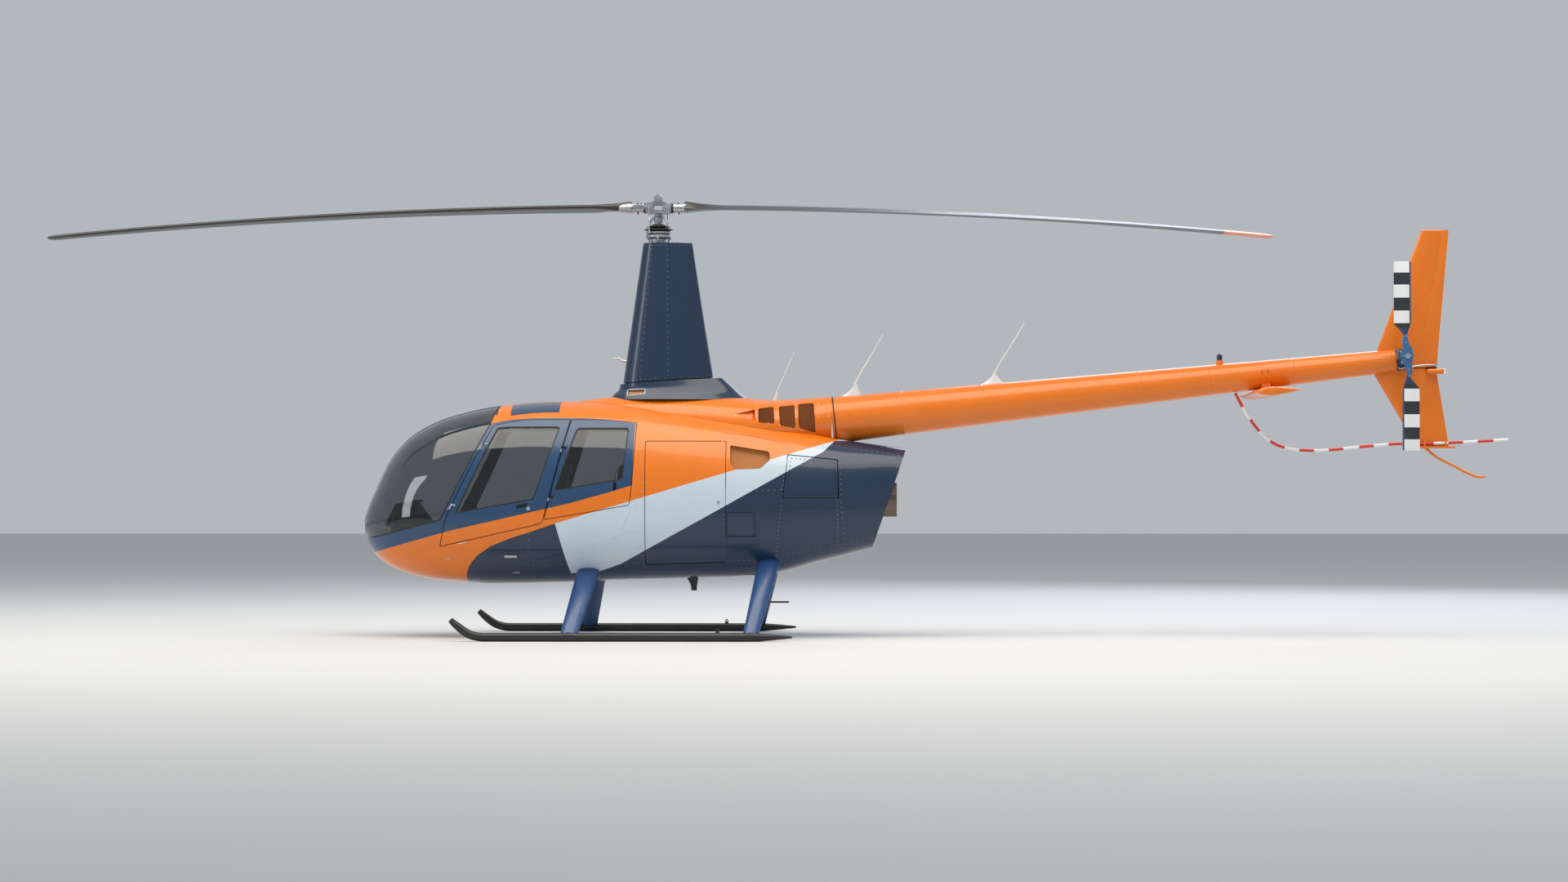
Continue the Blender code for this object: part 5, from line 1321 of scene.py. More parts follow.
for name, node_name, centre, sign in (("tail_blade_skin_upper", "tail_blade_upper", 5.075, 1),
        ("tail_blade_skin_lower", "tail_blade_lower", 5.143, -1)):
    rings = []
    for radius, shift, chord, thick in ((0.165, 0.022, 0.030, 0.018), (0.190, 0.0175, 0.050, 0.018),
            (0.225, 0.0085, 0.092, 0.017), (0.255, 0.0010, 0.130, 0.016), (0.264, 0.0, 0.137, 0.016),
            (0.290, 0.0, 0.139, 0.016), (0.520, 0.0, 0.139, 0.014), (0.758, 0.0, 0.139, 0.012),
            (0.766, 0.0, 0.134, 0.008)):
        rings.append([(centre + shift * sign + sign * (0.5 - u) * chord, -0.330 - v * thick, TAIL_Z + sign * radius)
            for u, v in FOIL])
    blade = shell(name, rings)
    dress(blade, barred_paint("tail_blade_bars_" + node_name[-5:], centre, sign), "tail_rotor", [node_name])
TR_SIDE = [(5.086, 2.462), (5.105, 2.462), (5.128, 2.372), (5.150, 2.330), (5.162, TAIL_Z), (5.150, 2.240),
    (5.140, 2.198), (5.138, 2.108), (5.119, 2.108), (5.098, 2.198), (5.076, 2.240), (5.064, TAIL_Z), (5.076, 2.330),
    (5.090, 2.372)]
hub_bits = [plate("hub_cheek", TR_SIDE, -0.353, -0.346, 0.0015, 0.006), plate("hub_cheek", TR_SIDE, -0.319, -0.3125,
    0.0015, 0.006)]
hub_bits.append(turned("hub_core", [(0.017, 0.0), (0.017, 0.006), (0.033, 0.010), (0.034, 0.060), (0.030, 0.064)],
    (TAIL_X, -0.2852, TAIL_Z), 40, "Y"))
for sign, x in ((1, 5.096), (-1, 5.130)):
    hub_bits.append(turned("grip", [(0.012, 0.050), (0.015, 0.054), (0.015, 0.150), (0.012, 0.158)], (0, 0), 24))
    bit = hub_bits[-1]
    bit.data.transform(Matrix.Translation((x - sign * 0.008, -0.332, TAIL_Z)) @ Matrix.Scale(sign, 4, (0, 0, 1)))
    if sign < 0:
        bit.data.flip_normals()
    hub_bits.append(plate("pitch_arm", [(x + sign * 0.006, TAIL_Z + sign * 0.060), (x + sign * 0.060, TAIL_Z
        + sign * 0.046), (x + sign * 0.064, TAIL_Z + sign * 0.062), (x + sign * 0.006, TAIL_Z + sign * 0.090)],
        -0.340, -0.326, 0.002, 0.004))
dress(joined("tail_hub_plate", hub_bits), blue_metal, "tail_rotor", ["tail_rotor_hub"])
tr_metal = [turned("hub_ring", [(0.012, 0.0), (0.0215, 0.001), (0.023, 0.004), (0.0215, 0.008), (0.014, 0.009),
    (0.014, 0.005)], (TAIL_X, -0.353, TAIL_Z), 40, "Y")]
tr_metal[0].data.transform(Matrix.Translation((0, -0.009, 0)))
tr_metal.append(bolt("hub_nut", (TAIL_X, -0.354, TAIL_Z), (0, -1, 0), 0.0095))
for x, z in ((5.096, 2.445), (5.100, 2.395), (5.129, 2.125), (5.125, 2.175), (5.143, TAIL_Z), (5.083, TAIL_Z)):
    tr_metal.append(bolt("plate_bolt", (x, -0.353, z), (0, -1, 0), 0.0052))
for sign in (1, -1):
    x, z = TAIL_X + sign * 0.044, TAIL_Z + sign * 0.056
    tr_metal.append(round_bar("pitch_link", (x, -0.333, z), (TAIL_X + sign * 0.030, -0.2620, TAIL_Z + sign * 0.020),
        0.0045, sides=14))
    tr_metal.append(bolt("arm_bolt", (x, -0.340, z), (0, -1, 0), 0.0060))
tr_metal.append(turned("pitch_slider", [(0.0265, 0.0), (0.034, 0.002), (0.034, 0.014), (0.0265, 0.016)],
    (TAIL_X, -0.2550, TAIL_Z), 40, "Y"))
dress(joined("tail_rotor_fasteners", tr_metal), bright_steel, "tail_rotor")

# %% [markdown]
# ## Stabiliser
#
# The stabiliser is one small wing under the boom, held by two straps and a saddle that is cut to the boom.

# %% Stabiliser
rings = []
for y, shrink in ((-0.665, 0.55), (-0.661, 0.80), (-0.652, 0.94), (-0.636, 1.0), (0.0, 1.0), (0.636, 1.0),
        (0.652, 0.94), (0.661, 0.80), (0.665, 0.55)):
    ring = []
    for u, v in ((0, 0), (0.012, 0.25), (0.04, 0.45), (0.09, 0.66), (0.15, 0.80), (0.24, 0.94), (0.33, 1.0),
            (0.48, 0.92), (0.65, 0.70), (0.82, 0.40), (1.0, 0.06), (1.0, -0.06), (0.82, -0.40), (0.65, -0.70),
            (0.48, -0.92), (0.33, -1.0), (0.24, -0.94), (0.15, -0.80), (0.09, -0.66), (0.04, -0.45), (0.012, -0.25)):
        x = 4.042 + (u - 0.5) * 0.344 * (0.5 + 0.5 * shrink if shrink < 1 else 1.0)
        ring.append((x, y, 1.986 + 0.018 * u + 0.036 * v * shrink))
    rings.append(ring)
stab = shell("stabiliser_skin", rings)
straps = []
for side in (-1, 1):
    ring_list = []
    for degrees in (20, 5, -10, -25, -40):
        p, out = boom_point(3.992, degrees)
        q = Vector((p.x, p.y * -side, p.z))
        o = Vector((out.x, out.y * -side, out.z))
        ring_list.append([tuple(q + BOOM_DIR * w + o * h) for w, h in ((-0.037, 0.0004), (-0.037, 0.004),
            (0.037, 0.004), (0.037, 0.0004))])
    ring_list.append([(x, y, 1.998) for x, y, z in ring_list[-1]])
    straps.append(shell("strap", ring_list))
saddle = plate("saddle", [(3.948, 1.990), (4.040, 1.990), (4.040, 2.060), (3.948, 2.060)], -0.045, 0.045, 0.002)
boolean(saddle, shell("boom_gap", [boom_ring(x, 0.0006) for x in (3.0, 4.0, 4.8)]))
strap_bolts = [boom_point(3.992 + dx, 8, 0.004) for dx in (-0.024, 0.024)]
strap_bolts += [(Vector((p.x, -p.y, p.z)), Vector((n.x, -n.y, n.z))) for p, n in strap_bolts]
dress(joined("stabiliser_skin", [stab, saddle] + straps), orange_paint, replaces=["stabiliser"],
    angle=30)
dress(rivets("stabiliser_bolts", strap_bolts, 0.006, 0.004), seam_grey, angle=50)

# %% [markdown]
# ## Guard tube and tail skid
#
# A light tube hangs from the boom round the tail rotor and keeps people away from it. It is taped red and white in
# bars of about 0.12 m, so its faces get one of two paints by their distance along the tube. A bent steel skid
# protects the lower fin.

# %% Guard tube and tail skid
GUARD = [(3.755, -0.030, 1.9935), (3.846, -0.034, 1.825), (3.941, -0.036, 1.693), (4.010, -0.037, 1.625),
    (4.081, -0.038, 1.575), (4.188, -0.039, 1.540), (4.302, -0.040, 1.526), (4.422, -0.040, 1.523),
    (4.563, -0.040, 1.531), (4.843, -0.040, 1.559), (5.088, -0.036, 1.577), (5.280, -0.034, 1.5795),
    (5.593, -0.034, 1.590), (5.980, -0.034, 1.611)]
red_paint = finish("polyester_tape_red", "#CE2416", 0.38, (40.0, 0.32, 0.46), Coat_Weight=0.3, Coat_Roughness=0.2)
white_paint = finish("polyester_tape_white", "#E3E5E6", 0.38, (40.0, 0.32, 0.46), Coat_Weight=0.3, Coat_Roughness=0.2)
guard = tube("guard_tube", [p + (0.0122,) for p in GUARD], 20, 0.010)
path, length = smooth_path([p + (0.0122,) for p in GUARD], 0.010)
line = np.array([row[:3] for row in path])
run = np.linspace(0, length, len(line))
guard.data.materials.append(red_paint)
guard.data.materials.append(white_paint)
ring_of = [int(np.argmin(np.linalg.norm(line - np.array(v.co), axis=1))) for v in guard.data.vertices]
for face in guard.data.polygons:
    face.material_index = int(run[min(ring_of[i] for i in face.vertices)] / 0.122) % 2
smooth(guard, 40)
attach(guard, "airframe")
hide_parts("tail_rotor_guard")
clamps = []
for x in (5.300, 5.470):
    clamps.append(plate("guard_clamp", [(x - 0.008, 1.560), (x + 0.008, 1.560), (x + 0.008, 1.607),
        (x - 0.008, 1.607)], -0.050, -0.018, 0.003))
clamps.append(tube("tail_skid_tube", [(5.300, 0, 1.549, 0.0105), (5.328, 0, 1.530, 0.0105), (5.378, 0, 1.485, 0.0105),
    (5.546, 0, 1.395, 0.0105), (5.690, 0, 1.322, 0.0105), (5.749, 0, 1.305, 0.0105), (5.797, 0, 1.312, 0.0100)], 20))
print("guard tube", round(length, 3), "m long")
dress(joined("tail_skid_tube", clamps[::-1]), orange_paint, replaces=["tail_skid"])

# %% [markdown]
# ## Lights and aerials
#
# The beacon has a dark blue lens on an orange stub, and the tail light a clear lens on a tube behind the fins. The
# aerials are white glass-fibre whips on faired feet.

# %% Beacon, tail light and aerials
lens = finish("polycarbonate_lens_blue", "#16304E", 0.08, (30.0, 0.05, 0.12), Transmission_Weight=0.55, IOR=1.58)
clear = finish("polycarbonate_lens_clear", "#DDE3E6", 0.06, (30.0, 0.04, 0.10), Transmission_Weight=0.7, IOR=1.58)
gelcoat = finish("glass_fibre_white_gelcoat", "#DADCDD", 0.32, (30.0, 0.26, 0.40), Coat_Weight=0.3,
    Coat_Roughness=0.2)
top = boom_centre(3.631)[0].z + boom_centre(3.631)[1]
stub = turned("beacon_stub", [(0.030, top - 0.020), (0.028, top + 0.004), (0.0265, top + 0.034),
    (0.022, top + 0.036)], (3.631, 0), 40)
beacon = turned("beacon_lens", [(0.0215, top + 0.036), (0.023, top + 0.040), (0.023, top + 0.070),
    (0.019, top + 0.081), (0.010, top + 0.087), (0.002, top + 0.089)], (3.631, 0), 40)
dress(beacon, lens, replaces=["beacon"], angle=40)
dress(stub, orange_paint)
tail_tube = turned("tail_light_tube", [(0.016, 0.0), (0.021, 0.006), (0.0225, 0.050), (0.0225, 0.128),
    (0.020, 0.134)], (5.322, -0.045, 2.170), 32, "X")
tail_lens = turned("tail_light_lens", [(0.0195, 0.1342), (0.0195, 0.146), (0.014, 0.156), (0.003, 0.159)],
    (5.322, -0.045, 2.170), 32, "X")
dress(tail_tube, orange_paint)
dress(tail_lens, clear, angle=40)


def foot(name, front, rear, low, top_front, top_rear, high, half):
    """Faired foot of an aerial: an oval that shrinks as it rises."""
    rings = []
    for t in np.linspace(0, 1, 9):
        ease = 1 - (1 - t) ** 2.2
        a, b = front + (top_front - front) * ease, rear + (top_rear - rear) * ease
        w = half + (0.0055 - half) * ease
        rings.append([((a + b) / 2 + (b - a) / 2 * math.cos(q), w * math.sin(q), low + (high - low) * t)
            for q in np.linspace(0, 2 * math.pi, 33)[:-1]])
    return shell(name, rings)


aerials = []
for base_line, whip_line in (((-0.055, 0.012, 1.915, -0.006, 0.010, 2.020, 0.016), [(0.002, 0, 2.010, 0.0062),
        (0.060, 0, 2.135, 0.0050), (0.144, 0, 2.333, 0.0030)]), ((0.505, 0.717, 1.955, 0.634, 0.662, 2.085, 0.022),
        [(0.646, 0, 2.075, 0.0095), (0.668, 0, 2.120, 0.0080), (0.772, 0, 2.298, 0.0062), (0.875, 0, 2.474, 0.0045)]),
        ((1.668, 1.880, 2.065, 1.776, 1.806, 2.170, 0.022), [(1.790, 0, 2.160, 0.0095), (1.812, 0, 2.205, 0.0080),
        (1.920, 0, 2.380, 0.0062), (2.034, 0, 2.569, 0.0045)])):
    aerials.append(foot("aerial_foot", *base_line[:3], *base_line[3:6], base_line[6]))
    aerials.append(tube("aerial_whip", whip_line, 16, 0.02))
dress(joined("whip_aerials", aerials), gelcoat, replaces=["aerial_front", "aerial_middle", "aerial_rear"],
    angle=40)

# %% [markdown]
# ## Landing gear
#
# On the real machine two bent cross tubes run from skid to skid through the belly, and each end is wrapped in a
# streamlined sheet fairing, painted blue. Only the fairings show, so each is one solid, cut off at the belly.

# %% Legs
SKID_Y = 1.10
leg_blue = gloss_paint("polyurethane_gloss_leg_blue", "#27497A", 0.28)[0]
skid_black = finish("epoxy_paint_black_worn", "#141517", 0.42, (18.0, 0.34, 0.58, 0.05, 0.3), Coat_Weight=0.25,
    Coat_Roughness=0.3)
LEGS = {"front": ((-1.500, 0.430, 0.600, 0.182, 0.080), (-1.622, 1.100, 0.050, 0.142, 0.060)),
    "rear": ((-0.045, 0.400, 0.660, 0.180, 0.080), (-0.184, 1.100, 0.050, 0.126, 0.060))}
LEG_SECTION = [(math.cos(a), math.sin(a) * (1.0 if math.cos(a) < 0 else 1.0 - 0.32 * math.cos(a) ** 2))
    for a in np.linspace(0, 2 * math.pi, 41)[:-1]]
for side_name, side in (("left", -1), ("right", 1)):
    for end, (top, bottom) in LEGS.items():
        rings = []
        down = (Vector(bottom[:3]) - Vector(top[:3])).normalized()
        across = down.cross(Vector((1, 0, 0))).normalized()
        for t in np.linspace(0, 1, 22):
            row = np.array(top) + (np.array(bottom) - np.array(top)) * t
            swell = 1.0 + 0.10 * max(0.0, 1 - t / 0.25) ** 2
            ring = []
            for c, s in LEG_SECTION:
                p = Vector(row[:3]) + Vector((1, 0, 0)) * (row[3] / 2 * c) + across * (row[4] / 2 * s * swell)
                ring.append((p.x, p.y * side, p.z))
            rings.append(ring)
        leg = shell("leg_fairing_" + end + "_" + side_name, rings)
        boolean(leg, body_room, keep=True)
        boolean(leg, round_bar("skid_room", (-2.2, side * SKID_Y, 0.034), (-0.05, side * SKID_Y, 0.034), 0.0343,
            sides=40))
        boolean(leg, block("below", (-3.0, -1.3, -0.2), (1.0, 1.3, 0.040)))
        dress(leg, leg_blue, replaces=["gear_leg_" + end + "_" + side_name], angle=30)

# %% [markdown]
# ## Skids
#
# Each skid is one bent tube, painted black, with its front end turned up and its rear end drawn to a point. Saddles
# bolt the legs' feet to it, screws hold the wear shoes, and a lug with an eye takes the ground wheels.

# %% Skids, shoes and fittings
metal_bits = []
for side_name, side in (("left", -1), ("right", 1)):
    y = side * SKID_Y
    path = [(-2.560, y, 0.172, 0.022), (-2.535, y, 0.148, 0.027), (-2.500, y, 0.118, 0.031),
        (-2.420, y, 0.062, 0.034), (-2.350, y, 0.0395, 0.034), (-2.270, y, 0.034, 0.034), (-1.200, y, 0.034, 0.034),
        (-0.168, y, 0.034, 0.034), (-0.060, y, 0.0350, 0.028), (0.060, y, 0.036, 0.017), (0.144, y, 0.036, 0.008)]
    skid = tube("skid_tube_" + side_name, path, 32, 0.02)
    dress(skid, skid_black, replaces=["skid_" + side_name])
    for x in (-1.615, -0.178):
        clamp = round_bar("saddle", (x - 0.055, y, 0.034), (x + 0.055, y, 0.034), 0.0385, sides=40)
        boolean(clamp, round_bar("bore", (x - 0.1, y, 0.034), (x + 0.1, y, 0.034), 0.0343, sides=40))
        boolean(clamp, block("under", (x - 0.2, -1.3, -0.1), (x + 0.2, 1.3, 0.006)))
        soften(clamp, 0.0012, 50)
        metal_bits.append(clamp)
        for dx in (-0.040, 0.040):
            metal_bits.append(bolt("clamp_bolt", (x + dx, y - 0.0375, 0.040), (0, -1, 0), 0.0048))
            metal_bits.append(bolt("clamp_bolt", (x + dx, y + 0.0375, 0.040), (0, 1, 0), 0.0048))
    for x in (-2.05, -1.42, -0.95, -0.62):
        metal_bits.append(bolt("shoe_screw", (x, y - 0.0320, 0.020), (0, -1, -0.35), 0.0042))
    lug = plate("wheel_lug", [(-0.462, 0.060), (-0.430, 0.060), (-0.434, 0.098), (-0.446, 0.106), (-0.458, 0.098)], y
        - 0.010, y + 0.010, 0.003, 0.004, [round_bar("eye", (-0.446, y - 0.1, 0.090), (-0.446, y + 0.1, 0.090),
        0.0065)])
    metal_bits.append(lug)
    band = round_bar("band", (-0.462, y, 0.034), (-0.430, y, 0.034), 0.0375, sides=40)
    boolean(band, round_bar("bore", (-0.6, y, 0.034), (-0.3, y, 0.034), 0.0343, sides=40))
    boolean(band, block("under", (-0.6, -1.3, -0.1), (-0.3, 1.3, 0.004)))
    metal_bits.append(band)
metal_bits.append(round_bar("step_rod", (-0.085, 0.866, 0.256), (0.087, 0.866, 0.256), 0.0075, sides=20))
print(len(metal_bits), "fittings on the skids")
dress(joined("skid_fittings", metal_bits), skid_black)
belly_aerial = foot("belly_blade", -0.742, -0.639, 0.482, -0.700, -0.655, 0.376, 0.014)
dress(belly_aerial, skid_black, angle=40)

# %% [markdown]
# ## Seams and rivets on the body
#
# The lines come from the photograph, as x and z in the side view, and are laid on the skin by its own surface. The
# vertical seams are laps with rivets on one side; the sloping line along the belly is a pressed bead.

# %% Body seams and rivet rows
def skin_path(points, pitch, side=-1, lift=0.0):
    return [on_skin(p.x, p.y, side, lift) for p in spaced(points, pitch)]


SEAMS = [[(-3.246, 0.779), (-2.960, 0.858), (-2.679, 0.933)], [(-1.094, 1.788), (-1.074, 1.461), (-1.058, 1.003),
    (-1.056, 0.581)], [(-0.428, 1.711), (-0.406, 1.199), (-0.401, 0.620)], [(0.064, 1.337), (0.038, 1.068),
    (-0.004, 0.639)], [(0.490, 1.140), (0.500, 0.720)]]
BEADS = [[(-1.982, 0.662), (-1.940, 0.640), (-1.887, 0.635), (-1.771, 0.670), (-1.691, 0.695), (-1.499, 0.754),
    (-1.265, 0.834), (-1.215, 0.863), (-1.160, 0.874), (-1.101, 0.879)], [(-1.215, 0.863), (-1.245, 0.838),
    (-1.268, 0.800)], [(-1.149, 1.075), (-1.201, 0.958), (-1.230, 0.885)], [(-0.425, 1.660), (-0.200, 1.640),
    (0.020, 1.590), (0.110, 1.565)]]
ROWS = SEAMS + [[(-1.048, 0.608), (-0.654, 0.617), (-0.405, 0.627), (-0.031, 0.632)],
    [(-1.974, 0.846), (-1.992, 0.608)], [(-1.990, 0.590), (-1.640, 0.600), (-1.060, 0.612)],
    [(-1.560, 0.740), (-1.560, 0.600)], [(-1.545, 0.740), (-1.545, 0.600)], [(-1.455, 0.760), (-1.455, 0.600)],
    [(-1.300, 0.815), (-1.285, 0.600)], [(-1.110, 1.740), (-1.117, 1.300)], [(-1.118, 1.080), (-1.085, 0.640)],
    [(-0.425, 1.672), (-0.180, 1.650), (0.110, 1.577)], [(0.110, 1.577), (0.330, 1.560)],
    [(-0.380, 1.180), (0.040, 1.200)], [(0.015, 0.660), (0.520, 0.750), (0.790, 0.810)],
    [(0.520, 1.500), (0.530, 1.160)], [(0.530, 1.100), (0.560, 0.760)], [(0.560, 1.545), (1.000, 1.480)],
    [(-3.096, 0.730), (-2.867, 0.755), (-2.689, 0.804)], [(-2.775, 0.725), (-2.790, 0.690), (-2.821, 0.578)],
    [(-2.940, 0.632), (-2.660, 0.600)], [(-2.590, 0.640), (-2.538, 0.656), (-2.374, 0.716)],
    [(-1.700, 0.520), (-1.100, 0.520)], [(-0.950, 0.535), (-0.050, 0.560)],]
laps, beads, dots = [], [], []
for side in (-1, 1):
    for line in SEAMS:
        laps.append(ribbon("lap", skin_path(line, 0.03, side), 0.016, 0.0006))
    for line in BEADS:
        beads.append(ribbon("bead", skin_path(line, 0.015, side), 0.007, 0.0022))
    for line in ROWS:
        shift = 0.007 if line in SEAMS else 0.0
        rise = 0.032 if line is SEAMS[0] else 0.0
        dots += skin_path([(x + shift, z + rise) for x, z in line], 0.034 if line in SEAMS else 0.045, side)
    for x in np.arange(-2.05, -1.10, 0.055):
        dots.append(on_skin(x, 1.845, side))
laps.append(ribbon("roof_lap", [(Vector((x, 0, former(x)[0])), Vector((0, 0, 1))) for x in np.arange(-2.15, -1.62,
    0.04)], 0.016, 0.0007))
dress(joined("body_lap_joints", laps), body_scheme)
dress(joined("body_pressed_beads", beads), body_scheme, angle=60)


def on_opening(point):
    """True where a rivet would hang over a door's gap or a window."""
    for outline in (FRONT_DOOR, REAR_DOOR, BAGGAGE_DOOR, COWL_DOOR, ACCESS_DOOR, WINDSCREEN):
        room = grown(outline, 0.012)
        inside = False
        for (x1, z1), (x2, z2) in zip(room, room[1:] + room[:1]):
            if (z1 > point.z) != (z2 > point.z) and point.x < (x2 - x1) * (point.z - z1) / (z2 - z1) + x1:
                inside = not inside
        if inside:
            return True
    return False


dots = [d for d in dots if not on_opening(d[0])]
# Bright bare alloy on the heads, not the body's paint over them: painted highlight.
dress(rivets("body_rivets", dots, 0.0030, 0.0014), alloy, angle=50)
print(len(dots), "rivets on the body")

# %% [markdown]
# ## Rivets of the fairings
#
# Two lines of rivets run up each side of the mast fairing and one round its foot and head. Screws hold the cowling's
# edge to the roof.

# %% Fairing rivets
def tower_place(z, turn):
    """Place and outward direction on the mast fairing at an angle in plan, nose at 180 degrees."""
    slope = tangents(TOWER[:, 0], TOWER[:, 1:])
    front, rear, half, lean = between(TOWER[:, 0], TOWER[:, 1:], slope, z)
    spots = [Vector(teardrop(z, front, rear, half, lean, 360)[(turn + d) % 360]) for d in (-2, 0, 2)]
    normal = (spots[2] - spots[0]).cross(Vector((0, 0, 1))).normalized()
    if normal.y * spots[1].y < 0:
        normal = -normal
    return spots[1], normal


spots = []
for turn in (242, 283, 118, 77):
    for z in np.arange(2.115, 3.20, 0.046):
        spots.append(tower_place(float(z), turn))
for z in (2.095, 3.205):
    for turn in list(range(100, 180, 10)) + list(range(190, 345, 9)) + list(range(15, 95, 9)):
        spots.append(tower_place(z, turn))
# Bright bare alloy on the heads, not the navy paint over them: painted highlight.
dress(rivets("mast_fairing_rivets", spots, 0.0028, 0.0012), alloy, angle=50)
cowl_screws = []
for side in (-1, 1):
    for x, z in [(-1.029 + 0.141 * i, 1.905 - 0.0195 * i) for i in range(5)] + [(-0.33 + 0.09 * i, 1.806 - 0.0205 * i)
            for i in range(8)]:
        cowl_screws.append((Vector((x, side * cowl_y(x, z), z)), Vector((0, side * 0.8, 0.6)).normalized()))
    for x in (-0.155, 0.006, 0.167, 0.345, 0.425):
        for z in (1.90, 1.80):
            cowl_screws.append((Vector((x, side * cowl_y(x, z), z)), Vector((0, side * 0.85, 0.5)).normalized()))
dress(rivets("cowling_screws", cowl_screws, 0.0034, 0.0012, 10), bright_steel, angle=50)
neck_ring = fairing_rings(TOWER, 24, 0.016)[0]
neck_rings = [[(x, y, z + h) for x, y, z in neck_ring] for h in (-0.012, 0.016)]
dress(shell("mast_fairing_neck", neck_rings), rubber)

# %% [markdown]
# ## The intake and the air probe
#
# The base fairing has a slot in its left flank. It has a pale pressed lip, and a screen sits just inside. The lip
# runs along the slot's own outline, laid on the teardrop's surface.

# %% Intake lip and filter
def base_y(x, z):
    slope = tangents(BASE[:, 0], BASE[:, 1:])
    front, rear, half, lean = between(BASE[:, 0], BASE[:, 1:], slope, z)
    ring = sorted((p[0], p[1]) for p in teardrop(z, front, rear, half) if p[1] < 1e-6)
    return float(np.interp(x, [p[0] for p in ring], [p[1] for p in ring]))


def slot_line(distance):
    return spaced([Vector(p) for p in grown(SLOT, distance)] + [Vector(grown(SLOT, distance)[0])], 0.012)[:-1]


lip_path = [(Vector((p.x, base_y(p.x, p.y), p.y)), Vector((-0.25, -0.95, 0.2)).normalized())
    for p in slot_line(0.002)]
dress(ribbon("intake_lip", lip_path, 0.007, 0.004, -0.004, True), pale_paint, angle=40)
# The filter takes the wire cloth's tan, lightened as painted light.
filter_rings = [[(p.x, base_y(p.x, p.y) + d, p.y) for p in slot_line(0.004)] for d in (0.022, 0.030)]
dress(shell("intake_filter", filter_rings), wire_tan_with_painted_light)

# %% [markdown]
# The probe for the airspeed stands out from the front of the mast fairing: a bent arm and a turned nozzle.

# %% Air probe
probe = [tube("probe_arm", [(-1.232, 0, 2.256, 0.012), (-1.262, 0, 2.262, 0.010), (-1.285, 0, 2.268, 0.008)], 20,
    0.006), turned("probe_tube", [(0.0045, 0.0), (0.0068, 0.002), (0.0074, 0.030), (0.0080, 0.060), (0.0060, 0.066)],
    (-1.345, 0, 2.2795), 24, "X")]
dress(joined("air_probe", probe), bright_steel, angle=40)

# %% [markdown]
# ## The flank's air outlet
#
# A large opening behind the baggage door lets air into the engine bay, closed by wire cloth. It is cut through the
# body shell, and its rounded corners are part of the cutter.

# %% Air outlet and skylights
VENT = [(-0.362, 1.409), (-0.364, 1.561), (-0.049, 1.509), (-0.042, 1.443), (-0.120, 1.370), (-0.322, 1.363)]
for side in (-1, 1):
    boolean(body_shell, cutter("vent_room", VENT, side * 0.3, side * 1.0, 0.016))
smooth(body_shell, 30)
cloths = [wire_cloth("cloth", [(-0.364, 1.363), (-0.042, 1.561)], lambda x, z: skin_y(x, z) - 0.006, side, 0.011,
    0.0012) for side in (-1, 1)]
zone = cutter("cloth_zone", grown(VENT, 0.004), -1.0, 1.0)
vent_cloth = joined("flank_wire_cloth", cloths)
boolean(vent_cloth, zone, "INTERSECT")
# The flank's cloth takes the same lightened tan: painted light.
dress(vent_cloth, wire_tan_with_painted_light, angle=0)
# The backing behind the flank's cloth takes the same lightened tan: painted light.
vent_back = [shell("vent_back", [[tuple(on_skin(x, z, side, -d)[0]) for x, z in grown(VENT, 0.02)]
    for d in (0.032, 0.036)]) for side in (-1, 1)]
dress(joined("vent_backing", vent_back), backing_tan_with_painted_light)
skylight_glass = finish("cast_acrylic_dark_blue", "#1D3556", 0.05, (8.0, 0.04, 0.09), Coat_Weight=1.0,
    Coat_Roughness=0.02)
lights = []
for side in (-1, 1):
    light = hull("skylight", -0.003)
    boolean(light, hull("skylight_room", 0.002))
    boolean(light, cutter("skylight_zone", [(-2.150, 1.78), (-2.150, 2.10), (-1.756, 2.10), (-1.756, 1.78)],
        min(side * 0.150, side * 0.400), max(side * 0.150, side * 0.400)), "INTERSECT")
    lights.append(light)
dress(joined("roof_skylights", lights), skylight_glass, angle=30)

# %% [markdown]
# ## Window seals
#
# A thin black rubber seal frames every pane. It could be cut from the pane's edge, but a flat band laid along the
# outline keeps its width everywhere. The seals ride on the door they belong to.

# %% Seals


def rounded(outline, corner, steps=5):
    """Closed side outline with its corners rounded."""
    made = []
    for i, here in enumerate(outline):
        here, before, after = Vector(here), Vector(outline[i - 1]), Vector(outline[(i + 1) % len(outline)])
        a = here + (before - here).normalized() * min(corner, (before - here).length * 0.45)
        b = here + (after - here).normalized() * min(corner, (after - here).length * 0.45)
        for k in range(steps + 1):
            t = k / steps
            made.append(tuple(a * (1 - t) ** 2 + here * (2 * t * (1 - t)) + b * t ** 2))
    return made


def skin_loop(outline, pitch, side=-1, lift=0.0):
    points = spaced(list(outline) + [outline[0]], pitch)[:-1]
    return [on_skin(p.x, p.y, side, lift) for p in points]


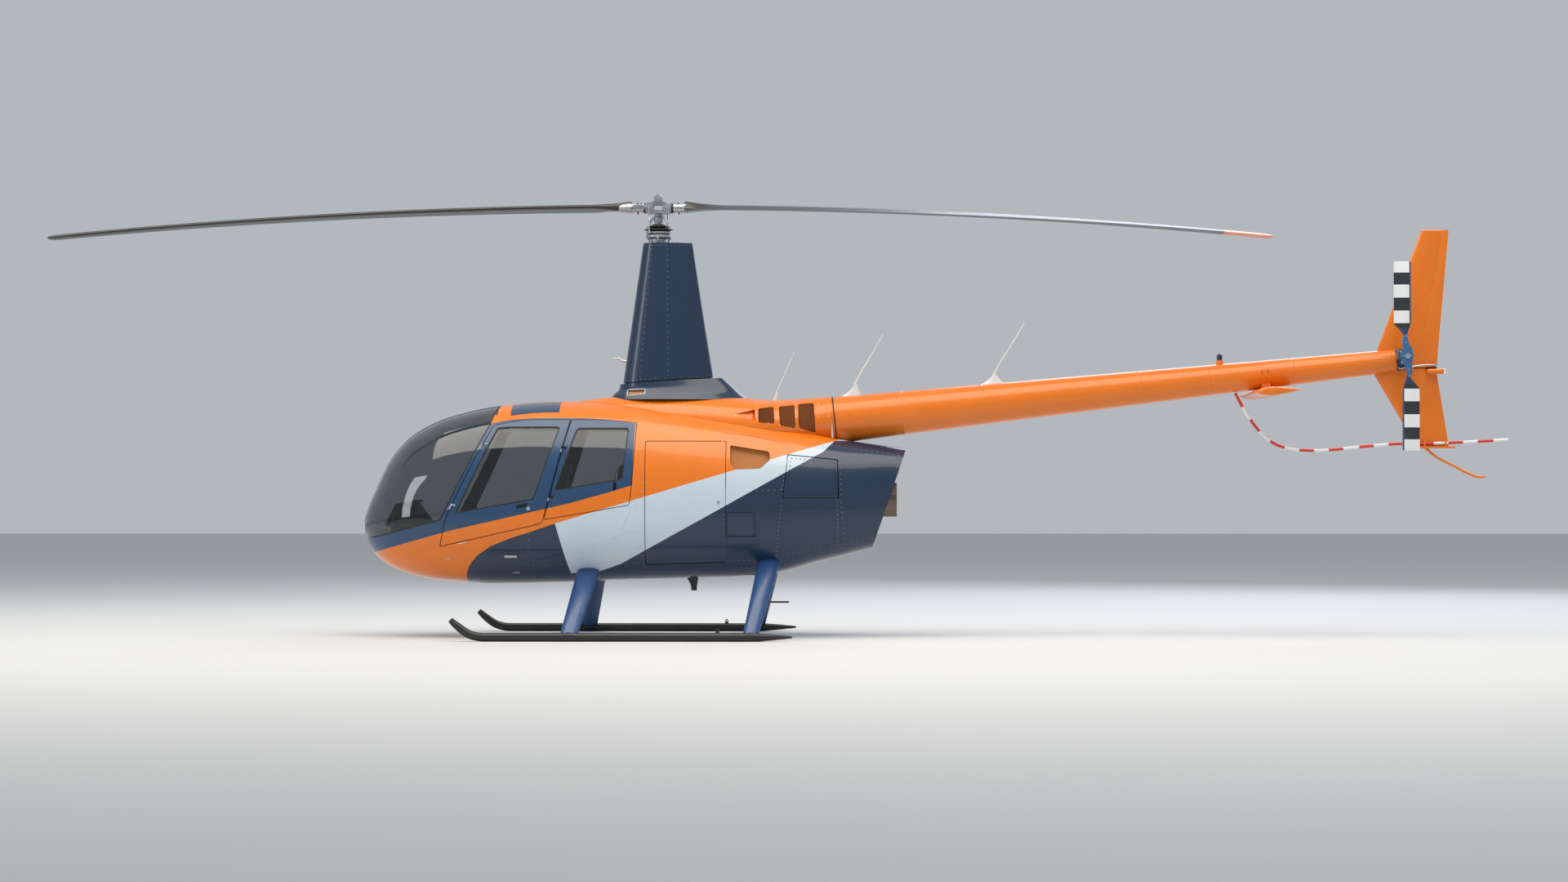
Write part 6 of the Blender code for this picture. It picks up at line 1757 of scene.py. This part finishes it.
seal_rubber = rubber
for side, word in SIDES:
    for outline, body in ((FRONT_WINDOW, "front_door_"), (REAR_WINDOW, "rear_door_")):
        loop = skin_loop(rounded(grown(outline, -0.004), 0.030), 0.02, side, -0.004)
        seal = ribbon(body + word + "_window_seal", loop, 0.013, 0.0028, -0.004, closed=True)
        dress(seal, seal_rubber, body + word, angle=40)
seals = []
for side in (-1, 1):
    seals.append(ribbon("screen_seal", skin_path([(-3.30, 0.8135), (-3.27, 0.818), (-3.119, 0.851), (-2.699, 0.958)],
        0.02, side), 0.010, 0.0012))
    seals.append(ribbon("screen_seal", skin_path([(-2.699, 0.958), (-2.3105, 1.730), (-2.275, 1.865)], 0.02, side),
        0.012, 0.0014))
    top_line = []
    for y in np.linspace(0.02, 0.36, 12):
        top, low, half, wide, up, down = former(-2.268)
        z = wide + (top - wide) * (1 - (y / half) ** up) ** (1 / up)
        top_line.append((Vector((-2.268, side * y, z)), Vector((0.05, side * y * 0.5, 1)).normalized()))
    seals.append(ribbon("screen_seal", top_line, 0.014, 0.0014))
dress(joined("windscreen_seals", seals), seal_rubber, angle=40)

# %% [markdown]
# A moulding covers the joint of the two windscreen halves. It is a flat cap swept up the nose, so its rings follow
# the roof line's own slope.

# %% Windscreen's centre strip
strip_rings = []
for s in np.linspace(0.02, math.sqrt(-2.262 - NOSE_X), 60):
    x = NOSE_X + s * s
    top = former(x)[0]
    ahead, behind = former(NOSE_X + (s + 0.01) ** 2)[0], former(NOSE_X + (s - 0.01) ** 2)[0]
    along = Vector(((s + 0.01) ** 2 - (s - 0.01) ** 2, 0, ahead - behind)).normalized()
    out = Vector((-along.z, 0, along.x))
    place = Vector((x, 0, top))
    strip_rings.append([tuple(place + Vector((0, y, 0)) + out * h) for y, h in ((-0.0150, -0.016), (-0.0150, 0.0),
        (-0.0125, 0.0015), (0.0125, 0.0015), (0.0150, 0.0), (0.0150, -0.016))])
low_rings = []
for s in np.linspace(0.02, 0.085, 10):
    x = NOSE_X + s * s
    low = former(x)[1]
    low_rings.append([(x - 0.0005 if h == 0 else x + 0.016, y, max(low, 0.812)) for y,
        h in ((-0.0150, 1), (-0.0150, 0), (-0.0125, 0), (0.0125, 0), (0.0150, 0), (0.0150, 1))])
strip = shell("windscreen_centre_moulding", low_rings[::-1] + strip_rings)
dress(strip, blue_paint, replaces=["windscreen_centre_strip"])

# %% [markdown]
# ## Door fittings
#
# Each cabin door hangs on two hinges: knuckles on the door's hinge line, with arms down to the skin. Each half rides
# with its own side of the joint. The cabin doors have a bar handle on a flat pad, the front doors and the baggage
# door a round lock, and the small doors are held by rows of fasteners. A step is fixed low on each flank.

# %% Hinges, handles, lock and step
dark_steel = finish("steel_black_oxide", "#2B2D30", 0.45, (80.0, 0.36, 0.55), 1.0)



def standing(place, out):
    """Matrix that stands a turned piece on the skin with its axis along out."""
    return Matrix.Translation(place) @ out.to_track_quat("Z", "Y").to_matrix().to_4x4()


FRONT_HINGE = (Vector((-2.6545, -0.670, 0.976)), Vector((-2.2765, -0.640, 1.730)))
REAR_HINGE = (Vector((-1.850, -0.770, 0.985)), Vector((-1.659, -0.660, 1.740)))


def hinge_set(line, shares, side, lead):
    """Two knuckles on the line with arms down to the skin on each side of the gap: one fixed, one on the door.
    Without a lead the fixed half is slimmer and reaches in to the post behind the gap."""
    reach, half, radius = 0.030, 0.026, 0.0062
    start, end = (Vector((p.x, p.y * -side, p.z)) for p in line)
    along = (end - start).normalized()
    fixed, moving = [], []
    for share in shares:
        place = start + (end - start) * share
        for pieces, sign in ((fixed, -1), (moving, 1)):
            near, far = place + along * (0.0004 * sign), place + along * (half * sign)
            if sign < 0 and lead is None:
                inner = Vector((place.x - 0.002, side * (skin_y(place.x - 0.002, place.z) - 0.045), place.z))
                pieces.append(round_bar("knuckle", near, far, 0.0056, sides=20))
                pieces.append(round_bar("arm", (near + far) / 2, inner, 0.0030, sides=14))
                continue
            pieces.append(round_bar("knuckle", near, far, radius, sides=20))
            foot_x, foot_z = place.x + (reach if sign > 0 else -lead), (near.z + far.z) / 2
            foot_point, out = on_skin(foot_x, foot_z, side, -0.002)
            pieces.append(round_bar("arm", (near + far) / 2, foot_point, radius * 0.8, radius * 0.95, sides=14))
            pad, out = on_skin(foot_x + 0.006 * sign, foot_z, side, 0.0)
            pieces.append(bolt("hinge_screw", tuple(pad + along * 0.012), out, 0.0038))
            pieces.append(bolt("hinge_screw", tuple(pad - along * 0.012), out, 0.0038))
    return fixed, moving


fixed_all = []
for side, word in SIDES:
    for line, shares, body, lead in ((FRONT_HINGE, (0.12, 0.76), "front_door_" + word, 0.018),
            (REAR_HINGE, (0.20, 0.72), "rear_door_" + word, None)):
        fixed, moving = hinge_set(line, shares, side, lead)
        fixed_all += fixed
        dress(joined(body + "_hinge_halves", moving), dark_steel if line is REAR_HINGE else bright_steel, body)
print(len(fixed_all), "pieces in the fixed hinge halves")
dress(joined("fixed_hinge_halves", fixed_all), bright_steel)
for side, word in SIDES:
    place, out = on_skin(-1.976, 1.052, side)
    lock = turned("lock", [(0.0155, -0.002), (0.0165, 0.002), (0.0155, 0.005), (0.011, 0.0065), (0.0105, 0.005),
        (0.004, 0.0052)], (0, 0), 36)
    lock.data.transform(standing(place, out))
    dress(joined("front_door_" + word + "_lock", [lock]), bright_steel, "front_door_" + word)
    for body, x0, x1, z0, z1 in (("front_door_", -2.072, -1.990, 1.064, 1.082), ("rear_door_", -1.286, -1.284, 1.205,
            1.262)):
        path = spaced([(x0, z0), (x1, z1)], 0.012)
        places = [on_skin(p.x, p.y, side) for p in path]
        grip = tube("handle_grip", [tuple(p + n * h) + (0.0055,) for (p, n), h in zip(places, [0.0]
            + [0.016] * (len(places) - 2) + [0.0])], 16, 0.008)
        pad = ribbon("handle_pad", places, 0.026, 0.0022)
        dress(joined(body + word + "_handle", [pad, grip]), dark_steel, body + word, angle=40)
    catch = [bolt("catch", tuple(on_skin(x, 0.938, side)[0]), on_skin(x, 0.938, side)[1], 0.0075)
        for x in (-1.922, -1.896)]
    dress(joined("front_door_" + word + "_catch", catch), orange_paint, "front_door_" + word)
step_bits = []
for side in (-1, 1):
    rings = []
    for x, w in ((-2.176, 0.004), (-2.170, 0.012), (-2.078, 0.012), (-2.072, 0.004)):
        place, out = on_skin(x, 0.675, side)
        rings.append([tuple(place + out * h + Vector((0, 0, dz))) for h, dz in ((-0.004, -w), (0.020, -w * 0.8),
            (0.024, 0.0), (0.020, w * 0.8), (-0.004, w))])
    step_bits.append(shell("step", rings))
    step_bits.append(ribbon("drain", skin_path([(-2.125, 0.534), (-2.065, 0.534)], 0.01, side), 0.012, 0.006))
    for line in ([(-2.552, 0.767), (-2.478, 0.780)], [(-2.661, 0.650), (-2.621, 0.644)]):
        step_bits.append(ribbon("slot", skin_path(line, 0.012, side), 0.009, 0.003))
dress(joined("steps_and_drains", step_bits), bright_steel)
for side, word in SIDES:
    loop = skin_loop(rounded(grown(COWL_DOOR, -0.022), 0.010), 0.035, side)
    dress(rivets("cowl_door_" + word + "_fasteners", loop, 0.0048, 0.0016, 12), dark_steel, "cowl_door_" + word,
        angle=50)
loop = skin_loop(rounded(grown(BAGGAGE_DOOR, -0.016), 0.012), 0.040)
# Bright bare alloy on the heads, not the body's paint over them: painted highlight.
dress(rivets("baggage_door_rivets", loop, 0.0026, 0.0010), alloy, "baggage_door", angle=50)
place, out = on_skin(-0.455, 1.10, -1)
lock = turned("lock", [(0.0125, -0.002), (0.0135, 0.002), (0.0125, 0.004), (0.008, 0.005), (0.0075, 0.004),
    (0.003, 0.0042)], (0, 0), 32)
lock.data.transform(standing(place, out))
dress(lock, bright_steel, "baggage_door")
loop = skin_loop(rounded(grown(ACCESS_DOOR, -0.012), 0.010), 0.036)
dress(rivets("access_door_fasteners", loop, 0.0034, 0.0012, 10), dark_steel, "access_door", angle=50)

# %% [markdown]
# ## Trim
#
# Inside, the skins are covered with grey trim. A second shell would be as thin as the paint, so the faces that look
# towards the cabin's middle get the trim's finish instead.

# %% Trim on the inner faces
trim = finish("vinyl_trim_dark_grey", "#3C3E41", 0.62, (180.0, 0.55, 0.72, 0.15, 0.3))
primer = finish("zinc_primer_grey", "#8A8F88", 0.60, (30.0, 0.52, 0.70))


def line_inside(obj, mat):
    """Give the faces that look towards the cabin's middle another finish."""
    if mat.name not in obj.data.materials:
        obj.data.materials.append(mat)
    for face in obj.data.polygons:
        c = face.center
        away = Vector((min(0.0, c.x + 2.0), c.y, c.z - 1.06)).normalized()
        if face.normal.dot(away) < -0.3 and not (c.x > 0.7 and abs(face.normal.x) > 0.6):
            face.material_index = len(obj.data.materials) - 1


for obj in [body_shell] + [bpy.data.objects[n] for n in ("front_door_panel_left", "front_door_panel_right",
        "rear_door_panel_left", "rear_door_panel_right", "baggage_door_panel", "cowl_door_panel_left",
        "cowl_door_panel_right", "access_door_panel")]:
    line_inside(obj, trim)

# %% [markdown]
# ## Frames and bulkheads
#
# A hoop stands behind the meeting edges of the front and rear doors. A bulkhead closes the cabin. Behind it lie the
# baggage bay, the firewall and the engine bay, closed by a slanted end plate with the exhaust in it. All are cut from
# the inner loft, so they meet the skin.

# %% Hoop, bulkheads and end plate
HOOP = [(-1.576, 1.960), (-1.628, 1.960), (-1.882, 0.960), (-1.920, 0.6203), (-1.870, 0.6203), (-1.830, 0.960)]
hoop = hull("door_hoop", 0.039)
boolean(hoop, cutter("hoop_zone", HOOP, -1.0, 1.0), "INTERSECT")
boolean(hoop, hull("hoop_inside", 0.066))
soften(hoop, 0.004, 50)
dress(hoop, trim, angle=30)
walls = []
for low, high in (((-1.130, -1.0, 0.3), (-1.097, 1.0, 2.0)), ((-0.428, -1.0, 0.3), (-0.402, 1.0, 2.0)),
        ((-1.096, -1.0, 0.535), (-0.429, 1.0, 0.549)), ((-1.096, -1.0, 1.680), (-0.429, 1.0, 1.692))):
    wall = copy_of(inner_skin, "bay_wall")
    boolean(wall, block("wall_zone", low, high), "INTERSECT")
    walls.append(wall)
print(len(walls), "walls behind the cabin")
dress(joined("bay_walls", walls), primer, angle=30)
end = copy_of(inner_skin, "aft_end_plate")
inner_line = [(x - 0.020, z) for x, z in aft_edge]
boolean(end, cutter("end_zone", [inner_line[0], (aft_edge[0][0] - 0.001, aft_edge[0][1]),
    (aft_edge[1][0] - 0.001, aft_edge[1][1]), inner_line[1]], -1.0, 1.0), "INTERSECT")
boolean(end, shell("outlet_room", [[(x, 0.150 * math.cos(a), 1.120 + 0.190 * math.sin(a))
    for a in np.linspace(0, 2 * math.pi, 49)[:-1]] for x in (0.6, 1.3)]))
boolean(end, round_bar("boom_end", (0.20, 0, 1.7437), (2.0, 0, 1.934), 0.1935, 0.160, 48))
dress(end, navy_paint, angle=30)
exhaust_metal = finish("stainless_steel_heat_tinted", "#7C6F62", 0.42, (12.0, 0.32, 0.55), 1.0)
carpet = finish("wool_carpet_charcoal", "#2E3033", 0.95, (600.0, 0.90, 1.0, 0.6, 1.5), Sheen_Weight=0.3)
for name, mat in (("cabin_floor", carpet), ("engine_block", alloy), ("exhaust_pipe", exhaust_metal)):
    part = nodes[name] if name in nodes else bpy.data.objects[name]
    part.data.materials.clear()
    part.data.materials.append(mat)

# %% [markdown]
# ## Seats
#
# Each seat is a boxed base with a loose cushion and a back. The cushions are foam under leather. A block is remeshed,
# blown up a little by Blender's cloth with pressure and no gravity, and the swelling capped, so its faces crown and
# its edges pull in. The sewn lines are pressed in afterwards.

# %% Leather and cushions
FLOOR_Z = 0.6212
leather, tree, shader = material("corrected_grain_leather_grey", "#4B4A49", 0.52, Sheen_Weight=0.05)
place, noise = uneven(tree, shader, 9.0, 0.44, 0.60)
grain = node(tree, "ShaderNodeTexVoronoi", {"Scale": 520.0}, {"Vector": place.outputs["Object"]})
relief = node(tree, "ShaderNodeBump", {"Strength": 0.22, "Distance": 0.0006}, {"Height": grain.outputs["Distance"]})
tree.links.new(relief.outputs[0], shader.inputs["Normal"])


def slab(name, outline, low, high, corner):
    """Block from a side outline with all its edges well rounded."""
    obj = cutter(name, outline, low, high)
    soften(obj, corner, 40, segments=3)
    return obj


def blow_up(obj, name, cap, lines, voxel=0.009):
    """Remesh, swell by cloth pressure, cap the movement, press the sewn lines, smooth."""
    obj.name = name
    apply(obj, "REMESH", mode="VOXEL", voxel_size=voxel)
    start = np.array([v.co[:] for v in obj.data.vertices])
    middle = start.mean(axis=0)
    cloth = obj.modifiers.new("Cloth", "CLOTH")
    cloth.settings.use_pressure = True
    cloth.settings.uniform_pressure_force = 4.0
    cloth.settings.effector_weights.gravity = 0.0
    cloth.settings.quality = 4
    cloth.collision_settings.use_collision = False
    for step in range(1, 21):
        bpy.context.scene.frame_set(step)
    pick(obj)
    bpy.ops.object.modifier_apply(modifier=cloth.name)
    bpy.context.scene.frame_set(1)
    end = np.array([v.co[:] for v in obj.data.vertices])
    move = end - start - (end.mean(axis=0) - middle)
    size = np.linalg.norm(move, axis=1)[:, None]
    end = start + move * np.minimum(1.0, cap / np.maximum(size, 1e-9))
    for axis, at, depth, width in lines:
        press = depth * np.exp(-((end[:, axis] - at) / width) ** 2)
        out = end - end.mean(axis=0)
        out[:, axis] = 0
        out /= np.maximum(np.linalg.norm(out, axis=1), 1e-9)[:, None]
        end = end - out * press[:, None]
    obj.data.vertices.foreach_set("co", end.astype(np.float32).ravel())
    obj.data.update()
    apply(obj, "SUBSURF", levels=1, render_levels=1)
    return obj


front_cushion = blow_up(slab("slab", [(-2.312, 0.850), (-2.318, 0.912), (-1.975, 0.888), (-1.955, 0.846)], -0.548,
    -0.102, 0.018), "front_seat_cushion_left", 0.022, [(1, -0.430, 0.007, 0.010), (1, -0.220, 0.007, 0.010)])
front_back = blow_up(slab("slab", [(-1.938, 0.905), (-1.892, 0.895), (-1.745, 1.398), (-1.792, 1.402)], -0.548,
    -0.102, 0.016), "front_seat_back_left", 0.020, [(1, -0.430, 0.006, 0.010), (1, -0.220, 0.006, 0.010),
    (2, 1.160, 0.006, 0.012)])
rear_cushion = blow_up(slab("slab", [(-1.728, 0.838), (-1.730, 0.886), (-1.345, 0.868), (-1.330, 0.830)], -0.590,
    -0.018, 0.018), "rear_seat_cushion_left", 0.022, [(1, -0.440, 0.007, 0.010), (1, -0.170, 0.007, 0.010)])
rear_back = blow_up(slab("slab", [(-1.318, 0.886), (-1.272, 0.880), (-1.195, 1.420), (-1.238, 1.425)], -0.590, -0.018,
    0.016), "rear_seat_back_left", 0.020, [(1, -0.440, 0.006, 0.010), (1, -0.170, 0.006, 0.010),
    (2, 1.160, 0.006, 0.012)])
for pad in (front_cushion, front_back, rear_cushion, rear_back):
    held = "seat_front_left" if pad.name.startswith("front") else "seat_rear_bench"
    pair = mirrored(pad, pad.name.replace("left", "right"))
    dress(pad, leather, replaces=[held], angle=60)
    dress(pair, leather, replaces=[held.replace("left", "right")], angle=60)
bases = []
for outline, low, high in (([(-2.318, FLOOR_Z), (-2.326, 0.842), (-1.900, 0.842), (-1.846, FLOOR_Z)], 0.100, 0.550),
        ([(-1.880, 0.850), (-1.862, 0.850), (-1.715, 1.410), (-1.733, 1.412)], 0.100, 0.550),
        ([(-1.728, FLOOR_Z), (-1.736, 0.828), (-1.250, 0.828), (-1.250, FLOOR_Z)], 0.004, 0.590),
        ([(-1.262, 0.840), (-1.250, 0.840), (-1.172, 1.434), (-1.186, 1.434)], 0.004, 0.590)):
    for side in (-1, 1):
        box = plate("seat_box", outline, min(side * low, side * high), max(side * low, side * high), 0.006)
        boolean(box, hull("room", 0.080), "INTERSECT")
        bases.append(box)
dress(joined("seat_boxes", bases), trim, replaces=["seat_front_left", "seat_front_right", "seat_rear_bench"])

# %% [markdown]
# Two seats in front and two places on the bench have a lap belt and a shoulder belt of woven webbing. A flat strap is
# swept along a smooth path over the cushions, and a buckle lies at the middle.

# %% Belts
webbing = finish("polyester_webbing_black", "#1E1F22", 0.8, (300.0, 0.72, 0.88, 0.5, 0.6, (1, 3, 1)))


def strap(name, points, width, thick, across):
    path, length = smooth_path([p + (0.0,) for p in points], 0.012)
    rings = []
    for i, row in enumerate(path):
        ahead, behind = path[min(i + 1, len(path) - 1)][:3], path[max(i - 1, 0)][:3]
        along = Vector(ahead - behind).normalized()
        wide = Vector(across) - along * Vector(across).dot(along)
        wide.normalize()
        out = along.cross(wide).normalized() * (thick / 2)
        p, w = Vector(row[:3]), wide * (width / 2)
        rings.append([tuple(p - w - out), tuple(p + w - out), tuple(p + w + out), tuple(p - w + out)])
    return shell(name, rings)


belts, buckles = [], []
for x0, z0, x1, z1, y_in, y_out in ((-2.06, 0.930, -1.925, 0.925, 0.125, 0.530), (-1.45, 0.905, -1.325, 0.905, 0.045,
        0.560)):
    for side in (-1, 1):
        yi, yo = side * y_in, side * y_out
        middle = (yi + yo) / 2
        belts.append(strap("lap_belt", [(x1 + 0.03, yi, z1 - 0.010), (x1 - 0.03, yi, z1 + 0.004),
            (x0, yi + side * 0.05, z0 + 0.004), (x0 - 0.02, middle, z0 + 0.008), (x0, yo - side * 0.05, z0 + 0.004),
            (x1 - 0.03, yo, z1 + 0.004), (x1 + 0.03, yo, z1 - 0.010)], 0.046, 0.0022, (1, 0, 0.35)))
        lean = 0.29 if x0 < -1.7 else 0.15
        belts.append(strap("shoulder_belt", [(x0 - 0.015, middle, z0 + 0.012), (x1 - 0.035, middle + side * 0.02, z1
            + 0.040), (x1 - 0.028 + lean * 0.24, middle + side * 0.08, z1 + 0.240), (x1 - 0.024 + lean * 0.47, middle
            + side * 0.13, z1 + 0.470), (x1 + 0.035 + lean * 0.47, middle + side * 0.145, z1 + 0.505)], 0.046, 0.0022,
            (0, 1, 0)))
        buckle = plate("buckle", [(x0 - 0.046, z0 + 0.008), (x0 + 0.012, z0 + 0.008), (x0 + 0.012, z0 + 0.022),
            (x0 - 0.046, z0 + 0.022)], middle - 0.028, middle + 0.028, 0.004)
        buckles.append(buckle)
print(len(belts), "straps and", len(buckles), "buckles")
dress(joined("seat_belts", belts), webbing, angle=40)
dress(joined("belt_buckles", buckles), bright_steel)

# %% [markdown]
# ## Instruments and controls
#
# A narrow console stands between the front footwells with a hood on top, two rows of round dials and a stack of
# radios. The dials are black discs behind bezels, with plain ticks and pointers. The pilot's stick is one bar on a
# centre post, so that both front seats reach it.

# %% Console and dials
console_black = finish("crackle_paint_black", "#202123", 0.7, (260.0, 0.60, 0.80, 0.35, 0.4))
dial_black = finish("dial_face_matt_black", "#0E0E0F", 0.6, (50.0, 0.52, 0.66))
mark_white = finish("dial_mark_white", "#E8E8E2", 0.5, (50.0, 0.44, 0.58))
CONSOLE = [(-3.130, FLOOR_Z), (-3.150, 0.900), (-3.060, 1.080), (-2.960, 1.100), (-2.900, 1.020), (-2.700, 0.760),
    (-2.700, FLOOR_Z)]
console = slab("console_body", CONSOLE, -0.185, 0.185, 0.010)
hood = slab("console_hood", [(-3.200, 0.905), (-3.110, 1.088), (-2.940, 1.122), (-2.925, 1.108), (-3.060, 1.070),
    (-3.160, 0.900)], -0.215, 0.215, 0.006)
boolean(hood, hull("room", 0.055), "INTERSECT")
dress(joined("console_body", [console, hood]), console_black, replaces=["instrument_console"])
faces, rims, marks, keys = [], [], [], []
upper_a, upper_b = Vector((-2.960, 0, 1.100)), Vector((-2.900, 0, 1.020))
lower_b = Vector((-2.700, 0, 0.760))


def on_panel(a, b, along, y):
    d = (b - a).normalized()
    return a + d * along + Vector((0, y, 0)), Vector((-d.z, 0, d.x)) if -d.z > 0 else Vector((d.z, 0, -d.x)), d


def dial(a, b, along, y, radius, turn):
    place, out, down = on_panel(a, b, along, y)
    matrix = standing(place, out)
    rim = turned("rim", [(radius * 0.90, -0.002), (radius * 1.06, -0.002), (radius * 1.08, 0.003), (radius, 0.0055),
        (radius * 0.92, 0.003)], (0, 0), 40)
    face = turned("face", [(radius * 0.93, -0.001), (radius * 0.93, 0.0012)], (0, 0), 40)
    for bit, group in ((rim, rims), (face, faces)):
        bit.data.transform(matrix)
        group.append(bit)
    for k in range(12):
        tick = block("tick", (-radius * 0.02, radius * 0.70, 0.0012), (radius * 0.02, radius * 0.86, 0.0018))
        tick.data.transform(matrix @ Matrix.Rotation(math.radians(30 * k), 4, "Z"))
        marks.append(tick)
    hand = block("hand", (-radius * 0.025, -radius * 0.15, 0.0022), (radius * 0.025, radius * 0.66, 0.0028))
    hand.data.transform(matrix @ Matrix.Rotation(math.radians(turn), 4, "Z"))
    marks.append(hand)


for along, y, turn in ((0.050, -0.125, 40), (0.050, -0.042, 120), (0.050, 0.042, 200), (0.050, 0.125, 300)):
    dial(upper_a, upper_b, along, y, 0.036, turn)
for along, y, turn in ((0.045, -0.125, 80), (0.045, -0.042, 10), (0.045, 0.042, 250), (0.045, 0.125, 150)):
    dial(upper_b, lower_b, along, y, 0.036, turn)
for row in range(4):
    place, out, down = on_panel(upper_b, lower_b, 0.115 + 0.052 * row, 0.0)
    matrix = Matrix.Translation(place) @ Matrix((down, (0, 1, 0), out)).transposed().to_4x4()
    unit = block("radio", (-0.021, -0.080, -0.002), (0.021, 0.080, 0.006))
    soften(unit, 0.002)
    unit.data.transform(matrix)
    keys.append(unit)
    glass = block("window", (-0.012, -0.045, 0.006), (0.012, 0.045, 0.0068))
    glass.data.transform(matrix)
    faces.append(glass)
    for y in (-0.064, 0.064):
        knob = turned("knob", [(0.0085, 0.0), (0.0085, 0.010), (0.0070, 0.013)], (0, 0), 24)
        knob.data.transform(matrix @ Matrix.Translation((0, y, 0.006)))
        keys.append(knob)
print(len(faces), "dials")
dress(joined("dial_faces", faces), dial_black)
dress(joined("dial_rims", rims), dark_steel)
dress(joined("dial_marks", marks), mark_white, angle=0)
dress(joined("radio_stack", keys), console_black)

# %% [markdown]
# One stick stands in the middle and carries a bar with a grip at each end, so that it reaches both front seats. The
# pedals are small plates on bent arms, and the lever lies beside the left seat.

# %% Stick, pedals and lever
stick = [tube("stick_post", [(-2.460, 0, 0.622, 0.015), (-2.460, 0, 0.70, 0.015), (-2.468, 0, 0.80, 0.0145),
    (-2.490, 0, 0.95, 0.0135), (-2.516, 0, 1.112, 0.0125)], 24), tube("stick_bar", [(-2.515, -0.330, 1.100, 0.011),
    (-2.515, 0.0, 1.106, 0.0115), (-2.515, 0.330, 1.100, 0.011)], 20, 0.03), turned("stick_boot",
    [(0.055, 0.622), (0.050, 0.632), (0.034, 0.640), (0.034, 0.646), (0.026, 0.652), (0.020, 0.668), (0.016, 0.672)],
    (-2.460, 0), 36)]
dress(joined("stick_and_bar", stick), console_black, replaces=["cyclic_stick"])
grip_list = []
for y in (-0.330, 0.330):
    grip_list.append(tube("stick_grip", [(-2.516, y, 1.118, 0.013), (-2.516, y, 1.100, 0.0165),
        (-2.513, y, 1.060, 0.0150), (-2.509, y, 1.020, 0.0165), (-2.505, y, 0.975, 0.0150),
        (-2.504, y, 0.966, 0.011)], 24, 0.006))
dress(joined("stick_grips", grip_list), rubber, angle=40)
pedals = []
for y in (-0.345, -0.225, 0.225, 0.345):
    pedals.append(plate("pedal", [(-2.830, 0.700), (-2.800, 0.760), (-2.792, 0.756), (-2.822, 0.696)], y - 0.038, y
        + 0.038, 0.003))
    pedals.append(tube("pedal_arm", [(-2.816, y, 0.735, 0.007), (-2.855, y, 0.700, 0.007), (-2.865, y, 0.632, 0.007)],
        14))
lever = tube("lever", [(-1.980, -0.070, 0.680, 0.012), (-2.150, -0.068, 0.780, 0.012), (-2.290, -0.066, 0.858, 0.012),
    (-2.400, -0.066, 0.905, 0.017), (-2.445, -0.066, 0.922, 0.016)], 20)
print(len(pedals) // 2, "pedals")
dress(joined("pedals_and_lever", pedals + [lever]), dark_steel)

# %% [markdown]
# The lofts and rooms that only served as cutters go now.

# %% Remove the helpers
for spare in (outer_skin, inner_skin, body_room):
    bpy.data.objects.remove(spare, do_unlink=True)

# %% [markdown]
# ## Studio
#
# The helicopter stands on a plain pale floor in soft light. A large soft box hangs high over the left side, so that
# its reflection runs along the roof and the boom and stays out of the windows. A tall one ahead draws the bright line
# down the mast fairing, a faint one behind lifts the far edges, and the pale world fills the shadows. The camera
# stands where the photograph's did, 29 m to the left, and looks a little upwards.

# %% Floor, lights and camera
pick()
bpy.ops.mesh.primitive_plane_add(size=1)
floor = bpy.context.object
floor.name = "studio_floor"
edit(floor)
bpy.ops.transform.resize(value=(160, 160, 1), center_override=(0, 0, 0))
leave()
floor_mat = finish("matt_studio_floor", "#CDCFD1", 0.85, (2.0, 0.80, 0.90))
floor.data.materials.append(floor_mat)

world = bpy.data.worlds.new("studio_world")
bpy.context.scene.world = world
world.use_nodes = True
background = world.node_tree.nodes["Background"]
background.inputs["Color"].default_value = linear("#E9EEF4")
background.inputs["Strength"].default_value = 0.56


def soft_light(name, place, aim, size, power, code):
    pick()
    bpy.ops.object.light_add(type="AREA", location=place)
    light = bpy.context.object
    light.name = name
    light.data.shape = "RECTANGLE"
    light.data.size, light.data.size_y = size
    light.data.energy = power
    light.data.color = linear(code)[:3]
    light.rotation_mode = "QUATERNION"
    light.rotation_quaternion = (Vector(aim) - Vector(place)).to_track_quat("-Z", "Y")


soft_light("key_light", (-1.0, -3.5, 13.0), (0, 0, 1.2), (22, 11), 2600, "#FFF6E8")
soft_light("front_light", (-17.0, -9.0, 5.0), (-1.0, 0, 1.8), (2.5, 9), 380, "#FFFFFF")
soft_light("back_light", (7.0, 12.0, 9.0), (0, 0, 1.5), (12, 8), 900, "#E8F0FF")

pick()
bpy.ops.object.camera_add(location=(0.563, -29.0, 1.147), rotation=(math.radians(90.9), 0, math.radians(0.993)))
camera = bpy.context.object
camera.name = "photo_camera"
camera.data.lens = 81.1
camera.data.clip_end = 200
bpy.context.scene.camera = camera
bpy.context.scene.view_settings.view_transform = "Standard"

# %% [markdown]
# ## Last update
#
# The view layer is brought up to date.

# %% Update the view layer
bpy.context.view_layer.update()
